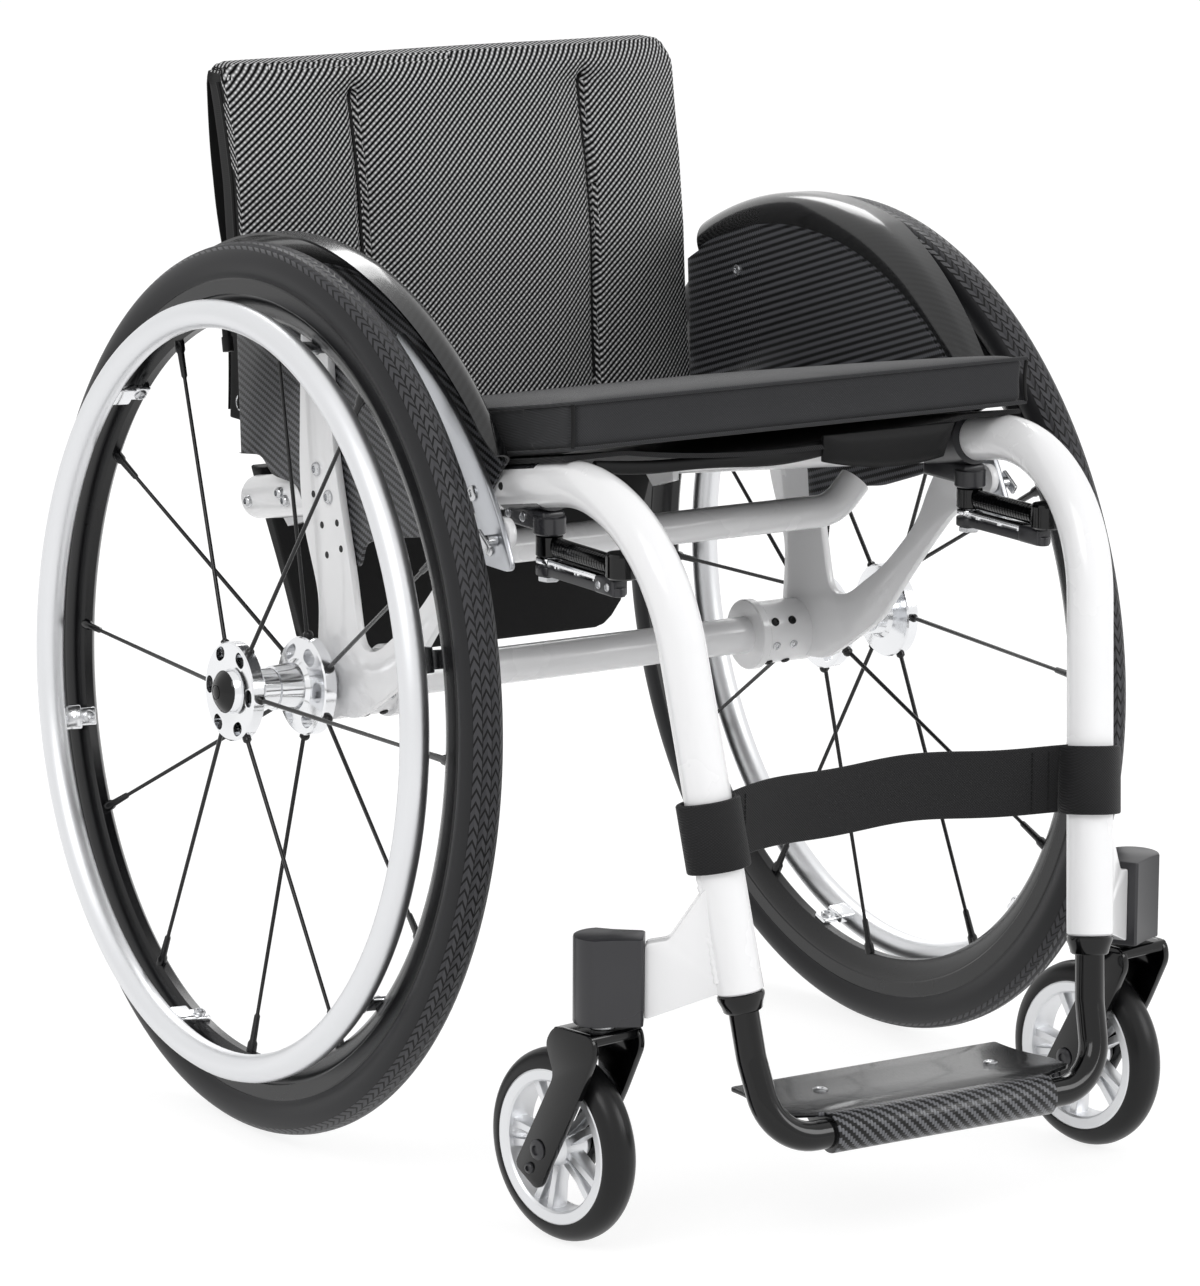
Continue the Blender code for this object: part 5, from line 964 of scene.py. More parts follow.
@dataclass
class SideFrame(SidePart):
    """One side of the chair: bent tube, caster gusset and housing, side plate, stay and guard."""

    bend_radius: float = 0.1038
    leg_end: float = 0.170
    stem: tuple[float, float] = CASTER_STEM
    housing_low: float = 0.149
    housing_high: float = 0.205
    stay_radius: float = 0.268
    lip_radius: float = 0.299
    lip_fillet: float = 0.020
    lip_rear: float = radians(27.0)
    lip_front: float = radians(50.0)
    guard_thickness: float = 0.002
    twill_turn: float = radians(-28.0)
    twill_radius: float = 0.28

    def __post_init__(self) -> None:
        """Finds the level direction from the caster stem to the leg."""
        leg = leg_point(self.sign, (self.housing_low + self.housing_high) / 2)
        self.stem_place = self.at(*self.stem, 0.0)
        self.towards = (Vector((leg.x, leg.y, 0.0)) - self.stem_place).normalized()

    def tube(self) -> None:
        """Seat tube that bends down into the leg, with a plug in its rear end."""
        rear = self.at(FRAME_X, FRAME_REAR_Y, seat_line(FRAME_REAR_Y))
        corner = self.at(FRAME_X, CORNER_Y, CORNER_Z)
        path = rounded([rear, corner, leg_point(self.sign, self.leg_end)], self.bend_radius, 28)
        ahead = (path[1] - path[0]).normalized()
        foot = (path[-1] - path[-2]).normalized()
        path = [path[0], path[0] + ahead * 0.001] + path[1:-1] + [path[-1] - foot * 0.0012, path[-1]]
        radii = [TUBE_RADIUS - 0.001] + [TUBE_RADIUS] * (len(path) - 2) + [TUBE_RADIUS - 0.0012]
        bm = bmesh.new()
        sweep(bm, path, radii, 40)
        self.piece(bm, "seat_tube", WHITE_ENAMEL, "frame_tube")
        bm = bmesh.new()
        rod(bm, rear + ahead * 0.004, rear - ahead * 0.0022, TUBE_RADIUS - 0.0022, 32, 0.0012)
        self.piece(bm, "tube_plug", NYLON)
        # Dark nylon discs in the two open holes on the tube's outer side: painted shade in the holes.
        bm = bmesh.new()
        for y in (-0.205, -0.186):
            spot = self.at(FRAME_X + TUBE_RADIUS - 0.0006, y, seat_line(y) + 0.001)
            rod(bm, spot, spot + self.outward * 0.0009, 0.0026, 16, 0.0002)
        self.piece(bm, "tube_hole_shade", NYLON)

    def gusset(self) -> None:
        """Web between the leg and the caster housing, with its weld beads."""
        tail = self.stem_place + self.towards * 0.0263
        reach = (leg_point(self.sign, self.leg_end) - tail).dot(self.towards)
        top_reach = (leg_point(self.sign, 0.246) - tail).dot(self.towards)
        outline = [(0.0, 0.1522), (0.0, 0.2008), (-reach * 0.25, 0.2035), (-top_reach + 0.012, 0.232),
                   (-top_reach, 0.247), (-reach, 0.176), (-reach * 0.92, 0.1730)]
        across = (-self.towards).cross(Vector((0, 0, 1)))
        place = Matrix((-self.towards, (0, 0, 1), across)).transposed().to_4x4()
        place.translation = tail
        bm = bmesh.new()
        sheet_solid(bm, fillet(outline, 0.003, 3), -0.0066, 0.0132, 0.0012, place)
        for edge in (-1, 1):
            away = across * edge * 0.0072 - self.towards * 0.0128
            line = [leg_point(self.sign, 0.177 + 0.068 * step / 39) + away for step in range(40)]
            ripples = [0.0021 + 0.0004 * sin(step * 1.9) for step in range(40)]
            sweep(bm, line, ripples, 10)
        self.piece(bm, "gusset", WHITE_ENAMEL, "caster_gusset")

    def housing(self) -> None:
        """Teardrop block over the caster's stem."""
        outline = arc((0.0, 0.0), 0.0185, radians(105), radians(255), 28)
        outline += mirrored([(0.006, -0.0148), (0.0245, -0.013), (0.026, -0.0115)])
        across = Vector((0, 0, 1)).cross(self.towards)
        place = Matrix((self.towards, across, (0, 0, 1))).transposed().to_4x4()
        place.translation = self.stem_place
        bm = bmesh.new()
        sheet_solid(bm, outline, self.housing_low, self.housing_high - self.housing_low, 0.0012, place)
        self.piece(bm, "housing", BLACK_BLASTED, "caster_housing", sharp=radians(24))

    def plate(self) -> None:
        """Side plate: two arms round an open gullet, and the clamp barrel of the axle tube."""
        rear = over_seat([(0.038, 0.1058), (0.0405, 0.0182)]) + over_axle([(0.036, 0.1065), (0.0166, 0.0645),
                                                                           (0.0145, 0.0495)])
        barrel = arc((0.0, AXLE_LINE_Z), 0.022, radians(38), radians(-128), 24)
        front = over_axle([(-0.036, -0.0155), (-0.072, 0.0052), (-0.103, 0.0248), (-0.1305, 0.0560),
                           (-0.1467, 0.0735), (-0.163, 0.0905)]) + over_seat([(-0.184, -0.0514)])
        lobe = arc(over_seat([(-0.2205, -0.0290)])[0], 0.0105, radians(-100), radians(-262), 14)
        gullet = over_seat([(-0.172, -0.0137), (-0.157, -0.0325)]) + over_axle(
            [(-0.146, 0.1025), (-0.130, 0.0850), (-0.105, 0.0625), (-0.080, 0.0465), (-0.064, 0.0360),
             (-0.050, 0.0330), (-0.040, 0.0370), (-0.0347, 0.0575), (-0.028, 0.0860)])
        arm = over_seat([(-0.0196, -0.0217), (-0.0066, 0.0257), (0.0, 0.0789)])
        tip = arc(over_seat([(0.0195, 0.1024)])[0], 0.0185, pi, 0.0, 14)[:-1]
        outline = fillet(rear + barrel + front + lobe + gullet + arm + tip, 0.012, 4)
        bm = bmesh.new()
        sheet_solid(bm, outline, PLATE_X, 0.006, 0.0013, side_place(self.sign))
        for inner, outer, radius in ((0.1475, 0.187, 0.0218), (0.1420, 0.1490, 0.0245)):
            rod(bm, self.at(inner, 0.0, AXLE_LINE_Z), self.at(outer, 0.0, AXLE_LINE_Z), radius, 48, 0.0008)
        self.piece(bm, "plate", WHITE_ENAMEL, "side_plate")
        self.plate_screws()

    def plate_screws(self) -> None:
        """Bolts on the side plate, the tube end and the clamp barrel, with dark discs and domes as painted shade in
        the open holes.
        """
        bolts, holes = bmesh.new(), bmesh.new()
        for y, z in ((-0.0005, 0.4203), (0.0155, 0.4367)):
            screw(bolts, self.at(0.1902, y, z), self.outward, 0.0048, 0.0026)
        # Dark nylon discs in the open holes: painted shade.
        for y, z in ((0.0091, 0.3999), (0.0026, 0.3807), (-0.011, 0.4045), (-0.0162, 0.3879), (0.0205, 0.4190)):
            rod(holes, self.at(0.1896, y, z), self.at(0.1903, y, z), 0.0024, 16, 0.0002)
        for y, z in ((0.1258, 0.3965), (0.0824, 0.4090), (0.0741, 0.4050)):
            screw(bolts, self.at(0.1808, y, z), self.outward, 0.0040, 0.0036)
        for turn in (60, 105, 150):
            out = Vector((0.0, -sin(radians(turn)), cos(radians(turn))))
            for x in (0.1545, 0.1685):
                spot = self.at(x, 0, AXLE_LINE_Z) + out * 0.0219
                screw(bolts if turn == 105 else holes, spot, out, 0.0030, 0.0012)
        self.piece(bolts, "plate_bolts", STEEL)
        self.piece(holes, "plate_hole_shade", NYLON)

    def stay(self) -> None:
        """Curved strip outside the guard, with its screws and the wing bolt at its foot."""
        top, foot = radians(21.5), radians(57.0)
        outer = [round_wheel(foot + (top - foot) * i / 20, self.stay_radius) for i in range(21)]
        inner = []
        for index in range(21):
            angle = top + index / 20 * (radians(53.5) - top)
            inner.append(round_wheel(angle, self.stay_radius - 0.024 + (1 - index / 20) * 0.012))
        low = [round_wheel(radians(turn), self.stay_radius - depth)
               for turn, depth in ((59.9, 0.0404), (64.2, 0.0060), (63.8, 0.0006))]
        bm = bmesh.new()
        sheet_solid(bm, fillet(outer + inner + low, 0.005, 3), STAY_X, 0.004, 0.0008, side_place(self.sign))
        self.piece(bm, "stay", GREY_PLATE, "guard_stay")
        bm = bmesh.new()
        for y, z in ((-0.214, 0.422), (-0.193, 0.454)):
            screw(bm, self.at(0.1946, y, z), self.outward, 0.0052, 0.0018)
        spot = self.at(0.1946, -0.222, 0.4285)
        rod(bm, spot, spot + self.outward * 0.008, 0.0040, 20, 0.0006)
        block(bm, (-0.0015, -0.0085, -0.0035), (0.0015, 0.0085, 0.0035), 0.0012,
              Matrix.Translation(spot + self.outward * 0.0095) @ Matrix.Rotation(0.6, 4, "X"))
        self.piece(bm, "stay_screws", STEEL)

    def lip_section(self, across: float, angle: float) -> tuple[float, float]:
        """Outward distance and radius at a share of the lip's width and a place round the wheel.

        Args:
            across: Share of the width, from the flat sheet to the free edge.
            angle: Angle rearwards from straight above the axle.

        Returns:
            Distance outwards from the flat sheet, and radius.
        """
        fade = max(0.0, min(1.0, (-angle - radians(15)) / radians(30)))
        tyre_inner = 0.2424 - TYRE_RADIUS * sin(CAMBER) - 0.014
        full = tyre_inner - GUARD_X - self.guard_thickness / 2 - self.lip_fillet
        bend = self.lip_fillet + (0.010 - self.lip_fillet) * fade
        reach = full + (0.0075 - full) * fade
        share = min(self.lip_rear - angle, self.lip_front + angle) / radians(5)
        reach *= sqrt(max(0.1, 1 - max(0.0, 1 - share) ** 2))
        start = self.lip_radius - self.lip_fillet
        if across < 0.15:
            return 0.0, start - 0.006 * (1 - across / 0.15)
        turn = min(1.0, (across - 0.15) / 0.65) * pi / 2
        extra = max(0.0, across - 0.80) / 0.20
        return bend * (1 - cos(turn)) + reach * extra, start + bend * sin(turn)

    def guard(self) -> None:
        """Carbon guard: a flat sheet that rolls out over the tyre in a lip."""
        radius = self.lip_radius - self.lip_fillet - 0.003
        centre = (0.0, WHEEL_CENTRE.z)
        arch = arc(centre, radius, pi / 2 - asin(FRAME_REAR_Y / radius), pi / 2 + self.lip_front, 60)
        lower = over_seat([(-0.190, -0.0155), (-0.150, -0.0243), (-0.107, -0.0305), (-0.060, -0.0300),
                           (-0.036, -0.0336), (-0.030, -0.0495), (-0.020, -0.0477), (-0.016, -0.0120),
                           (0.010, -0.0143), (0.045, -0.0080), (0.055, 0.0083), (0.0888, 0.0155), (0.104, 0.0297),
                           (FRAME_REAR_Y, 0.0324)])
        bm = bmesh.new()
        sheet_solid(bm, arch + fillet(lower, 0.006, 3), GUARD_X, self.guard_thickness, 0.0005,
                    side_place(self.sign))
        lip = bmesh.new()
        bmesh.ops.create_grid(lip, x_segments=90, y_segments=22, size=0.5)
        for vert in lip.verts:
            angle = self.lip_rear - (vert.co.x + 0.5) * (self.lip_rear + self.lip_front)
            out, reach = self.lip_section(vert.co.y + 0.5, angle)
            vert.co = self.at(GUARD_X + self.guard_thickness / 2 + out, reach * sin(angle),
                              WHEEL_CENTRE.z + reach * cos(angle))
        bmesh.ops.recalc_face_normals(lip, faces=lip.faces)
        bmesh.ops.solidify(lip, geom=lip.faces, thickness=0.0016)
        join(bm, lip)
        piece = self.piece(bm, "guard", CARBON_SIDE, "side_guard")
        piece.data.materials.append(CARBON_LIP.material())
        layer = piece.data.uv_layers.new(name="Cloth")
        lie = Matrix.Rotation(self.twill_turn, 2)
        for face in piece.data.polygons:
            middle = face.center - Vector((0.0, AXLE_Y, WHEEL_CENTRE.z))
            # The rolled lip takes a shaded copy of the laminate: painted shade keeps it black where it bends.
            face.material_index = int(hypot(middle.y, middle.z) > radius + 0.003)
            for loop in face.loop_indices:
                point = piece.data.vertices[piece.data.loops[loop].vertex_index].co
                y, z = point.y - AXLE_Y, point.z - WHEEL_CENTRE.z
                out = max(abs(point.x) - GUARD_X - self.guard_thickness, 0.0)
                rolled = (atan2(y, z) * self.twill_radius, hypot(y, z) + out)
                layer.data[loop].uv = rolled if face.material_index else lie @ Vector((self.sign * y, z))
        bm = bmesh.new()
        screw(bm, self.at(GUARD_X - 0.0002, 0.0736, 0.5347), -self.outward, 0.0042, 0.0015)
        self.piece(bm, "guard_screw", STEEL)

    def build(self) -> None:
        """Builds the side's pieces in order."""
        self.tube()
        self.gusset()
        self.housing()
        self.plate()
        self.stay()
        self.guard()
        dress(self.named("axle_receiver"), STEEL)


@dataclass
class CrossMembers:
    """Axle tube, seat cross tube, footrest tube with its collars, and the footplate."""

    foot_corner: tuple[float, float, float] = (0.1245, -0.4400, 0.0775)
    foot_radius: float = 0.0095
    collar_z: float = 0.1697
    plate_top: float = 0.090
    plate_thickness: float = 0.003
    half_width: float = 0.112
    rear_y: float = -0.357
    sleeve_half: float = 0.084
    sleeve_radius: float = 0.0128
    cross_y: float = -0.115

    def tubes(self) -> None:
        """The level tubes between the sides."""
        bm = bmesh.new()
        rod(bm, (-0.156, 0.0, AXLE_LINE_Z), (0.156, 0.0, AXLE_LINE_Z), 0.0127, 48)
        finish_piece(bm, "axle_crossbar", WHITE_ENAMEL, "frame", ["axle_tube"])
        rise = seat_line(self.cross_y)
        path = rounded([(x, self.cross_y, rise - drop) for x, drop in
                        ((-0.1535, 0.0242), (-0.136, 0.0429), (0.136, 0.0429), (0.1535, 0.0242))], 0.030, 10)
        bm = bmesh.new()
        sweep(bm, path, 0.0111, 32, across=Vector((0, 1, 0)))
        finish_piece(bm, "seat_crossbar", WHITE_ENAMEL, "frame", ["seat_cross_tube"])

    def footrest(self) -> None:
        """Gloss black bent tube with a flared collar at each leg."""
        corner = Vector(self.foot_corner)
        half = [leg_point(1, self.collar_z), leg_point(1, 0.128), corner]
        path = rounded(half + [Vector((-p.x, p.y, p.z)) for p in half[::-1]], 0.034, 14)
        bm = bmesh.new()
        sweep(bm, path, self.foot_radius, 32)
        finish_piece(bm, "footrest_bar", BLACK_ENAMEL, "frame", ["footrest_tube"])
        for side in Side:
            start = leg_point(side.value, self.collar_z)
            down = (start - leg_point(side.value, CORNER_Z)).normalized()
            line = [start + down * run for run in (0.0, 0.0008, 0.0030, 0.0075, 0.0110, 0.0120)]
            bm = bmesh.new()
            sweep(bm, line, [0.0142, 0.0150, 0.0150, 0.0132, 0.0124, 0.0112], 36)
            SidePart(side).piece(bm, "collar", BLACK_ENAMEL, "footrest_collar")

    def footplate(self) -> None:
        """Carbon sheet with a sleeve round the tube, cut back where the casters swing."""
        front, low = self.foot_corner[1:]
        stem_x, stem_y = CASTER_STEM
        swept = CASTER_TRAIL + CASTER_RADIUS + 0.003
        half = []
        for index in range(13):
            y = self.rear_y - (self.rear_y - front - 0.014) * index / 12
            away = sqrt(max(0.0, swept ** 2 - (y - stem_y) ** 2))
            half.append((min(self.half_width, stem_x - away), y))
        half.append((self.sleeve_half, front + 0.004))
        outline = fillet(half + [(-x, y) for x, y in half[::-1]], 0.004, 3)
        bm = bmesh.new()
        sheet_solid(bm, outline, self.plate_top - self.plate_thickness, self.plate_thickness, 0.0007)
        section = arc((front, low), self.sleeve_radius, radians(78), radians(300), 28)
        section += [(front + 0.026, self.plate_top - 0.007), (front + 0.036, self.plate_top - 0.001)]
        sheet_solid(bm, section, -self.sleeve_half, 2 * self.sleeve_half, 0.0008, side_place(1))
        piece = finish_piece(bm, "foot_panel", CARBON_PLATE, "frame", ["footplate"])
        piece.data.materials.append(CARBON_SLEEVE.material())
        layer = piece.data.uv_layers.new(name="Cloth")
        for face in piece.data.polygons:
            spot = face.center
            # Faces rolled round the tube take a lit copy of the laminate, with a brighter painted highlight on its
            # tows.
            rolled = abs(hypot(spot.y - AXLE_Y - front, spot.z - low) - self.sleeve_radius) < 0.001
            face.material_index = int(rolled)
            for loop in face.loop_indices:
                point = piece.data.vertices[piece.data.loops[loop].vertex_index].co
                y, z = point.y - AXLE_Y - front, point.z - low
                layer.data[loop].uv = (point.x, atan2(z, -y) * self.sleeve_radius if rolled else y)
        bm = bmesh.new()
        for x, y in ((-0.0585, -0.393), (0.070, -0.398)):
            screw(bm, (x, y, self.plate_top), Vector((0, 0, 1)), 0.0048, 0.0016)
        finish_piece(bm, "foot_panel_screws", STEEL, "frame")

    def build(self) -> None:
        """Builds the cross members in order."""
        self.tubes()
        self.footrest()
        self.footplate()


@dataclass
class Caster(SidePart):
    """Swivelling fork with a five-spoke wheel, turned a little from straight ahead."""

    yaw: float = radians(9.0)
    trail: float = CASTER_TRAIL
    radius: float = CASTER_RADIUS
    crown_top: float = 0.1455
    inner_half: float = 0.0165
    plate: float = 0.005

    def __post_init__(self) -> None:
        """Places the caster's frame on its stem, and the wheel's in it."""
        self.place = Matrix.Translation(self.at(*CASTER_STEM, 0.0)) @ Matrix.Rotation(self.yaw, 4, "Z")
        self.hub_place = (self.place @ Matrix.Translation((0.0, self.trail, self.radius))
                          @ Matrix.Rotation(pi / 2, 4, "Y"))

    def fork(self) -> None:
        """Crown and two slanting legs, in one machined piece."""
        axle = Vector((self.trail, self.radius))
        lean = (axle - Vector((0.0, self.crown_top - 0.020))).normalized()
        square = Vector((-lean.y, lean.x)) * 0.013
        foot, top = axle + lean * 0.024, axle - lean * 0.052
        low = self.crown_top - 0.012
        outline = fillet([tuple(top + square), tuple(foot + square), tuple(foot - square), tuple(top - square),
                          (-0.017, low), (-0.014, self.crown_top), (0.022, self.crown_top), (0.030, low)], 0.006, 6)
        outer = self.inner_half + self.plate
        bm = bmesh.new()
        for start in (-outer, self.inner_half):
            sheet_solid(bm, outline, start, self.plate, 0.0009, self.place @ side_place(1))
        crown = fillet([(-0.0150, self.crown_top - 0.007), (-0.0135, self.crown_top - 0.0002),
                        (0.0215, self.crown_top - 0.0002), (0.0250, self.crown_top - 0.007)], 0.002, 3)
        sheet_solid(bm, crown, -outer + 0.001, 2 * outer - 0.002, 0.0, self.place @ side_place(1))
        self.piece(bm, "fork", BLACK_ENAMEL, "caster_fork", "caster")
        bm = bmesh.new()
        for end in (-1, 1):
            for run, size in ((0.0, 0.0066), (0.0155, 0.0036)):
                spot = Vector((0.0, *(axle + lean * run)))
                spot.x = end * (outer - 0.0001)
                screw(bm, self.place @ spot, self.place.to_3x3() @ Vector((end, 0, 0)), size, 0.0024)
        rod(bm, self.place @ Vector((-outer, self.trail, self.radius)),
            self.place @ Vector((outer, self.trail, self.radius)), 0.004, 20)
        self.piece(bm, "caster_bolt", BLACK_BLASTED, "caster_axle", "caster")
        dress(self.named("caster_stem"), STEEL)

    def wheel(self) -> None:
        """Solid tyre and a polished rim with five split spokes."""
        r = self.radius
        half = [(r, 0.0), (r - 0.0008, 0.0045), (r - 0.0036, 0.0088), (r - 0.0078, 0.0112),
                (r - 0.0118, 0.0118), (r - 0.0124, 0.0108)]
        bm = bmesh.new()
        spin_ring(bm, mirrored(smooth_line(half, 3)), 96, self.hub_place)
        self.piece(bm, "caster_tread", CASTER_RUBBER, "caster_tyre", "caster_wheel")
        outer = r - 0.0122
        half = [(outer, 0.0112), (outer - 0.0012, 0.0118), (outer - 0.0070, 0.0108), (outer - 0.0082, 0.0096),
                (outer - 0.0074, 0.0030)]
        bm = bmesh.new()
        spin_ring(bm, mirrored(half), 96, self.hub_place)
        core = [(0.0045, 0.0155), (0.0085, 0.0155), (0.0098, 0.0142), (0.0130, 0.0085)]
        spin_ring(bm, mirrored(core), 48, self.hub_place)
        for index in range(5):
            turn = Matrix.Rotation(2 * pi * index / 5 + 0.3, 4, "Z")
            for edge in (-1, 1):
                path = [Vector((0.0105, edge * 0.0030, 0.0)), Vector((0.0260, edge * 0.0040, 0.0)),
                        Vector((outer - 0.0060, edge * 0.0068, 0.0))]
                section = mirrored([(0.0022, 0.0058), (0.0026, 0.0050)])
                section += [(-u, -v) for u, v in section]
                sweep(bm, [self.hub_place @ turn @ point for point in path], [1.0, 0.92, 1.1], section=section,
                      across=(self.hub_place @ turn).to_3x3() @ Vector((0, 1, 0)))
        self.piece(bm, "caster_rim_set", SATIN_SILVER, "caster_rim", "caster_wheel", radians(28))

    def build(self) -> None:
        """Builds the caster's pieces in order."""
        self.fork()
        self.wheel()


def inflate(bm: BMesh, voxel: float, cap: float, base: float) -> BMesh:
    """Swells a closed form as stuffed cloth, without gravity, and smooths it once.

    Args:
        bm: Closed form; it is freed.
        voxel: Size of the remeshed cells.
        cap: Most that a point may move.
        base: Least height along Z over which a point may sink.
    """
    mesh = bpy.data.meshes.new("swell")
    bm.to_mesh(mesh)
    bm.free()
    pad = bpy.data.objects.new("swell", mesh)
    bpy.context.scene.collection.objects.link(pad)
    cells = pad.modifiers.new("cells", "REMESH")
    cells.mode = "VOXEL"
    cells.voxel_size = voxel
    even = settled(pad)
    pad.modifiers.clear()
    even.to_mesh(mesh)
    even.free()
    start = [vert.co.copy() for vert in mesh.vertices]
    cloth = pad.modifiers.new("cloth", "CLOTH")
    cloth.settings.use_pressure = True
    cloth.settings.uniform_pressure_force = 4.0
    cloth.settings.effector_weights.gravity = 0.0
    cloth.settings.quality = 5
    for step in range(1, 21):
        bpy.context.scene.frame_set(step)
    swollen = settled(pad)
    pad.modifiers.clear()
    bpy.context.scene.frame_set(1)
    for vert, origin in zip(swollen.verts, start):
        move = vert.co - origin
        if move.length > cap:
            move *= cap / move.length
        if origin.z < base + voxel:
            move.z = max(move.z, 0.0)
        vert.co = origin + move
    for _ in range(2):
        bmesh.ops.smooth_vert(swollen, verts=swollen.verts, factor=0.5, use_axis_x=True, use_axis_y=True,
                              use_axis_z=True)
    bmesh.ops.subdivide_edges(swollen, edges=swollen.edges, cuts=1, use_grid_fill=True, smooth=0.6)
    bpy.data.objects.remove(pad)
    return swollen


def grid_block(counts: tuple[int, int, int]) -> BMesh:
    """Makes a box from -0.5 to 0.5, cut into a grid along each direction.

    Args:
        counts: Cells along X, Y and Z.

    Returns:
        The box.
    """
    bm = bmesh.new()
    bmesh.ops.create_cube(bm, size=1.0)
    for axis, count in enumerate(counts):
        normal = Vector((0, 0, 0))
        normal[axis] = 1.0
        for step in range(1, count):
            spot = normal * (step / count - 0.5)
            bmesh.ops.bisect_plane(bm, geom=bm.verts[:] + bm.edges[:] + bm.faces[:], plane_co=spot,
                                   plane_no=normal)
    return bm


def bevel_rims(bm: BMesh, width: float, segments: int) -> None:
    """Rounds the edges of a solid that turn by more than 50 degrees.

    Args:
        bm: The solid.
        width: Width of the rounding.
        segments: Facets across it.
    """
    rims = [edge for edge in bm.edges if len(edge.link_faces) == 2 and edge.calc_face_angle() > radians(50)]
    bmesh.ops.bevel(bm, geom=rims, offset=width, segments=segments, profile=0.5, affect="EDGES", material=-1,
                    clamp_overlap=True)


def stitches(bm: BMesh, start: Vector, end: Vector, out: Vector) -> None:
    """Lays thread stitches along a line, each a short round bar sunk in the cloth.

    Args:
        bm: Mesh that gets the thread.
        start: First end of the line.
        end: Its other end.
        out: Direction out of the cloth.
    """
    pitch, length, lift = 0.0036, 0.0024, 0.0001
    ahead = (end - start).normalized()
    due = 0.0
    while due < (end - start).length:
        spot = start + ahead * due + out * lift
        rod(bm, spot - ahead * length / 2, spot + ahead * length / 2, 0.0004, 6)
        due += pitch


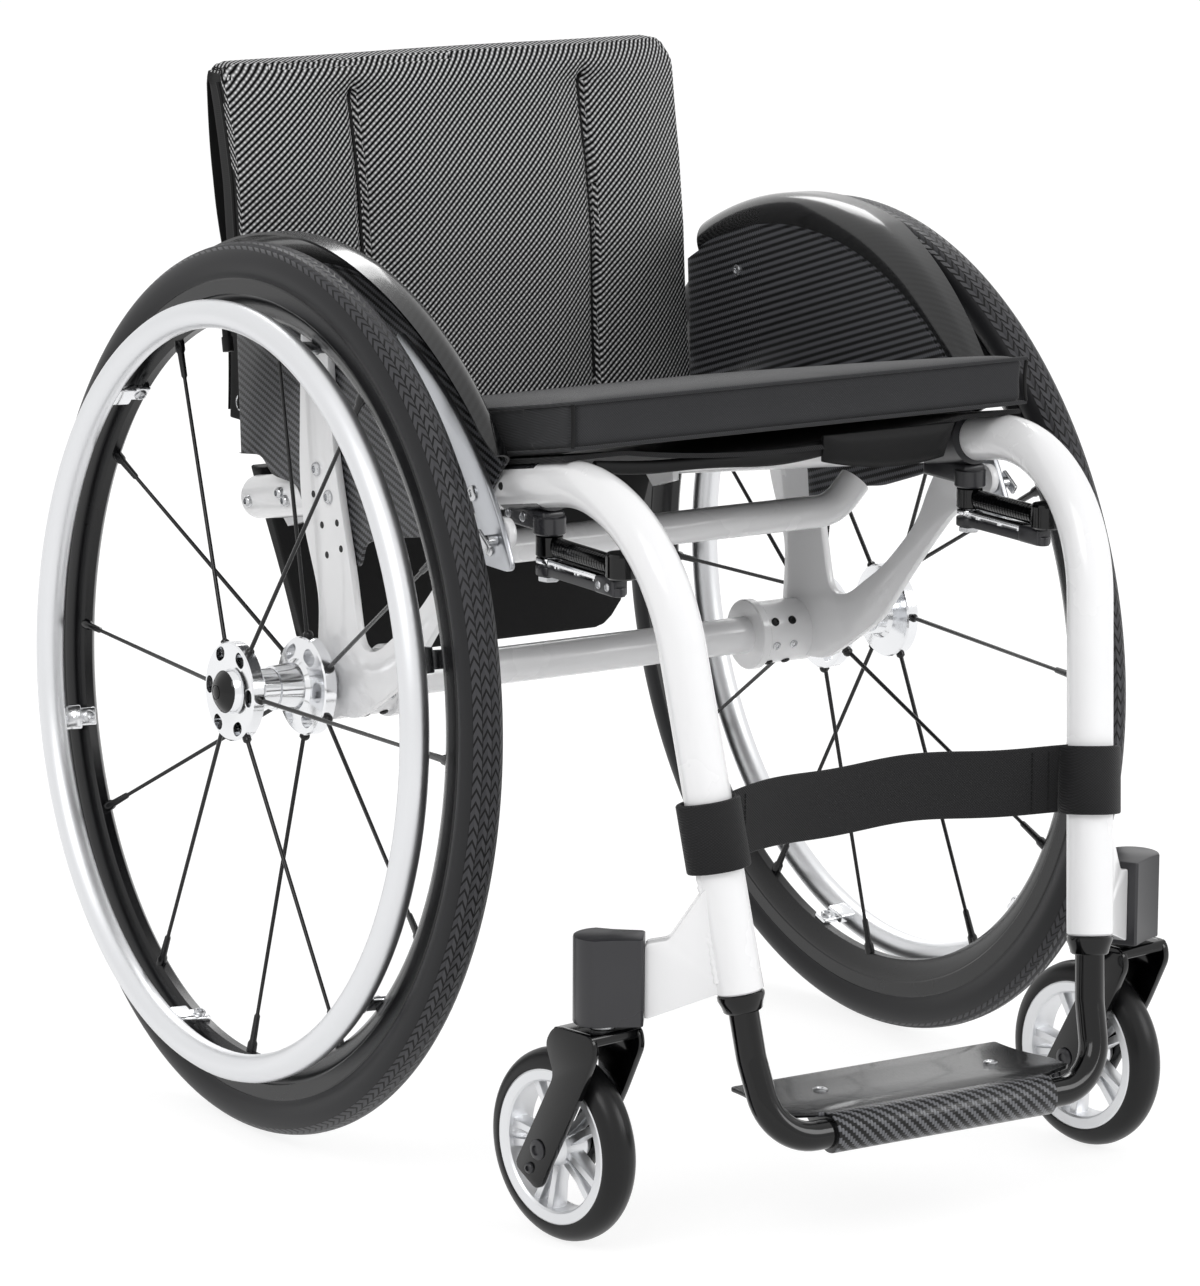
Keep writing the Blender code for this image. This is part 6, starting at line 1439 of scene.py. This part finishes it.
@dataclass
class Seat:
    """Foam cushion in a woven cover, on a sling between the seat tubes."""

    half_width: float = 0.176
    front_y: float = -0.282
    length: float = 0.358
    thickness: float = 0.032
    sling_front: float = -0.272
    sling_rear: float = 0.094
    sling_thickness: float = 0.0030

    def base(self, y: float) -> float:
        """Height of the sling's top, on which the cushion rests."""
        return seat_line(y) + SLING_RISE

    def cushion_point(self, across: float, along: float, height: float) -> Vector:
        """Finds a point of the crowned box that the cushion starts from.

        Args:
            across: Share from -1 at the right to 1 at the left.
            along: Share from -1 at the front to 1 at the rear.
            height: Share from 0 at the foot to 1 at the top.

        Returns:
            The point.
        """
        draw = 0.003 * 4 * height * (1 - height) * (1 - 0.6 * (across * along) ** 4)
        x = across * (self.half_width - draw * abs(across) - 0.001 * (1 - along ** 2))
        y = self.front_y + (along / 2 + 0.5) * self.length - along * draw
        crown = 0.003 * (1 - across ** 4) * (1 - along ** 4)
        return Vector((x, y, self.base(y) + height * (self.thickness + crown)))

    def rim_line(self, height: float, inset: float) -> list[Vector]:
        """Lays a closed line round the cushion.

        Args:
            height: Share of the cushion's height.
            inset: Distance that the line lies inside the box.

        Returns:
            The line's points.
        """
        corners = [(-1, -1), (1, -1), (1, 1), (-1, 1)]
        flat = []
        for (x0, y0), (x1, y1) in zip(corners, corners[1:] + corners[:1]):
            flat += [(x0 + (x1 - x0) * i / 24, y0 + (y1 - y0) * i / 24) for i in range(24)]
        line = []
        for u, v in flat:
            point = self.cushion_point(u, v, height)
            point.x -= inset * u if abs(u) > 0.9 else 0.0
            point.y -= inset * v if abs(v) > 0.9 else 0.0
            line.append(point)
        return line

    def cushion(self) -> None:
        """Swollen cushion with piped rims and a seam at each corner."""
        bm = grid_block((22, 22, 4))
        for vert in bm.verts:
            vert.co = self.cushion_point(2 * vert.co.x, 2 * vert.co.y, vert.co.z + 0.5)
        bevel_rims(bm, 0.0035, 3)
        bmesh.ops.recalc_face_normals(bm, faces=bm.faces)
        slope = bm.copy()
        bm.free()
        for vert in slope.verts:
            vert.co.z -= self.base(vert.co.y)
        slope = inflate(slope, 0.005, 0.0025, 0.0)
        for vert in slope.verts:
            vert.co.z = max(vert.co.z, 0.0002) + self.base(vert.co.y)
        piece = finish_piece(slope, "cushion", COVER_CLOTH, "frame", ["seat_cushion"], radians(60))
        piece.data.materials.append(COVER_FRONT.material())
        for face in piece.data.polygons:
            face.material_index = 1 if abs(face.normal.z) < 0.6 else 0
        bm = bmesh.new()
        for height in (0.96, 0.05):
            sweep(bm, self.rim_line(height, 0.0018), 0.0013, 8, closed=True)
        finish_piece(bm, "cushion_piping", COVER_FRONT, "frame")
        bm = bmesh.new()
        for u in (-1, 1):
            for v in (-1, 1):
                line = [self.cushion_point(u, v, 0.08 + 0.84 * step / 10) for step in range(11)]
                line = [point - Vector((u * 0.0014, v * 0.0014, 0)) for point in line]
                sweep(bm, line, 0.0013, 8)
        finish_piece(bm, "cushion_corner_seams", BAG_CLOTH, "frame")

    def sling(self) -> None:
        """Sheet over both tubes that sags between them, with its front hem and pocket."""
        bm = bmesh.new()
        bmesh.ops.create_grid(bm, x_segments=60, y_segments=40, size=0.5)
        run = self.sling_rear - self.sling_front
        for vert in bm.verts:
            across = 2 * vert.co.x
            y = self.sling_front + (vert.co.y + 0.5) * run
            sag = 0.010 * max(0.0, 1 - (across / 0.74) ** 2)
            vert.co = (across * self.half_width, y, self.base(y) - 0.0024 - sag)
        bmesh.ops.recalc_face_normals(bm, faces=bm.faces)
        bmesh.ops.solidify(bm, geom=bm.faces, thickness=self.sling_thickness)
        piece = finish_piece(bm, "sling", WEBBING, "frame", ["seat_sling"])

    def pocket(self) -> None:
        """Padded pocket that hangs from the sling's front edge, at the rider's left."""
        bm = grid_block((24, 4, 8))
        for vert in bm.verts:
            across, depth, height = 2 * vert.co.x, 2 * vert.co.y, vert.co.z + 0.5
            drop = (0.026 + 0.003 * across) * (1 - 0.20 * across ** 2) * (1 - height)
            swell = 0.0045 * (1 - (2 * height - 1) ** 4) * (1 - across ** 6)
            y = -0.2735 + depth * (0.0016 + swell) + 0.006 * (1 - height)
            vert.co = (0.0700 + across * (0.0515 - 0.004 * (1 - height)), y, self.base(-0.272) - 0.0060 - drop)
        bevel_rims(bm, 0.0016, 3)
        piece = finish_piece(bm, "sling_pocket", BAG_CLOTH, "frame", sharp=radians(60))
        bm = bmesh.new()
        line, sizes = [], []
        for step in range(37):
            share = step / 36
            x = -0.150 + 0.178 * share
            droop = 0.0045 * sin(pi * share) + 0.0012 * sin(9 * share) + 0.0030 * share
            line.append(Vector((x, -0.267 + 0.002 * sin(7 * share), self.base(-0.267) - 0.0105 - droop)))
            sizes.append(0.7 + 0.45 * share + 0.08 * sin(11 * share))
        section = arc((0.0, 0.0), 1.0, 0.0, 2 * pi * 13 / 14, 13)
        sweep(bm, line, sizes, section=[(0.0052 * u, 0.0036 * v) for u, v in section], across=Vector((0, 0, 1)))
        piece = finish_piece(bm, "sling_fold", BAG_CLOTH, "frame")

    def bag(self) -> None:
        """Flat bag behind the tubes' rear ends, slack at its foot."""
        slope = atan(SEAT_SLOPE)
        front = FRAME_REAR_Y + TUBE_RADIUS * sin(slope) + 0.0003
        top = seat_line(FRAME_REAR_Y) + TUBE_RADIUS + 0.0045
        bm = grid_block((36, 4, 20))
        for vert in bm.verts:
            across, depth, height = 2 * vert.co.x, vert.co.y + 0.5, vert.co.z + 0.5
            half = 0.130 + 0.034 * height
            corner = 0.018 * max(0.0, (abs(across) - 0.86) / 0.14) ** 2 * (1 - height)
            slack = 0.0022 * sin(9 * across + 2) * sin(5 * height) * depth
            full = 0.024 * (0.55 + 0.45 * (1 - across ** 6) * (1 - (2 * height - 0.7) ** 4 * 0.3))
            vert.co = (across * half, front + depth * full + slack, top - 0.141 * (1 - height) + corner)
        bevel_rims(bm, 0.003, 3)
        piece = finish_piece(bm, "bag", BAG_CLOTH, "frame", ["under_seat_bag"], radians(60))

    def build(self) -> None:
        """Builds the seat's pieces in order."""
        self.cushion()
        self.sling()
        self.pocket()
        self.bag()


@dataclass
class Back:
    """Padded back on two canes that fold forward on their hinge pins."""

    hinge_y: float = 0.140
    hinge_z: float = 0.46204
    half_width: float = 0.180
    bottom: float = -0.012
    top: float = 0.231
    groove_x: float = 0.092
    corner: float = 0.013
    cane_x: float = 0.167
    bar_z: float = 0.138
    cane_points: tuple[tuple[float, float], ...] = ((0.0, 0.0), (0.0055, 0.098), (0.012, 0.148), (0.025, 0.210))

    def cane_y(self, z: float) -> float:
        """Finds the centre line of the canes.

        Args:
            z: Height over the hinge.

        Returns:
            Distance behind the hinge.
        """
        for (y0, z0), (y1, z1) in zip(self.cane_points, self.cane_points[1:]):
            if z <= z1:
                return y0 + (y1 - y0) * (z - z0) / (z1 - z0)
        (y0, z0), (y1, z1) = self.cane_points[-2:]
        return y1 + (y1 - y0) / (z1 - z0) * (z - z1)

    def shape(self, across: float, depth: float, share: float) -> Vector:
        """Finds a point of the pad.

        Args:
            across: Share from -1 at the right to 1 at the left.
            depth: Share from 0 at the front to 1 at the rear.
            share: Share of the height, from 0 to 1.

        Returns:
            The point.
        """
        z = self.bottom + share * (self.top - self.bottom) - 0.003 * share * across ** 2
        half = self.half_width - 0.003 * sin(pi * share)
        x = across * half
        u = 1 - (half - abs(x)) / self.corner
        v = 1 - (1 - share) * (self.top - self.bottom) / self.corner
        if u > 0 and v > 0:
            pull = max(u, v) / hypot(u, v)
            x -= copysign((u - u * pull) * self.corner, x)
            z -= (v - v * pull) * self.corner
        bulge = 0.020 * (1 - across ** 4) ** 2
        fade = max(0.0, min(1.0, (0.955 - share) / 0.06))
        away = min(abs(x - self.groove_x), abs(x + self.groove_x))
        groove = fade * (0.0085 * exp(-(away / 0.026) ** 2) + 0.0062 * exp(-(away / 0.0034) ** 2))
        roll = 0.008 * max(0.0, (abs(across) - 0.80) / 0.20) ** 2 + 0.009 * max(0.0, (share - 0.90) / 0.10) ** 2
        front = self.cane_y(z) - bulge - 0.017 + groove + roll
        puff = 0.0010 * sin(3.1 * share * pi) * sin(2.2 * across + 0.5)
        rear = self.cane_y(z) - bulge * 0.8 + 0.015
        return Vector((x, self.hinge_y + front + puff + (rear - front) * depth, self.hinge_z + z))

    def pad(self) -> None:
        """Pad in three upright panels, its rims rounded and piped, with a plain rear half and painted shade lines
        down its grooves.
        """
        bm = grid_block((150, 6, 48))
        for vert in bm.verts:
            vert.co = self.shape(2 * vert.co.x, vert.co.y + 0.5, vert.co.z + 0.5)
        bevel_rims(bm, 0.0100, 5)
        bmesh.ops.recalc_face_normals(bm, faces=bm.faces)
        piece = finish_piece(bm, "back_pad", BACK_MESH, "back", ["back_upholstery"], radians(60))
        piece.data.materials.append(BAG_CLOTH.material())
        layer = piece.data.uv_layers.new(name="Cloth")
        for face in piece.data.polygons:
            x, y, z = face.center
            height = z - self.hinge_z
            bulge = 0.019 * (1 - (x / self.half_width) ** 4) ** 2
            rear = y - AXLE_Y - self.hinge_y - self.cane_y(height) + bulge
            sideways = abs(face.normal.x) > 0.75
            level = abs(face.normal.z) > 0.75
            limit = 0.0145 if face.normal.z > 0.5 else -0.0035 if abs(face.normal.x) > 0.6 else 0.008
            face.material_index = int(rear > limit)
            for loop in face.loop_indices:
                point = piece.data.vertices[piece.data.loops[loop].vertex_index].co
                layer.data[loop].uv = (point.y if sideways else point.x, point.y if level else point.z)
        bm = bmesh.new()
        for side in (-1, 1):
            sweep(bm, [self.shape(side, 0.40, share / 60) for share in range(2, 58)], 0.0016, 10)
            # A thin black line down each groove's bottom: painted shade where the groove is only shadowed.
            across = side * self.groove_x / (self.half_width - 0.0015)
            line = [self.shape(across, 0.0, share / 60) + Vector((0, -0.0004, 0)) for share in range(3, 56)]
            sweep(bm, line, 0.0013, 8)
        finish_piece(bm, "back_piping_and_groove_shade", BAG_CLOTH, "back")

    def rear_cover(self) -> None:
        """Slack cover behind the pad, which bows away from it at the sides and rides over the bar."""
        bm = bmesh.new()
        bmesh.ops.create_grid(bm, x_segments=48, y_segments=36, size=0.5)
        for vert in bm.verts:
            across, share = 2 * vert.co.x, vert.co.y + 0.5
            point = self.shape(across * 0.992, 1.0, 0.02 + 0.945 * share)
            bow = sin(pi * max(0.0, share - 0.42) / 0.58)
            point.y += 0.0040 + 0.011 * bow * across ** 2 + 0.0008 * sin(6 * across) * sin(4 * share)
            height = point.z - self.hinge_z
            ridge = 0.0095 * exp(-((height - self.bar_z) / 0.024) ** 2)
            point.y = max(point.y, self.hinge_y + self.cane_y(height) + ridge)
            vert.co = point
        bmesh.ops.recalc_face_normals(bm, faces=bm.faces)
        bmesh.ops.solidify(bm, geom=bm.faces, thickness=0.0012)
        piece = finish_piece(bm, "back_cover", BAG_CLOTH, "back")

    def canes(self) -> None:
        """Black canes, with a cap on each top."""
        for side in Side:
            part = SidePart(side)
            path = [part.at(self.cane_x, self.hinge_y + y, self.hinge_z + z) for y, z in self.cane_points]
            foot = path[0] - (path[1] - path[0]).normalized() * 0.012
            line = smooth_line([foot] + path, 8)
            bm = bmesh.new()
            line = [line[0], line[0] + (line[1] - line[0]) * 0.2] + line[1:]
            sweep(bm, line, [0.0085] + [0.0095] * (len(line) - 1), 28)
            finish_piece(bm, part.named("cane"), BLACK_ANODISED, "back", [part.named("back_cane")])
            dress(part.named("back_bracket"), WHITE_ENAMEL)
            bm = bmesh.new()
            for x, out in ((0.1778, part.outward), (0.1457, -part.outward)):
                screw(bm, part.at(x, self.hinge_y, self.hinge_z), out, 0.0066, 0.0028)
            part.piece(bm, "hinge_screws", STEEL)
        dress("back_bar", BLACK_ANODISED)

    def build(self) -> None:
        """Builds the back's pieces in order."""
        self.pad()
        self.rear_cover()
        self.canes()


@dataclass
class CalfStrap:
    """Webbing behind the calves, looped and sewn round both legs."""

    height: float = 0.046
    middle_z: float = 0.268
    thickness: float = 0.003
    sag: float = 0.030

    def band_section(self, thick: float) -> Flat:
        """Draws the section of the webbing, with rounded rims.

        Args:
            thick: Thickness of the webbing.

        Returns:
            Corners as (along the height, along the thickness).
        """
        half, edge = self.height / 2 - 0.001, thick / 2
        upper = [(half, edge * 0.4), (half - 0.0008, edge), (-half + 0.0008, edge), (-half, edge * 0.4)]
        return upper + [(-u, -v) for u, v in upper]

    def build(self) -> None:
        """Builds the band, its two loops and their stitches."""
        leg = leg_point(1, self.middle_z)
        reach, end_y = leg.x - 0.010, leg.y + 0.008
        line = []
        for index in range(49):
            x = -reach + 2 * reach * index / 48
            wave_z = 0.0012 * sin(7.0 * x / reach)
            line.append(Vector((x, end_y + self.sag * (1 - (x / reach) ** 2), self.middle_z + wave_z)))
        bm = bmesh.new()
        sweep(bm, line, 1.0, section=self.band_section(self.thickness - 0.0006), across=Vector((0, 0, 1)))
        thread = bmesh.new()
        for side in (-1, 1):
            ahead = (leg_point(side, 0.3) - leg_point(side, 0.2)).normalized()
            centre = leg_point(side, self.middle_z)
            first = Vector((1, 0, 0)) - ahead * ahead.x
            first.normalize()
            second = ahead.cross(first)
            for radius, width in ((0.0178, 1.0), (0.0193, 0.985)):
                ring = []
                for index in range(48):
                    turn = 2 * pi * index / 48
                    swell = 0.0006 * sin(3 * turn + side)
                    ring.append(centre + (first * cos(turn) + second * sin(turn)) * (radius + swell))
                section = [(u * width, v) for u, v in self.band_section(0.0019)]
                sweep(bm, ring, 1.0, section=section, across=ahead, closed=True)
            for offset in (0.020, 0.030):
                x = side * (leg.x - offset - 0.004)
                y = end_y + self.sag * (1 - (x / reach) ** 2)
                for face in (-1, 1):
                    edge = self.thickness / 2 * face
                    stitches(thread, Vector((x, y + edge, self.middle_z - 0.019)),
                             Vector((x, y + edge, self.middle_z + 0.019)), Vector((0, face, 0)))
        strap = finish_piece(bm, "calf_band", WEBBING, "frame", ["calf_strap"])
        finish_piece(thread, "calf_band_stitches", BAG_CLOTH, "frame")


@dataclass
class Brake(SidePart):
    """Scissor brake: clamp with its post, shoe arm and hand lever."""

    pivot_y: float = -0.235
    x: float = 0.163
    arm_height: float = 0.014
    lever_height: float = 0.012

    def arm(self, length: float, half: float, top: float, height: float) -> BMesh:
        """Makes a flat arm with a round boss on the post and a round tip, running forward.

        Args:
            length: Distance from the post to the middle of the tip.
            half: Radius of the tip.
            top: Height of the upper face.
            height: Thickness of the arm.

        Returns:
            The arm's mesh.
        """
        outline = arc((0.0, 0.0), 0.0088, radians(-55), radians(235), 24)
        outline += [(-half, -length * 0.45)] + arc((0.0, -length), half, pi, 2 * pi, 12)
        outline += [(half, -length * 0.45)]
        bm = bmesh.new()
        place = Matrix.Translation(self.at(self.x, self.pivot_y, top - height))
        sheet_solid(bm, fillet(outline, 0.004, 3), 0.0004, height - 0.0008, 0.0011, place)
        return bm

    def build(self) -> None:
        """Builds the clamp, both arms, their shoe and grip, and the screws."""
        x = self.sign * self.x
        arm_top = seat_line(self.pivot_y) - TUBE_RADIUS - 0.017 - 0.0003
        low = arm_top + 0.0003
        rear_y = self.pivot_y + 0.043
        bm = bmesh.new()
        block(bm, (x - 0.0085, self.pivot_y - 0.006, low + 0.0020), (x + 0.0085, rear_y, low + 0.0155), 0.0024)
        rod(bm, (x, self.pivot_y, low), (x, self.pivot_y, low + 0.0120), 0.0105, 32, 0.0010)
        sweep(bm, [Vector((x, y, seat_line(y))) for y in (self.pivot_y - 0.004, rear_y - 0.002)], 0.0172, 36)
        self.piece(bm, "brake_mount", BLACK_BLASTED, "brake_clamp")
        bm = bmesh.new()
        foot = low - self.arm_height - self.lever_height
        rod(bm, (x, self.pivot_y, foot - 0.004), (x, self.pivot_y, low + 0.004), 0.0046, 24, 0.0006)
        rod(bm, (x, self.pivot_y, foot - 0.0042), (x, self.pivot_y, foot - 0.0006), 0.0072, 6, 0.0006)
        for y in (rear_y - 0.008, self.pivot_y + 0.018):
            screw(bm, (x + self.sign * 0.0084, y, low + 0.009), self.outward, 0.0034, 0.0018)
        self.piece(bm, "brake_post", STEEL)
        middle = arm_top - self.arm_height / 2
        shoe_y = self.pivot_y - 0.086
        bm = bmesh.new()
        rod(bm, (x, self.pivot_y, arm_top), (x, self.pivot_y, arm_top - self.arm_height), 0.0088, 36, 0.0010)
        ribs = [Vector((x, self.pivot_y - 0.0070, middle)), Vector((x, self.pivot_y - 0.0120, middle))]
        sizes = [0.0042, 0.0042]
        for step in range(21):
            y = self.pivot_y - 0.0125 - 0.0030 * step
            ribs += [Vector((x, y, middle)), Vector((x, y - 0.0022, middle))]
            sizes += [0.0064, 0.0064]
            ribs += [Vector((x, y - 0.0024, middle)), Vector((x, y - 0.0029, middle))]
            sizes += [0.0057, 0.0057]
        sweep(bm, ribs, sizes, 28)
        shoe = [(0.0, 0.0004), (0.0094, 0.0004), (0.0106, 0.0016), (0.0106, 0.0150), (0.0094, 0.0165), (0.0, 0.0168)]
        spin_ring(bm, shoe, 40, Matrix.Translation((x, shoe_y, arm_top - self.arm_height)), closed=False)
        self.piece(bm, "brake_shoe_arm", BLACK_ENAMEL, "brake_arm", "brake_arm")
        lever_top = arm_top - self.arm_height - 0.0003
        bm, trim = self.arm(0.082, 0.0045, lever_top - 0.0052, self.lever_height - 0.0052), bmesh.new()
        join(trim, self.arm(0.064, 0.0052, lever_top, 0.0042))
        for run in (0.012, 0.036, 0.058):
            spot = Vector((x, self.pivot_y - run, lever_top - self.lever_height + 0.0004))
            rod(trim, spot, spot + Vector((0, 0, 0.0085)), 0.0036, 20, 0.0005)
        block(bm, (x - 0.0058, self.pivot_y - 0.084, lever_top - self.lever_height + 0.0004),
              (x + 0.0058, self.pivot_y - 0.062, lever_top - 0.0004), 0.0018)
        self.piece(bm, "brake_hand_lever", BLACK_BLASTED, "brake_lever", "brake_lever")
        self.piece(trim, "brake_lever_links", POLISHED_SILVER, body="brake_lever")
        bm = bmesh.new()
        for y in (self.pivot_y - 0.068, self.pivot_y - 0.078):
            screw(bm, (x + self.sign * 0.0057, y, lever_top - self.lever_height / 2), self.outward, 0.0026,
                  0.0014)
        self.piece(bm, "brake_lever_screws", STEEL, body="brake_lever")


@dataclass
class Studio:
    """Pale floor, soft lamps and the camera at the photograph's angle."""

    position: tuple[float, float, float] = (-2.1387, -3.3598, 1.1556)
    azimuth: float = radians(-32.157)
    elevation: float = radians(11.919)
    roll: float = radians(0.275)
    focal_pixels: float = 6060.4
    image_height: int = 1286
    sensor: float = 36.0
    aim: tuple[float, float, float] = (0.0, 0.0, 0.35)
    lamps: tuple[tuple[str, Point, float, float], ...] = (("key_lamp", (-2.2, -1.6, 2.6), 1.6, 30.0),
                                                          ("front_lamp", (1.9, -2.4, 1.8), 1.4, 29.0),
                                                          ("rim_lamp", (1.2, 2.2, 2.4), 1.2, 22.0))

    def camera(self) -> None:
        """Sets the camera that the photograph was solved to."""
        flat = cos(self.elevation)
        ahead = Vector((-sin(self.azimuth) * flat, cos(self.azimuth) * flat, -sin(self.elevation)))
        right = ahead.cross(Vector((0, 0, 1))).normalized()
        up = right.cross(ahead)
        level = right * cos(self.roll) + up * sin(self.roll)
        upright = up * cos(self.roll) - right * sin(self.roll)
        lens = bpy.data.cameras.new("studio_camera")
        lens.sensor_fit = "AUTO"
        lens.sensor_width = self.sensor
        lens.lens = self.focal_pixels * self.sensor / self.image_height
        lens.clip_end = 60.0
        camera = bpy.data.objects.new("studio_camera", lens)
        bpy.context.scene.collection.objects.link(camera)
        place = Matrix((level, upright, -ahead)).transposed().to_4x4()
        place.translation = self.position
        camera.matrix_world = place
        bpy.context.scene.camera = camera

    def seen(self, tree: NodeTree) -> Node:
        """Adds a value of one for rays from the camera and for reflected and refracted ones.

        Args:
            tree: Tree that gets the nodes.

        Returns:
            The node that gives the value.
        """
        path = add_node(tree, "LightPath")
        bent = add_node(tree, "Math", {"operation": "MAXIMUM"},
                        [path.outputs["Is Glossy Ray"], path.outputs["Is Transmission Ray"]])
        return add_node(tree, "Math", {"operation": "MAXIMUM"}, [path.outputs["Is Camera Ray"], bent])

    def world(self) -> None:
        """White surroundings for the eye, and a plain soft light on the chair."""
        world = bpy.data.worlds.new("studio_world")
        bpy.context.scene.world = world
        world.use_nodes = True
        tree = world.node_tree
        back = tree.nodes["Background"]
        back.inputs["Color"].default_value = (1.0, 1.0, 1.0, 1.0)
        strength = add_node(tree, "MapRange",
                            inputs={"Value": self.seen(tree), "To Min": 0.67, "To Max": 1.0})
        tree.links.new(strength.outputs["Result"], back.inputs["Strength"])

    def lamp(self, name: str, place: Point, size: float, power: float) -> None:
        """Adds a square lamp that faces the chair's middle.

        Args:
            name: The lamp's name.
            place: Where it stands.
            size: Its width in metres.
            power: Its power in watts.
        """
        light = bpy.data.lights.new(name, "AREA")
        light.size = size
        light.energy = power
        lamp = bpy.data.objects.new(name, light)
        bpy.context.scene.collection.objects.link(lamp)
        lamp.location = place
        lamp.rotation_euler = (Vector(self.aim) - Vector(place)).to_track_quat("-Z", "Y").to_euler()

    def floor(self) -> None:
        """Pale floor that goes white away from the chair and keeps its soft shadow."""
        bm = bmesh.new()
        bmesh.ops.create_grid(bm, x_segments=1, y_segments=1, size=14.0,
                              matrix=Matrix.Translation((0.0, 0.0, -0.0006)))
        mesh = bpy.data.meshes.new("studio_floor")
        bm.to_mesh(mesh)
        bm.free()
        material = bpy.data.materials.new("matt_white_backdrop_paper")
        material.use_nodes = True
        tree = material.node_tree
        shader = tree.nodes["Principled BSDF"]
        shader.inputs["Base Color"].default_value = linear("#F4F4F4")
        shader.inputs["Roughness"].default_value = 0.9
        glow = add_node(tree, "Emission", inputs={"Strength": 1.2})
        share = add_node(tree, "Math", {"operation": "MULTIPLY"}, [self.seen(tree), 0.7])
        mixed = add_node(tree, "MixShader", inputs=[share, shader, glow])
        tree.links.new(mixed.outputs[0], tree.nodes["Material Output"].inputs["Surface"])
        mesh.materials.append(material)
        floor = bpy.data.objects.new("studio_floor", mesh)
        bpy.context.scene.collection.objects.link(floor)

    def build(self) -> None:
        """Sets up the camera, the light and the floor."""
        self.camera()
        self.world()
        for lamp in self.lamps:
            self.lamp(*lamp)
        self.floor()
        bpy.context.scene.view_settings.view_transform = "Standard"


def main() -> None:
    """Builds the studio and the chair."""
    logging.basicConfig(level=logging.INFO, format="%(name)s: %(message)s")
    Studio().build()
    CrossMembers().build()
    for side in Side:
        SideFrame(side).build()
        Caster(side).build()
        RearWheel(side).build()
        Brake(side).build()
    Seat().build()
    Back().build()
    CalfStrap().build()


if __name__ == "__main__":
    main()
